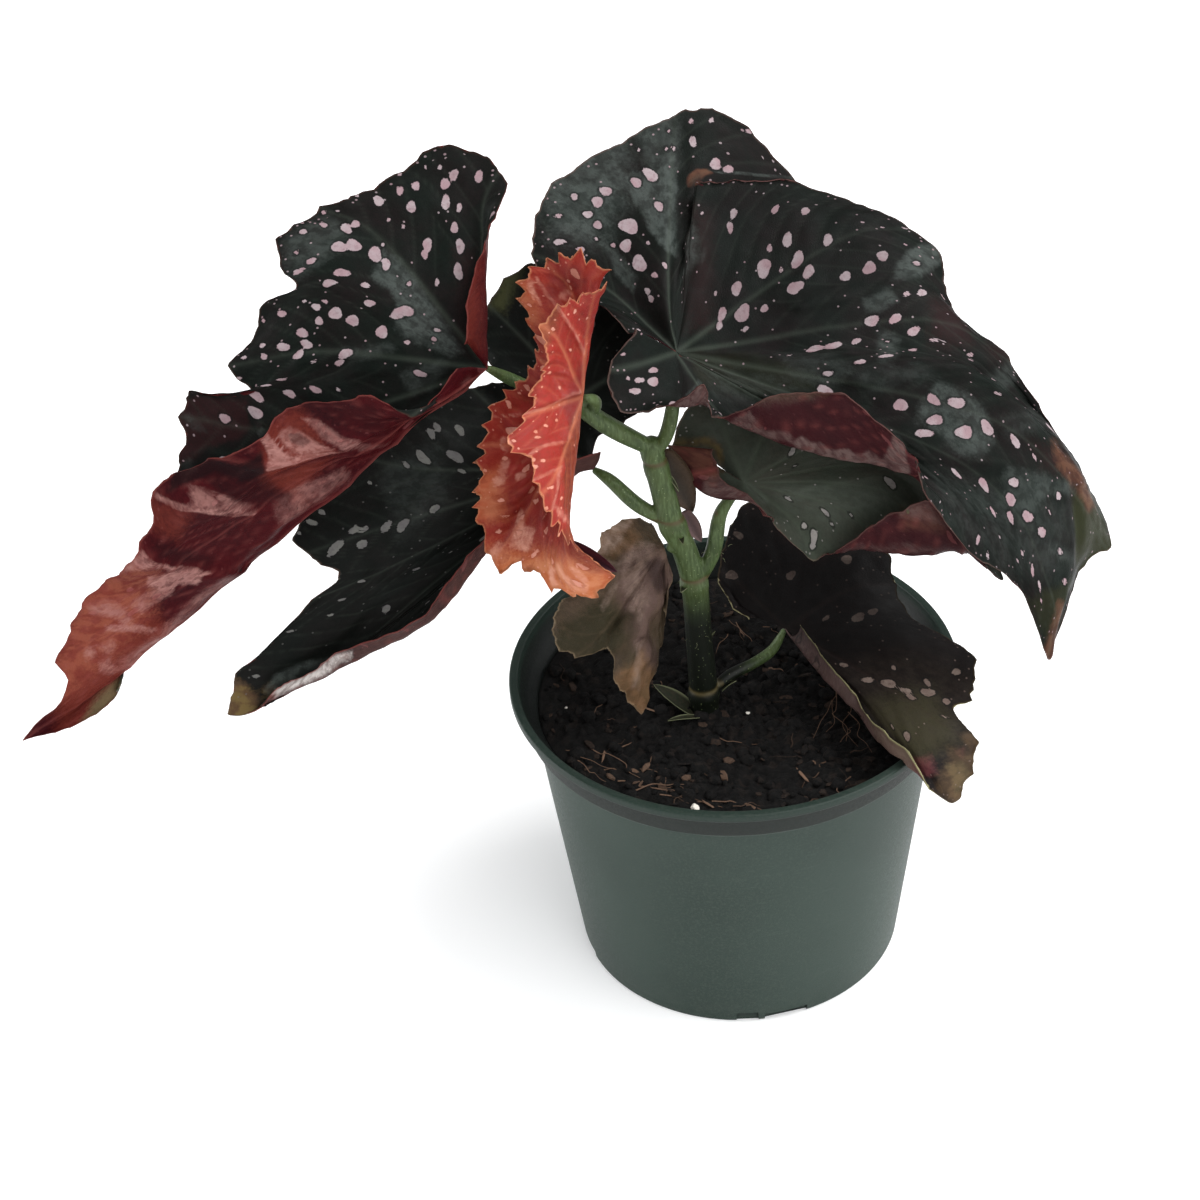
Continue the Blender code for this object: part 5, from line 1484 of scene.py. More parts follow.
LOW_LEFT_LEAF = leaf(
    "leaf_low_left", LOW_LEFT_ATTACHMENT, LOW_LEFT_RIBS, rows=66, spacing=1.45, seed=31,
    veins=(2.5, 5, 7.5, 10, 14.5, 18, 21), spots=LOW_LEFT_SPOTS, density=0.003, top=GREY_TOP,
    under=GREY_UNDER,
    dry=(
        (0.95, 5, 220, 720, 226, 695, 235, 678, 250, 690, 262, 700, 258, 715, 235, 726),
        (0.6, 4, 262, 690, 270, 682, 280, 690, 272, 700),
    ),
    # Painted highlight along the curled margin, and a faint one on the blade
    sheen=(
        (0.95, 3, 268, 684, 275, 675, 300, 664, 330, 657, 352, 652, 350, 660, 320, 675, 290, 690, 276, 697,
         264, 692),
        (0.25, 10, 380, 470, 440, 440, 450, 500, 400, 540),
    ),
    creases=(
        (0.8, 6, 10, 450, 450, 400, 540, 340, 640), (0.7, 6, 10, 380, 600, 330, 640, 270, 670),
    ),
)
ORANGE_LEAF = leaf(
    "leaf_orange", ORANGE_ATTACHMENT, ORANGE_RIBS, rows=54, spacing=0.85, seed=43,
    veins=(0.6, 3, 6, 9, 12, 16, 19, 22, 25), teeth=ORANGE_TEETH, spots=ORANGE_SPOTS, density=0.006,
    wave=0.7, swell=0.6, side_spacing=7.5, slot="leaf_orange", top=ORANGE_TOP, under=ORANGE_UNDER, calm=90,
    dry=(
        (0.8, 16, 482, 548, 540, 552, 575, 556, 612, 574, 612, 605, 560, 616, 530, 610, 496, 590),
        (0.5, 10, 472, 470, 500, 470, 505, 520, 476, 520),
        (0.45, 10, 508, 250, 530, 285, 545, 330, 512, 325),
    ),
    red=(
        (0.95, 4, 560, 292, 604, 280, 594, 340, 584, 385, 572, 420, 563, 450, 563, 500, 568, 520, 560, 545,
         540, 530, 520, 490, 503, 455, 505, 425, 525, 400, 540, 380, 535, 360, 550, 340, 560, 320),
    ),
    # Painted shade in the folds
    dark=(
        (0.3, 3, 561, 540, 572, 540, 585, 555, 600, 566, 604, 574, 590, 570, 572, 560),
        (0.4, 5, 578, 368, 588, 360, 582, 400, 570, 430, 564, 405),
        (0.3, 6, 583, 285, 604, 280, 597, 330, 586, 345, 576, 318),
        (0.3, 6, 545, 255, 575, 262, 590, 280, 560, 300, 550, 300),
        (0.25, 5, 520, 495, 530, 485, 536, 505, 528, 512), (0.3, 4, 540, 505, 550, 515, 545, 528, 534, 520),
        (0.3, 5, 506, 420, 520, 425, 510, 436, 502, 432),
    ),
    # Painted highlights, among pale blotches and pale vein lines of the skin
    sheen=(
        (0.8, 1.6, 526, 281, 531, 280, 534, 287, 538, 295, 533, 299, 527, 290),
        (0.7, 2, 560, 293, 565, 290, 572, 290, 571, 295, 566, 301, 560, 299),
        (0.9, 1.6, 501, 436, 509, 438, 512, 446, 508, 453, 502, 450),
        (0.6, 2, 505, 456, 512, 460, 508, 470, 501, 478, 498, 470),
        (0.6, 2, 492, 480, 500, 474, 508, 474, 503, 484, 495, 488),
        (0.8, 1.6, 514, 474, 524, 470, 528, 474, 522, 480, 516, 480),
        (0.85, 2, 522, 508, 526, 515, 524, 527, 537, 528, 531, 544, 529, 552, 512, 547, 514, 530),
        (0.6, 2, 554, 505, 560, 508, 566, 516, 568, 524, 562, 520, 556, 512),
        (0.7, 3, 486, 554, 499, 540, 505, 545, 497, 562, 493, 579, 484, 568),
        (0.9, 1.5, 550, 566, 555, 568, 556, 580, 560, 586, 553, 587, 549, 578),
        (0.8, 1.5, 583, 583, 588, 584, 588, 592, 583, 592),
        (0.7, 1.5, 569, 566, 576, 566, 589, 580, 584, 583, 572, 573),
        (0.6, 1.5, 557, 560, 566, 574, 580, 585, 589, 583, 588, 593, 577, 591, 561, 577),
        (0.5, 1.2, 584, 391, 562, 400, 545, 410, 522, 416, 482, 419, 482, 416, 522, 413, 545, 407, 562, 397,
         583, 388),
        (0.5, 1.2, 584, 356, 572, 332, 560, 313, 552, 303, 534, 277, 537, 276, 555, 301, 562, 310, 574, 330,
         587, 355),
        (0.4, 1.2, 561, 441, 545, 444, 532, 450, 521, 460, 522, 463, 534, 453, 546, 447, 561, 444),
        (0.4, 1.2, 560, 466, 545, 472, 530, 480, 531, 482, 546, 475, 560, 469),
        (0.4, 1.2, 556, 470, 550, 510, 553, 510, 559, 470),
        (0.5, 1.2, 520, 262, 540, 305, 543, 304, 523, 261),
    ),
    creases=(
        (0.9, 3, 6, 585, 390, 540, 405, 495, 418), (0.9, 3, 6, 588, 358, 572, 330, 558, 308),
        (0.8, 3, 6, 565, 442, 540, 450, 516, 466), (0.8, 3, 6, 562, 468, 550, 500, 545, 530),
        (0.8, 3, 6, 548, 310, 530, 288, 516, 262), (0.8, 3, 6, 520, 520, 508, 560, 496, 580),
    ),
)
UNDER_LEAF = leaf(
    "leaf_under", UNDER_ATTACHMENT, UNDER_RIBS, rows=50, spacing=1.5, seed=53,
    veins=(1, 4, 7, 9.5, 12, 14, 16, 18, 20), spots=UNDER_SPOTS, density=0.0015, top=UNDER_TOP,
    under=DUSKY_UNDER,
    # Painted highlights
    sheen=(
        (0.8, 3, 705, 480, 725, 472, 745, 480, 768, 502, 750, 506, 725, 496, 700, 502),
        (0.55, 8, 770, 480, 850, 486, 900, 492, 880, 510, 830, 530, 780, 500),
        (0.5, 5, 840, 555, 900, 556, 960, 558, 960, 550, 900, 545, 850, 545),
        (0.6, 5, 895, 505, 925, 500, 945, 525, 930, 520, 900, 515),
        (0.5, 5, 690, 430, 720, 410, 740, 430, 715, 445),
    ),
    dry=(
        (0.8, 4, 664, 440, 715, 438, 722, 450, 724, 472, 712, 487, 690, 466),
        (0.5, 6, 900, 505, 960, 505, 950, 530, 900, 530),
    ),
    creases=(
        (0.8, 4, 10, 900, 472, 850, 480, 790, 490), (0.9, 4, 8, 900, 505, 930, 530, 970, 550),
    ),
)
LOW_RIGHT_LEAF = leaf(
    "leaf_low_right", LOW_RIGHT_ATTACHMENT, LOW_RIGHT_RIBS, rows=56, spacing=1.35, seed=61, facing=1.0,
    veins=(2, 8, 14, 19), spots=LOW_RIGHT_SPOTS, density=0.002, top=BROWN_TOP, slot="leaf_maroon",
    teeth=((9.0, 1.4, 1.6), (3.0, 0.6, 1.4)),
    # Painted highlight, and painted shade where the leaves above shade the blade
    sheen=((0.5, 14, 820, 670, 900, 650, 985, 680, 970, 760, 890, 740, 850, 710),),
    dark=((0.75, 24, 720, 500, 910, 520, 930, 640, 830, 660, 760, 640, 715, 580),),
    rolls=((16.6, 21.6, 8.5, 165.0), (-0.7, 1.6, 5.0, 140.0)), under=BROWN_UNDER,
    dry=(
        (0.7, 6, 935, 790, 950, 750, 985, 750, 982, 800, 960, 805),
        (0.6, 4, 962, 735, 985, 730, 988, 755, 970, 755),
    ),
    green=(
        (0.8, 4, 945, 765, 962, 760, 975, 785, 955, 795),
        (0.35, 14, 870, 700, 930, 690, 960, 740, 900, 770, 880, 740),
    ),
    red=(
        (0.8, 4, 910, 760, 930, 755, 938, 775, 915, 778), (0.7, 3, 955, 752, 966, 748, 962, 762),
    ),
)
WITHERED_LEAF = leaf(
    "leaf_withered", WITHERED_ATTACHMENT, WITHERED_RIBS, rows=44, spacing=1.0, seed=71,
    veins=(1, 4, 7, 10, 13), teeth=WITHERED_TEETH, slot="leaf_withered", top=WITHERED_SKIN,
    under=WITHERED_SKIN, wave=1.8, wave_size=11.0, edge_wave=1.2, calm=60,
    green=((0.85, 8, 545, 645, 560, 625, 600, 600, 635, 615, 615, 650, 560, 662),),
    dry=(
        (0.8, 5, 610, 680, 640, 650, 655, 680, 650, 715, 625, 710),
        (0.6, 8, 592, 545, 610, 520, 635, 512, 640, 545, 612, 560, 595, 560),
    ),
    red=(
        (0.9, 8, 625, 545, 665, 550, 675, 580, 660, 600, 645, 625, 655, 670, 640, 665, 625, 620, 615, 580),
    ),
    # Painted highlights on the folds and along the rim
    sheen=(
        (0.45, 4, 638, 540, 658, 548, 640, 575, 648, 600, 636, 620, 624, 590, 620, 565),
        (0.45, 3, 634, 640, 641, 640, 639, 690, 631, 690),
        (0.4, 2, 607, 560, 622, 566, 616, 590, 604, 612, 600, 606, 610, 586),
        (0.9, 4, 592, 545, 604, 528, 620, 512, 636, 508, 634, 520, 622, 540, 606, 556, 594, 556),
    ),
    # Painted shade in the folds
    dark=(
        (0.7, 4, 645, 560, 662, 560, 664, 585, 655, 592, 648, 580),
        (0.7, 3, 644, 625, 652, 640, 655, 665, 648, 660),
    ),
    creases=(
        (1.6, 5, 10, 635, 518, 660, 542, 675, 575, 660, 597, 641, 620, 637, 632),
        (1.3, 4, 7, 642, 622, 650, 655, 658, 670), (1.3, 4, 7, 637, 632, 630, 656, 620, 682),
        (0.9, 4, 5, 614, 520, 630, 546), (0.9, 4, 5, 602, 534, 626, 556), (0.9, 4, 5, 598, 556, 622, 562),
        (1.0, 4, 7, 625, 560, 610, 600, 600, 640),
    ),
)
BACK_LEAF = leaf(
    "leaf_back", BACK_ATTACHMENT, BACK_RIBS, rows=36, spacing=1.5, seed=83, veins=(2, 5, 8), density=0.003,
    # Painted light: the leaf's edge shows olive where light shines through it
    top=GREY_TOP, green=((0.9, 8, 485, 310, 500, 275, 530, 262, 520, 285, 505, 312),),
)
LEAVES = (
    LARGE_LEAF, FOLDED_LEAF, LOW_LEFT_LEAF, ORANGE_LEAF, UNDER_LEAF, LOW_RIGHT_LEAF, WITHERED_LEAF,
    BACK_LEAF,
)


def leaf_fans(spec):
    """The fans of a leaf: one, or two for the torn leaf, which share the rib where the tear ends."""
    rng = np.random.default_rng(spec.seed)
    front = rib_rows(spec.attachment, spec.ribs, spec.rows)
    if not spec.ribs_behind:
        return [fan(spec, front, spec.veins, rng, spec.rolls)]
    behind = np.concatenate([front[-1:], rib_rows(spec.attachment, spec.ribs_behind, spec.rows)])
    first = fan(spec, front, spec.veins, rng, spec.rolls, keep_last=True)
    second = fan(spec, behind, spec.veins_behind, rng, keep_first=True, start_angle=first.angle[-1])
    return [first, second]


def build_leaves():
    """Every leaf, with the spots that the photograph shows and others where it shows nothing."""
    made = {spec.name: leaf_fans(spec) for spec in LEAVES}
    every = [part for parts in made.values() for part in parts]
    for part in every:
        part.pixels = project(part.points)
    for spec in LEAVES:
        parts = made[spec.name]
        masks = hidden_masks(parts, every)
        top = leaf_material(spec.name + "_top", spec.top)
        under = leaf_material(spec.name + "_under", spec.under)
        build_blade(spec, parts, masks, (top, under))


# Stem
TUBE_SIDES = 28
TUBE_STEP = 0.6
STEM_VOXEL = 0.42
STEM_SMOOTHING = 4
# Node rings of the cane: height, width and swelling in millimetres
NODE_RINGS = ((112.0, 2.4, 0.6), (159.0, 2.6, 0.5), (184.5, 2.6, 0.5), (208.0, 2.4, 0.3))
# A groove lies above each ring, at so many of the ring's widths.
GROOVE_RISE = 1.4
GROOVE_DEPTH = 0.35
GROOVE_WIDTH = 0.6
SCAR_WIDTH = 0.8
# Only the cane has rings: its middle in x and the half width around it
CANE_X = -18.0
CANE_REACH = 14.0


def tube_mesh(route, sides=TUBE_SIDES, step=TUBE_STEP, shape=None):
    """Points and faces of a closed tube along a smooth route of (x, y, z, radius) points."""
    route = np.asarray(route, dtype=float)
    fine = spline_at(route, np.linspace(0, len(route) - 1, 30 * (len(route) - 1) + 1))
    length = line_length(fine[:, :3])
    count = max(4, int(length[-1] / step))
    wanted = np.linspace(0, length[-1], count + 1)
    line = np.stack([np.interp(wanted, length, fine[:, axis]) for axis in range(4)], axis=-1)
    centre, radius = line[:, :3], line[:, 3]
    if shape is not None:
        radius = shape(centre, radius)
    along = np.gradient(centre, axis=0)
    along /= np.linalg.norm(along, axis=1, keepdims=True)
    side = np.cross(along[0], (0.3, 1.0, 0.2))
    turn = np.arange(sides) * 2 * math.pi / sides
    rings = []
    for place, direction, size in zip(centre, along, radius):
        side = side - direction * side.dot(direction)
        side /= np.linalg.norm(side)
        other = np.cross(direction, side)
        rings.append(place + size * (np.cos(turn)[:, None] * side + np.sin(turn)[:, None] * other))
    tips = [centre[0] - along[0] * radius[0] * 0.5], [centre[-1] + along[-1] * radius[-1] * 0.5]
    points = np.concatenate([*rings, *tips])
    first, last = len(points) - 2, len(points) - 1
    faces = []
    for i in range(count):
        for j in range(sides):
            k = (j + 1) % sides
            start = i * sides
            faces.append([start + j, start + k, start + sides + k, start + sides + j])
    for j in range(sides):
        k = (j + 1) % sides
        faces.append([first, k, j])
        faces.append([last, count * sides + j, count * sides + k])
    return points, faces


def joined(meshes):
    """Points and faces of several meshes as one."""
    points, faces, start = [], [], 0
    for own_points, own_faces in meshes:
        points.append(own_points)
        faces += [[v + start for v in face] for face in own_faces]
        start += len(own_points)
    return np.concatenate(points), faces


def ringed(centre, radius):
    """Radius of the cane with a ring at each node and a groove above it."""
    swollen = radius.copy()
    for height, width, size in NODE_RINGS:
        above = centre[:, 2] - height
        swollen += size * np.exp(-(above / width) ** 2)
        swollen -= GROOVE_DEPTH * np.exp(-((above - GROOVE_RISE * width) / GROOVE_WIDTH) ** 2)
    return swollen


def applied(obj):
    """Mesh of an object with its modifiers. The object is then gone."""
    depsgraph = bpy.context.evaluated_depsgraph_get()
    mesh = bpy.data.meshes.new_from_object(obj.evaluated_get(depsgraph))
    bpy.data.objects.remove(obj, do_unlink=True)
    return mesh


def stem_material():
    """Green skin with pale flecks, brown at the rings, and painted shade towards the soil, where the
    leaves shade the cane.
    """
    material, tree, shader = new_material("stem_skin")
    place = object_place(tree)
    split = add_node(tree, "SeparateXYZ", {}, {0: place})
    streaks = noise_value(tree, stretched_place(tree, place, (1.0, 1.0, 0.18)), 1.1, 3.0, 0.6)
    broad = noise_value(tree, place, 0.09, 3.0, 0.6)
    colour = mix(tree, remap(tree, broad, 0.35, 0.65), srgb(62, 74, 38), srgb(48, 62, 32))
    colour = mix(tree, remap(tree, streaks, 0.35, 0.75), colour, srgb(76, 92, 58))
    # Painted shade: the cane darkens to near black towards the soil, under the leaves; the low right
    # petiole is spared
    side = remap(tree, split.outputs[0], 14.0, 1.0)
    low = multiply(tree, remap(tree, split.outputs[2], 166.0, 142.0), side)
    colour = paint(tree, colour, low, 0.98, srgb(6, 9, 5))
    flecks = remap(tree, cells(tree, place, 0.7), 0.16, 0.08)
    colour = paint(tree, colour, flecks, 0.4, srgb(150, 164, 120))
    colour = mix(tree, attribute(tree, "ring"), colour, srgb(70, 62, 38))
    height = calculate(tree, "ADD", streaks, multiply(tree, noise_value(tree, place, 2.5), 0.5))
    set_surface(tree, shader, colour, 0.46, 0.22, bump(tree, height, 0.35, 0.0004))
    return material


def build_stem():
    """Cane, side branch and petioles grown into one skin."""
    tubes = [tube_mesh(CANE_ROUTE, shape=ringed)]
    tubes += [tube_mesh(route) for route in PETIOLE_ROUTES.values()]
    rough = linked("stem_rough", mesh_from("stem_rough", *joined(tubes)))
    remesh = rough.modifiers.new("skin", "REMESH")
    remesh.mode = "VOXEL"
    remesh.voxel_size = STEM_VOXEL * MM
    remesh.use_smooth_shade = True
    smooth = rough.modifiers.new("fillets", "SMOOTH")
    smooth.factor = 0.5
    smooth.iterations = STEM_SMOOTHING
    mesh = applied(rough)
    mesh.name = "stem_skin"
    places = vertex_places(mesh)
    ring = np.zeros(len(places))
    for height, width, _ in NODE_RINGS:
        above = places[:, 2] - height
        ring = np.maximum(ring, np.exp(-((above - GROOVE_RISE * width) / SCAR_WIDTH) ** 2))
    store(mesh, "ring", ring * (np.abs(places[:, 0] - CANE_X) < CANE_REACH))
    mesh.materials.append(stem_material())
    add_object("stem_skin", mesh, ["stem"])


# Pot
TURN_STEPS = 240
PROFILE_STEP = 6.0
POT_NOISE = (1.1, 2.0, 0.7)
# Height just above the collar's lower edge, along which a highlight is painted and above which the
# collar is painted in shade
COLLAR_EDGE = POT_HEIGHT - COLLAR_HEIGHT + 0.6
# Radii of the roundings along the section, apart from the lip's and the base's
LIP_INNER_ROUNDING = 0.6
LIP_LOWER_ROUNDING = 0.5
LIP_FILLET = 0.7
COLLAR_ROUNDING = 0.5
COLLAR_FILLET = 0.8
# Turn between faces above which an edge of the pot is drawn sharp
SHARP_ANGLE = 32.0
# Depth below the outside over which the pot's inside darkens into painted shade, and where that starts
INSIDE_SHADE_FADE = (0.05, 0.8)
INSIDE_SHADE_START = 0.6


def arc(centre, radius, start, end, steps):
    """Points of an arc in a profile, angles in degrees from the outward direction."""
    angles = np.radians(np.linspace(start, end, steps + 1))
    return [(centre[0] + radius * math.cos(a), centre[1] + radius * math.sin(a)) for a in angles]


def corner(x, y, radius, inwards, upwards, start, end, steps):
    """Rounding of a corner. Its centre lies the radius away, to the side that the two signs say."""
    return arc((x - inwards * radius, y + upwards * radius), radius, start, end, steps)


def pot_profile():
    """Closed section of the pot, from the lip's top down the outside and up the inside."""
    collar_bottom = POT_HEIGHT - COLLAR_HEIGHT
    collar_foot = COLLAR_RADIUS - COLLAR_TAPER
    lip_inner = COLLAR_RADIUS + LIP_WALL
    lip_bottom = POT_HEIGHT - LIP_HEIGHT
    outside = corner(lip_inner, POT_HEIGHT, LIP_INNER_ROUNDING, -1, -1, 180, 90, 4)
    outside += corner(RIM_RADIUS, POT_HEIGHT, LIP_ROUNDING, 1, -1, 90, 0, 6)
    outside += corner(RIM_RADIUS, lip_bottom, LIP_LOWER_ROUNDING, 1, 1, 0, -90, 4)
    outside += corner(COLLAR_RADIUS, lip_bottom, LIP_FILLET, -1, -1, 90, 180, 4)
    outside += corner(collar_foot, collar_bottom, COLLAR_ROUNDING, 1, 1, 0, -70, 4)
    fillet_centre = (BODY_TOP_RADIUS + COLLAR_FILLET, collar_bottom - 0.6)
    outside += arc(fillet_centre, COLLAR_FILLET, 110, 180, 4)
    outside += corner(BASE_RADIUS, 0.0, BASE_ROUNDING, 1, 1, 0, -90, 8)
    inner_step = collar_bottom + WALL / 2
    step_width = COLLAR_RADIUS - BODY_TOP_RADIUS
    inside = [
        (BASE_RADIUS - WALL - FLOOR_CHAMFER, FLOOR_THICKNESS),
        (BASE_RADIUS - WALL, FLOOR_THICKNESS + FLOOR_CHAMFER),
        (BODY_TOP_RADIUS - WALL, inner_step),
        (BODY_TOP_RADIUS - WALL + 0.6, inner_step + 1.2),
        (collar_foot - WALL - 0.6, inner_step + step_width - 0.4),
        (collar_foot - WALL, inner_step + step_width + 0.6),
        (lip_inner - 0.5, POT_HEIGHT - 3.0),
    ]
    return [*outside, (0.0, 0.0), (0.0, FLOOR_THICKNESS), *inside]


def subdivided(profile, step):
    """Profile with points added so that none are further apart than a step."""
    points = [profile[0]]
    for start, end in zip(profile, profile[1:]):
        count = max(1, math.ceil(math.dist(start, end) / step))
        for i in range(1, count + 1):
            share = i / count
            points.append(tuple(a + (b - a) * share for a, b in zip(start, end)))
    return points


def turned_mesh(profile, steps, closed):
    """Points and faces of a profile of (radius, height) points turned about the upright axis."""
    points, numbers = [], []
    for radius, height in profile:
        if radius < 1e-6:
            numbers.append([len(points)] * steps)
            points.append((0.0, 0.0, height))
            continue
        numbers.append(list(range(len(points), len(points) + steps)))
        for j in range(steps):
            turn = 2 * math.pi * j / steps
            points.append((radius * math.cos(turn), radius * math.sin(turn), height))
    following = numbers[1:] + numbers[:1] if closed else numbers[1:]
    faces = []
    for upper, lower in zip(numbers, following):
        for j in range(steps):
            k = (j + 1) % steps
            quad = [upper[j], lower[j], lower[k], upper[k]]
            face = [v for i, v in enumerate(quad) if v != quad[i - 1]]
            if len(face) >= 3:
                faces.append(face)
    return np.array(points), faces


def drain_cutter(angle, size, overhang):
    """Box at the pot's bottom corner at an angle, for a drain opening."""
    width, depth, height = size
    turn = math.radians(angle)
    centre = BASE_RADIUS - depth / 2 + overhang
    edit = bmesh.new()
    bmesh.ops.create_cube(edit, size=1.0)
    bmesh.ops.scale(edit, vec=(depth * MM, width * MM, 2 * height * MM), verts=edit.verts)
    outward = [e for e in edit.edges if abs(e.verts[0].co.x - e.verts[1].co.x) > depth * MM / 2]
    bmesh.ops.bevel(
        edit, geom=outward, offset=DRAIN_ROUNDING * MM, segments=3, affect="EDGES", profile=0.5,
    )
    place = Matrix.Translation((centre * math.cos(turn) * MM, centre * math.sin(turn) * MM, 0.0))
    edit.transform(place @ Matrix.Rotation(turn, 4, "Z"))
    return linked("drain", mesh_of(edit, "drain"))


def pot_material():
    """Dark green moulded plastic with speckles, scuffs and dust at its foot, a painted highlight along the
    collar's lower edge, and painted shade on the collar under the lip and inside the pot.
    """
    material, tree, shader = new_material("pot_plastic")
    place = object_place(tree)
    height = add_node(tree, "SeparateXYZ", {}, {0: place}).outputs[2]
    broad = noise_value(tree, place, 0.018, 3.0, 0.5)
    speckle = noise_value(tree, place, *POT_NOISE)
    colour = mix(tree, remap(tree, broad, 0.35, 0.65), srgb(23, 40, 33), srgb(31, 47, 40))
    colour = paint(tree, colour, remap(tree, speckle, 0.42, 0.7), 0.55, srgb(54, 63, 57))
    grit = remap(tree, cells(tree, place, 0.045), 0.05, 0.02)
    colour = paint(tree, colour, grit, 0.7, srgb(26, 28, 26))
    stretched = stretched_place(tree, place, (0.2, 0.2, 2.4))
    scuffs = remap(tree, noise_value(tree, stretched, 0.25, 4.0, 0.7), 0.58, 0.78)
    colour = paint(tree, colour, scuffs, 0.12, srgb(84, 92, 86))
    # Painted highlight: a pale line along the collar's lower edge, broken up by noise
    from_edge = calculate(tree, "ABSOLUTE", calculate(tree, "SUBTRACT", height, COLLAR_EDGE))
    collar_highlight_breakup = remap(tree, noise_value(tree, place, 0.03, 2.0), 0.35, 0.6)
    edge = multiply(tree, remap(tree, from_edge, 0.8, 0.2), collar_highlight_breakup)
    colour = paint(tree, colour, edge, 0.6, srgb(92, 102, 94))
    clouds = remap(tree, noise_value(tree, place, 0.3, 4.0), 0.4, 0.7)
    dust = multiply(tree, remap(tree, height, 16.0, 1.0), clouds)
    colour = paint(tree, colour, dust, 0.35, srgb(52, 60, 54))
    # Painted shade over the collar, nearly black under the lip and weaker on the lip's top
    collar = remap(tree, height, COLLAR_EDGE - 0.8, COLLAR_EDGE + 0.2)
    lip_shade_strength = remap(tree, height, POT_HEIGHT - 1.5, POT_HEIGHT - 4.0, 0.3, 0.97)
    colour = paint(tree, colour, collar, lip_shade_strength, srgb(13, 20, 16))
    # Painted shade inside the pot and at the back of its drain openings
    colour = paint(tree, colour, attribute(tree, "inside"), 0.85, srgb(11, 15, 14))
    rough = remap(tree, speckle, 0.3, 0.7, 0.42, 0.56)
    grain = noise_value(tree, place, 3.0, 2.0, 0.6)
    set_surface(tree, shader, colour, rough, 0.22, bump(tree, grain, 0.3, 0.00025))
    return material


def painted_inside_shade(places):
    """How far places of the pot count as its inside, from 0 on the outside to 1, and so how far they are
    painted in shade.
    """
    level = np.clip(places[:, 2], 0.0, POT_HEIGHT)
    body = BASE_RADIUS + (BODY_TOP_RADIUS - BASE_RADIUS) * level / (POT_HEIGHT - COLLAR_HEIGHT)
    outer = np.where(level > POT_HEIGHT - COLLAR_HEIGHT, COLLAR_RADIUS - COLLAR_TAPER, body)
    start = np.where(places[:, 2] < DRAIN_LEVEL, DRAIN_HOLE_SIZE[1] - DRAIN_OVERHANG, INSIDE_SHADE_START)
    return smooth_step(*INSIDE_SHADE_FADE, outer - np.hypot(places[:, 0], places[:, 1]) - start)


def build_pot():
    """Pot turned from its section, with its drain openings cut out."""
    points, faces = turned_mesh(subdivided(pot_profile(), PROFILE_STEP), TURN_STEPS, True)
    rough = linked("pot_rough", mesh_from("pot_rough", points, faces))
    cutters = []
    for group in range(DRAIN_GROUPS):
        turn = group * 360.0 / DRAIN_GROUPS
        cutters.append(drain_cutter(DRAIN_HOLE_ANGLE + turn, DRAIN_HOLE_SIZE, DRAIN_OVERHANG))
        cutters.append(drain_cutter(DRAIN_SLOT_ANGLE + turn, DRAIN_SLOT_SIZE, DRAIN_OVERHANG))
        cutters.append(drain_cutter(DRAIN_HOLE_ANGLE + turn, DRAIN_INNER_SIZE, DRAIN_INNER_OVERHANG))
    for cutter in cutters:
        cut = rough.modifiers.new("drain", "BOOLEAN")
        cut.operation = "DIFFERENCE"
        cut.solver = "EXACT"
        cut.object = cutter
    mesh = applied(rough)
    for cutter in cutters:
        bpy.data.objects.remove(cutter, do_unlink=True)
    mesh.name = "pot_moulding"
    store(mesh, "inside", painted_inside_shade(vertex_places(mesh)))
    mesh.set_sharp_from_angle(angle=math.radians(SHARP_ANGLE))
    mesh.materials.append(pot_material())
    add_object("pot_moulding", mesh, ["pot"])


# Soil
SOIL_CELL = 1.0
SOIL_SIDES = 220
# The surface grows level towards the pot's wall, with this power of the distance from the middle.
SOIL_FADE = 14
# Unevenness of the surface: size, octaves and seed of the noise, then its height
SOIL_WAVES = (22.0, 2, 3.1, 2.4)
SOIL_LUMPS = (6.5, 3, 7.7, 2.6)
SOIL_CRUMBS = (2.4, 3, 1.3, 1.3)


def soil_height(places):
    """Height of the peat's surface above its level, at places given as x and y."""
    waves, lumps, crumbs = (
        fractal(places, size, octaves, seed) * height
        for size, octaves, seed, height in (SOIL_WAVES, SOIL_LUMPS, SOIL_CRUMBS)
    )
    return waves + np.abs(lumps) + crumbs


def soil_material():
    """Nearly black peat with some browner chips."""
    material, tree, shader = new_material("soil_peat")
    place = object_place(tree)
    crumbs = noise_value(tree, place, 0.55, 5.0, 0.65)
    colour = mix(tree, remap(tree, crumbs, 0.35, 0.7), srgb(7, 7, 7), srgb(22, 20, 19))
    chips = add_node(tree, "TexVoronoi", {}, {"Vector": place, "Scale": 0.35})
    colour = paint(tree, colour, remap(tree, chance_of(tree, chips), 0.8, 0.95), 0.5, srgb(38, 31, 27))
    grain = noise_value(tree, place, 1.6, 4.0, 0.7)
    set_surface(tree, shader, colour, 0.9, 0.2, bump(tree, grain, 0.9, 0.0012))
    return material


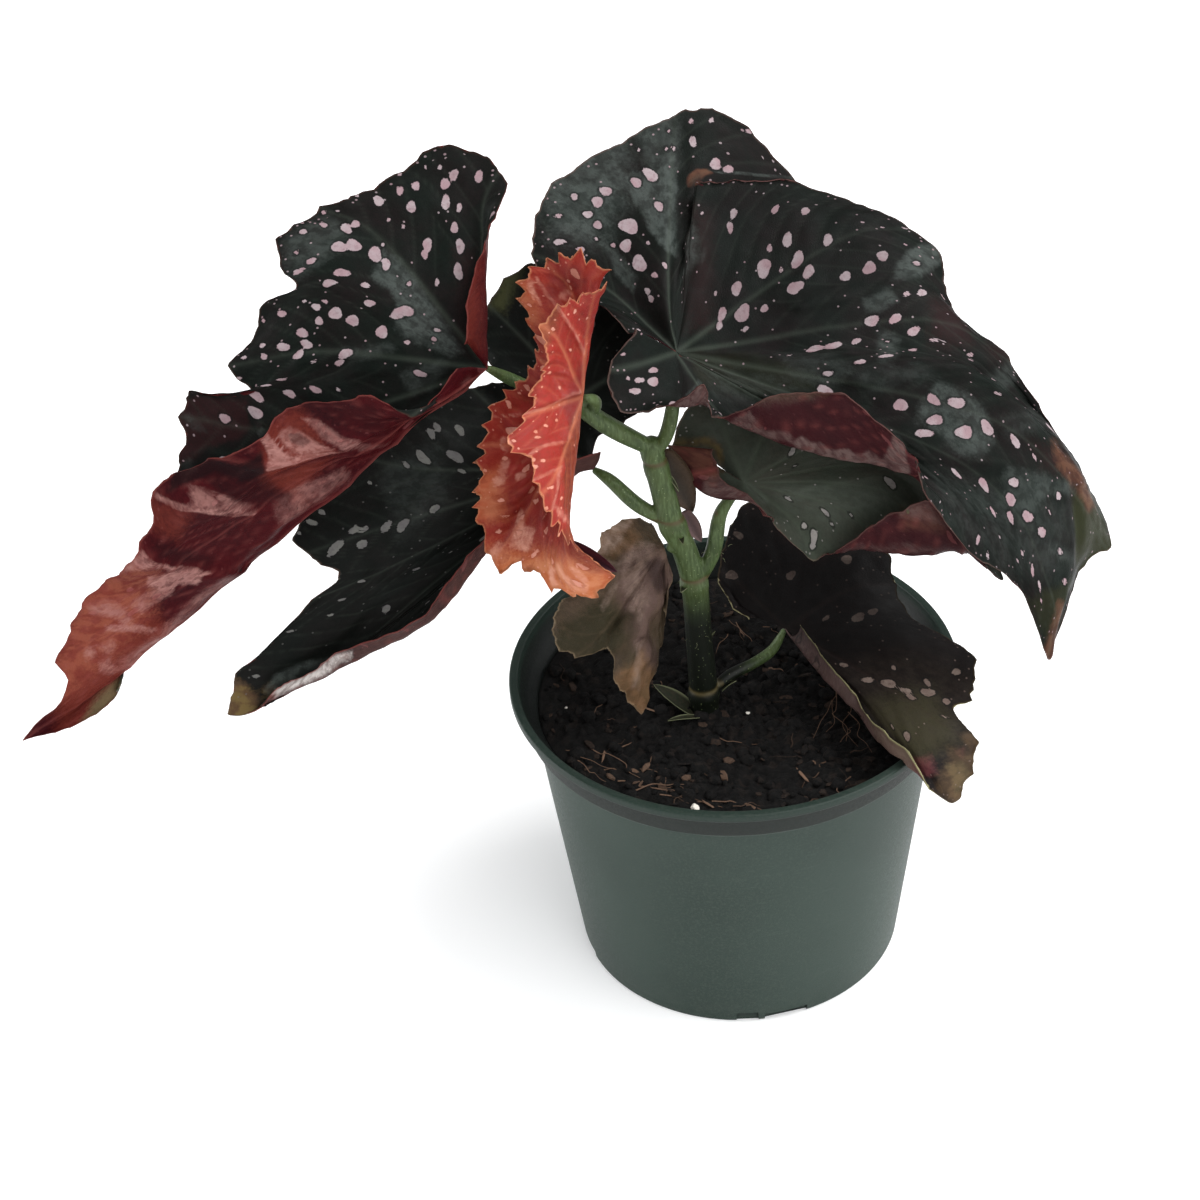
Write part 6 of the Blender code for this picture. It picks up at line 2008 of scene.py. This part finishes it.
def build_soil():
    """Peat that fills the pot, its surface lumpy and crumbly."""
    rings = round(SOIL_RADIUS / SOIL_CELL)
    profile = [(SOIL_RADIUS * i / rings, SOIL_LEVEL) for i in range(rings + 1)]
    wall_foot = FLOOR_THICKNESS + FLOOR_CHAMFER + SOIL_CLEARANCE
    profile += [
        (BASE_RADIUS - WALL - SOIL_CLEARANCE, wall_foot),
        (BASE_RADIUS - WALL - FLOOR_CHAMFER - SOIL_CLEARANCE, FLOOR_THICKNESS + SOIL_CLEARANCE),
        (0.0, FLOOR_THICKNESS + SOIL_CLEARANCE),
    ]
    points, faces = turned_mesh(profile, SOIL_SIDES, False)
    top = points[:, 2] > SOIL_LEVEL / 2
    away = np.hypot(points[top, 0], points[top, 1]) / SOIL_RADIUS
    fade = 1.0 - np.clip(away, 0.0, 1.0) ** SOIL_FADE
    points[top, 2] += soil_height(points[top, :2]) * fade
    mesh = mesh_from("soil_peat", points, faces)
    mesh.materials.append(soil_material())
    add_object("soil_peat", mesh, ["soil"])


# Litter on the soil and small growths on the stem
CHIP_COUNT = 170
CHIP_SIZES = (1.0, 3.4)
CHIP_CORNERS = 7
# Unevenness of a chip's outline: turn and reach of its corners
CHIP_JITTER = 0.3
CHIP_REACH = (0.7, 1.15)
# Thickness of a chip as a share of its size, its bend as one of its length, and the size of its upper
# side as one of its lower side
CHIP_THICKNESS = 0.35
CHIP_BEND = 0.06
CHIP_TAPER = 0.86
# How much longer than wide chips are, and how far they tilt
CHIP_STRETCH = (1.0, 2.4)
CHIP_TILT = 0.35
PALE_TILT = 0.2
# Strands: points of the route, sides and step of the mesh, how far it wanders as a share of its length,
# how much of that it does upwards, and how much thinner it ends
STRAND_POINTS = 6
STRAND_SIDES = 6
STRAND_STEP = 0.9
STRAND_WANDER = 0.07
STRAND_RISE = 0.3
STRAND_TAPER = 0.6
FIBRE_COUNT = 46
FIBRE_SPREAD = 6.0
FIBRE_RADII = (0.14, 0.3)
FIBRE_SAGS = (0.2, 0.9)
# Free distance to the pot's wall
FIBRE_SPARE = 1.2
CLOD_COUNT = 420
CLOD_SIZES = (0.8, 3.6)
LUMP_ROUGHNESS = 0.35
LUMP_FLATNESS = 0.7
# Grains of perlite: pixel and radius in millimetres
BEAD_PLACES = ((695, 807, 1.5), (748, 717, 0.7), (861, 690, 0.8), (566, 706, 0.5))
# Slender pale chips: both ends in pixels and the width in millimetres
PALE_CHIPS = (
    (795, 767, 810, 784, 1.3), (605, 748, 602, 763, 1.0), (700, 797, 716, 806, 0.9),
    (640, 708, 662, 716, 0.8),
)
# Fibres of the front left, where they lie thickest: both ends in pixels
LONG_FIBRES = (
    (566, 752, 612, 772), (590, 750, 640, 781), (604, 768, 652, 777), (618, 783, 668, 792),
    (640, 770, 690, 799), (655, 790, 705, 803), (660, 798, 722, 806), (712, 801, 762, 809),
    (578, 764, 606, 786), (630, 796, 684, 788),
)
# Roots: the pixel where each leaves the stem and the one where it enters the soil
ROOTS = (
    (838, 688, 826, 735), (842, 694, 858, 748), (832, 700, 812, 742), (848, 712, 872, 756),
    (836, 690, 846, 742), (729, 620, 744, 643), (736, 622, 756, 652), (728, 634, 716, 656),
)
ROOT_RISE = 6.0
ROOT_RADIUS = 0.16
ROOT_SAG = 1.0


def on_level(x, y, height):
    """Point of a height that the camera sees at a pixel."""
    right, up, forward, place = camera_axes()
    middle = IMAGE_SIZE / 2
    ray = forward + right * (x - middle) / PIXEL_SCALE - up * (y - middle) / PIXEL_SCALE
    return place + ray * (height - place[2]) / ray[2]


def soil_top(x, y):
    """Height of the peat's surface at one place."""
    away = math.hypot(x, y) / SOIL_RADIUS
    return SOIL_LEVEL + float(soil_height(np.array([[x, y]]))[0]) * (1.0 - min(1.0, away) ** SOIL_FADE)


def kept_inside(x, y, spare):
    """The place, moved inwards where it is nearer to the pot's wall than the spare distance."""
    limit = (SOIL_RADIUS - spare) / max(math.hypot(x, y), 1e-6)
    return (x * limit, y * limit) if limit < 1.0 else (x, y)


def on_soil(point, spare, rise):
    """Place above the soil at a point's x and y, kept away from the pot's wall."""
    x, y = kept_inside(point[0], point[1], spare)
    return x, y, soil_top(x, y) + rise


def chip(centre, size, length, turn, tilt, rng):
    """Flat splinter with an uneven outline."""
    outline = []
    for i in range(CHIP_CORNERS):
        angle = 2 * math.pi * i / CHIP_CORNERS + rng.uniform(-CHIP_JITTER, CHIP_JITTER)
        reach = rng.uniform(*CHIP_REACH)
        outline.append((math.cos(angle) * length * reach, math.sin(angle) * size * reach))
    spin = Matrix.Rotation(turn, 3, "Z") @ Matrix.Rotation(tilt, 3, "X")
    thick = CHIP_THICKNESS * size
    points = []
    for level, shrink in ((-0.5, 1.0), (0.5, CHIP_TAPER)):
        for x, y in outline:
            bend = CHIP_BEND * x * x / length
            points.append(list(spin @ Vector((x * shrink, y * shrink, level * thick + bend))))
    below = list(range(CHIP_CORNERS))
    faces = [[v + CHIP_CORNERS for v in below], below[::-1]]
    for i, k in zip(below, below[1:] + below[:1]):
        faces.append([i, k, CHIP_CORNERS + k, CHIP_CORNERS + i])
    return np.array(points) + centre, faces


def strand(start, end, radius, sag, rng):
    """Thin wandering tube from start to end."""
    start, end = np.array(start), np.array(end)
    length = np.linalg.norm(end - start)
    route = []
    for share in np.linspace(0, 1, STRAND_POINTS):
        middle = math.sin(math.pi * share)
        wander = rng.normal(0, STRAND_WANDER * length, 3) * middle * (1, 1, STRAND_RISE)
        place = start + (end - start) * share + wander
        route.append((*place[:2], place[2] + sag * middle, radius * (1.0 - STRAND_TAPER * share)))
    return tube_mesh(route, sides=STRAND_SIDES, step=STRAND_STEP)


def lump(centre, radius, shift, subdivisions):
    """Rough ball with a noisy skin, a little flattened."""
    edit = bmesh.new()
    bmesh.ops.create_icosphere(edit, subdivisions=subdivisions, radius=radius)
    for vertex in edit.verts:
        rough = noise.fractal(vertex.co * (1.1 / radius) + Vector((shift, 0.0, 0.0)), 1.0, 2.0, 3)
        vertex.co *= 1.0 + LUMP_ROUGHNESS * rough
        vertex.co.z *= LUMP_FLATNESS
    points = np.array([list(v.co) for v in edit.verts]) + centre
    faces = [[v.index for v in face.verts] for face in edit.faces]
    edit.free()
    return points, faces


def toned_mesh(name, pieces, tones, smooth=True):
    """Mesh of many small ones, with the tone of each, one number or one for each of its points."""
    mesh = mesh_from(name, *joined(pieces), smooth)
    spread = [np.broadcast_to(tone, len(points)) for (points, _), tone in zip(pieces, tones)]
    store(mesh, "tone", np.concatenate(spread))
    return mesh


def litter_material(name, dark, light, roughness):
    """Dry streaky skin between a dark and a light colour, by the tone stored on the mesh."""
    material, tree, shader = new_material(name)
    streaks = noise_value(tree, object_place(tree), 1.3, 3.0, 0.6)
    tone = calculate(tree, "ADD", attribute(tree, "tone"), multiply(tree, streaks, 0.5))
    colour = mix(tree, remap(tree, tone, 0.2, 1.3), dark, light)
    set_surface(tree, shader, colour, roughness, 0.2, bump(tree, streaks, 0.6, 0.0004))
    return material


def build_clods():
    """Crumbs and clods of peat that lie loose on the surface."""
    rng = np.random.default_rng(17)
    pieces = []
    for i in range(CLOD_COUNT):
        away, turn = SOIL_RADIUS * math.sqrt(rng.uniform(0.0, 1.0)), rng.uniform(0, 2 * math.pi)
        radius = rng.uniform(*CLOD_SIZES) * rng.uniform(0.5, 1.0)
        place = (away * math.cos(turn), away * math.sin(turn))
        pieces.append(lump(on_soil(place, 1.25 * radius + 0.4, 0.1 * radius), radius, 3.0 * i, 2))
    mesh = mesh_from("soil_clods", *joined(pieces))
    mesh.materials.append(bpy.data.materials["soil_peat"])
    add_object("soil_clods", mesh, [])


def scattered_chips(rng):
    """Bark chips of any turn and their tones, lighter ones at the front left."""
    pieces, tones = [], []
    for _ in range(CHIP_COUNT):
        away = SOIL_RADIUS * math.sqrt(rng.uniform(0.02, 0.95))
        turn = rng.uniform(0, 2 * math.pi)
        size = rng.uniform(*CHIP_SIZES) / 2
        length = size * rng.uniform(*CHIP_STRETCH)
        centre = on_soil((away * math.cos(turn), away * math.sin(turn)), length + 1.0, 0.25 * size)
        turn, tilt = rng.uniform(0, 6.3), rng.normal(0, CHIP_TILT)
        pieces.append(chip(centre, size, length, turn, tilt, rng))
        front = centre[1] < -30 and centre[0] < 5
        tones.append(rng.uniform(0.0, 0.7 if front else 0.3))
    return pieces, tones


def pale_chips(rng):
    """Slender pale chips where the photograph shows them."""
    pieces = []
    for x0, y0, x1, y1, width in PALE_CHIPS:
        start, end = on_level(x0, y0, SOIL_LEVEL + 1.5), on_level(x1, y1, SOIL_LEVEL + 1.5)
        turn = math.atan2(end[1] - start[1], end[0] - start[0])
        length = np.linalg.norm(end - start) / 2
        centre = on_soil((start + end) / 2, 3.0, 0.7)
        pieces.append(chip(centre, width / 2, length, turn, PALE_TILT, rng))
    return pieces, [1.5] * len(pieces)


def scattered_fibres(rng):
    """Fibres that lie on the peat and their tones: first those that the photograph shows."""
    pieces, tones = [], []
    for i in range(FIBRE_COUNT + len(LONG_FIBRES)):
        if i < len(LONG_FIBRES):
            x0, y0, x1, y1 = LONG_FIBRES[i]
            start, end = on_level(x0, y0, SOIL_LEVEL), on_level(x1, y1, SOIL_LEVEL)
        else:
            away, turn = SOIL_RADIUS * math.sqrt(rng.uniform(0.0, 0.9)), rng.uniform(0, 6.3)
            start = np.array((away * math.cos(turn), away * math.sin(turn), 0.0))
            end = start + (*rng.normal(0, FIBRE_SPREAD, 2), 0.0)
        ends = [on_soil(point, FIBRE_SPARE, 0.35) for point in (start, end)]
        pieces.append(strand(*ends, rng.uniform(*FIBRE_RADII), rng.uniform(*FIBRE_SAGS), rng))
        tones.append(rng.uniform(0.7, 1.3) if i < len(LONG_FIBRES) else rng.uniform(0.1, 0.8))
    return pieces, tones


def roots(rng):
    """Thin roots from the stem into the soil and their tones."""
    pieces, tones = [], []
    for x0, y0, x1, y1 in ROOTS:
        start, end = on_level(x0, y0, SOIL_LEVEL + ROOT_RISE), on_level(x1, y1, SOIL_LEVEL)
        foot = on_soil(end, FIBRE_SPARE, 0.2)
        pieces.append(strand(start, foot, ROOT_RADIUS, ROOT_SAG, rng))
        tones.append(rng.uniform(0.6, 1.0))
    return pieces, tones


def build_litter():
    """Bark chips, fibres and roots that lie on the peat."""
    rng = np.random.default_rng(5)
    pieces, tones = [], []
    for kind in (scattered_chips, pale_chips, scattered_fibres, roots):
        own_pieces, own_tones = kind(rng)
        pieces += own_pieces
        tones += own_tones
    mesh = toned_mesh("soil_litter", pieces, tones, smooth=False)
    mesh.materials.append(litter_material("bark_and_fibre", srgb(12, 11, 11), srgb(112, 88, 72), 0.85))
    add_object("soil_litter", mesh, [])


def build_perlite():
    """Rough white grains, the largest one the whitest."""
    pieces = []
    for x, y, radius in BEAD_PLACES:
        place = on_soil(on_level(x, y, SOIL_LEVEL + radius), radius + 0.3, 0.6 * radius)
        pieces.append(lump(place, radius, x, 3))
    mesh = toned_mesh("perlite", pieces, [1.5] + [0.9] * (len(pieces) - 1))
    mesh.materials.append(litter_material("perlite_grain", srgb(150, 146, 138), srgb(226, 222, 212), 0.8))
    add_object("perlite_grains", mesh, [])


# Papery bracts at the nodes: base and tip in pixels with their heights, width and lift in millimetres
BRACTS = (
    (694, 712, 107.0, 653, 686, 110.0, 8.0, 1.5), (700, 716, 107.0, 668, 722, 107.0, 4.0, 1.0),
    (722, 690, 112.0, 737, 682, 115.0, 3.0, 1.0), (690, 583, 158.0, 681, 594, 160.0, 3.0, 1.0),
    (676, 524, 183.0, 683, 545, 181.0, 3.0, 0.8), (664, 470, 206.0, 678, 492, 199.0, 3.0, 0.8),
    (706, 648, 131.0, 716, 632, 138.0, 2.5, 0.8),
)
BRACT_ROWS = 12
BRACT_COLUMNS = 8
BRACT_THICKNESS = 0.25
BRACT_FACING = (0.0, 0.3, 1.0)
# Dry stipules: name, base, tip, width and lift, then the dark and the light colour
STIPULES = (
    ("orange_stipule", (-58.3, -37, 204), (-39.6, -43.7, 196), 7.0, 1.2, (38, 14, 24), (74, 34, 44)),
    ("branch_stipule", (-22.5, -2.5, 214), (-12.5, -1, 188), 12.0, 1.5, (38, 30, 22), (62, 48, 36)),
    ("cane_stipule", (-15.4, -4, 190), (-10, -4, 177), 5.5, 0.8, (58, 42, 42), (92, 72, 70)),
)
STIPULE_FACING = (0.0, -1.0, 0.3)
# Places around which short hairs stand, how many at each, and their distance from the place
HAIR_NODES = (
    (-23.0, -3.0, 203.0), (-13.0, -4.0, 160.0), (-12.0, -6.0, 138.0), (-19.0, -4.0, 186.0),
    (-4.0, -3.0, 172.0),
)
HAIR_COUNT = 9
HAIR_START = 3.4


def bract(base, tip, width, lift, facing=BRACT_FACING):
    """Small pointed scale, boat-shaped, thicker than paper. Its third value is how near each point
    lies to the edge."""
    base, tip = np.array(base), np.array(tip)
    along = tip - base
    side = np.cross(along, facing)
    side /= np.linalg.norm(side)
    up = np.cross(side, along)
    up /= np.linalg.norm(up)
    rows, columns = BRACT_ROWS, BRACT_COLUMNS
    layers = []
    for thickness in (0.0, -BRACT_THICKNESS):
        for u in np.linspace(0, 1, rows + 1):
            half = 0.5 * width * math.sin(math.pi * min(1.0, 0.18 + 0.82 * u)) ** 0.8
            for v in np.linspace(-1, 1, columns + 1):
                height = lift * math.sin(math.pi * u * 0.8) - 0.35 * half * (1 - v * v) + thickness
                layers.append(base + along * u + side * half * v + up * height)
    numbers = np.arange((rows + 1) * (columns + 1)).reshape(rows + 1, columns + 1)
    count = numbers.size
    faces = grid_faces(numbers, False) + grid_faces(numbers + count, True)
    rim = [*numbers[:, 0], *numbers[-1, 1:], *numbers[-2::-1, -1], *numbers[0, -2:0:-1]]
    for a, b in zip(rim, [*rim[1:], rim[0]]):
        faces.append([int(a), int(b), int(b) + count, int(a) + count])
    edge = np.tile(np.abs(np.linspace(-1, 1, columns + 1)), 2 * (rows + 1))
    return np.array(layers), faces, edge


def bract_material():
    """Dull green skin with a pale edge."""
    material, tree, shader = new_material("bract_skin")
    streaks = noise_value(tree, object_place(tree), 0.8, 3.0, 0.6)
    colour = mix(tree, remap(tree, streaks, 0.35, 0.65), srgb(30, 36, 20), srgb(44, 42, 28))
    colour = mix(tree, remap(tree, attribute(tree, "tone"), 0.72, 1.0), colour, srgb(104, 108, 80))
    set_surface(tree, shader, colour, 0.6, 0.25, bump(tree, streaks, 0.4, 0.0003))
    return material


def build_bracts():
    """Bracts and short pale hairs at the stem's nodes."""
    rng = np.random.default_rng(9)
    pieces, tones = [], []
    for x0, y0, z0, x1, y1, z1, width, lift in BRACTS:
        points, faces, tone = bract(on_level(x0, y0, z0), on_level(x1, y1, z1), width, lift)
        pieces.append((points, faces))
        tones.append(tone)
    for node in HAIR_NODES:
        for _ in range(HAIR_COUNT):
            direction = rng.normal(0, 1, 3) * (1.0, 1.0, 0.5)
            direction /= np.linalg.norm(direction)
            start = np.array(node) + direction * HAIR_START
            pieces.append(strand(start, start + direction * rng.uniform(1.5, 3.2), 0.1, 0.2, rng))
            tones.append(1.0)
    mesh = toned_mesh("stem_bracts", pieces, tones)
    mesh.materials.append(bract_material())
    add_object("stem_bracts", mesh, [])


def build_stipules():
    """Dry brown stipules that hang by the stem and the orange leaf."""
    for name, base, tip, width, lift, dark, light in STIPULES:
        points, faces, tone = bract(base, tip, width, lift, STIPULE_FACING)
        mesh = toned_mesh(name, [(points, faces)], [tone])
        mesh.materials.append(litter_material(name + "_skin", srgb(*dark), srgb(*light), 0.5))
        add_object(name, mesh, [])


# Surroundings, with places and sizes in metres
FLOOR_SIZE = 40.0
# Light of the floor itself, which keeps the shadow pale
FLOOR_GLOW = 0.16
# Brightest direction of the surroundings, how directly it has to be faced, from where the brightness
# starts to rise to where it is full, and the brightness away from it and towards it
WORLD_SIDE = (0.8, -0.45, 0.4)
WORLD_RANGE = (0.35, 1.0)
WORLD_STRENGTH = (0.4, 3.0)
# What the lights point at, then each light's name, place, size and power
LIGHT_TARGET = (0.0, 0.0, 0.15)
LIGHTS = (
    ("key", (0.9, 0.1, 1.9), (0.9, 0.9), 24.0),
    ("fill", (-1.9, 0.1, 0.55), (0.9, 0.9), 32.0),
    ("front", (0.4, -1.7, 2.2), (1.0, 0.7), 4.0),
)
WHITE = (1.0, 1.0, 1.0, 1.0)
CAMERA_CLIP = 20.0


def build_floor():
    """White surface on which the pot stands."""
    edit = bmesh.new()
    bmesh.ops.create_grid(edit, x_segments=8, y_segments=8, size=FLOOR_SIZE / 2)
    floor = linked("floor", mesh_of(edit, "floor"))
    material, tree, shader = new_material("floor_paper")
    clouds = noise_value(tree, object_place(tree), 0.01, 2.0)
    colour = mix(tree, clouds, srgb(246, 247, 248), srgb(250, 250, 250))
    set_surface(tree, shader, colour, 0.9, 0.1)
    set_inputs(tree, shader, {"Emission Color": srgb(250, 252, 255), "Emission Strength": FLOOR_GLOW})
    floor.data.materials.append(material)


def build_lights():
    """Large soft lights and a world that is brighter on one side."""
    for name, place, size, power in LIGHTS:
        light = bpy.data.lights.new(name, "AREA")
        light.shape = "RECTANGLE"
        light.size, light.size_y = size
        light.energy = power
        obj = linked(name, light)
        obj.location = place
        obj.rotation_euler = (Vector(LIGHT_TARGET) - Vector(place)).to_track_quat("-Z", "Y").to_euler()
    world = bpy.data.worlds.new("studio")
    world.use_nodes = True
    tree = world.node_tree
    inputs = {0: add_node(tree, "TexCoord").outputs["Generated"], 1: tuple(Vector(WORLD_SIDE).normalized())}
    towards = add_node(tree, "VectorMath", {"operation": "DOT_PRODUCT"}, inputs).outputs["Value"]
    strength = remap(tree, towards, *WORLD_RANGE, *WORLD_STRENGTH)
    set_inputs(tree, tree.nodes["Background"], {"Color": WHITE, "Strength": strength})
    bpy.context.scene.world = world
    bpy.context.scene.view_settings.view_transform = "Standard"


def build_camera():
    """Camera from which the photograph was taken."""
    right, up, forward, place = camera_axes()
    data = bpy.data.cameras.new("camera")
    data.lens = LENS
    data.sensor_width = SENSOR
    data.clip_end = CAMERA_CLIP
    camera = linked("camera", data)
    axes = Matrix((right.tolist(), up.tolist(), (-forward).tolist())).transposed()
    camera.matrix_world = Matrix.Translation(Vector(place.tolist()) * MM) @ axes.to_4x4()
    bpy.context.scene.camera = camera


build_camera()
build_lights()
build_floor()
build_pot()
build_soil()
build_clods()
build_litter()
build_perlite()
build_stem()
build_bracts()
build_stipules()
build_leaves()
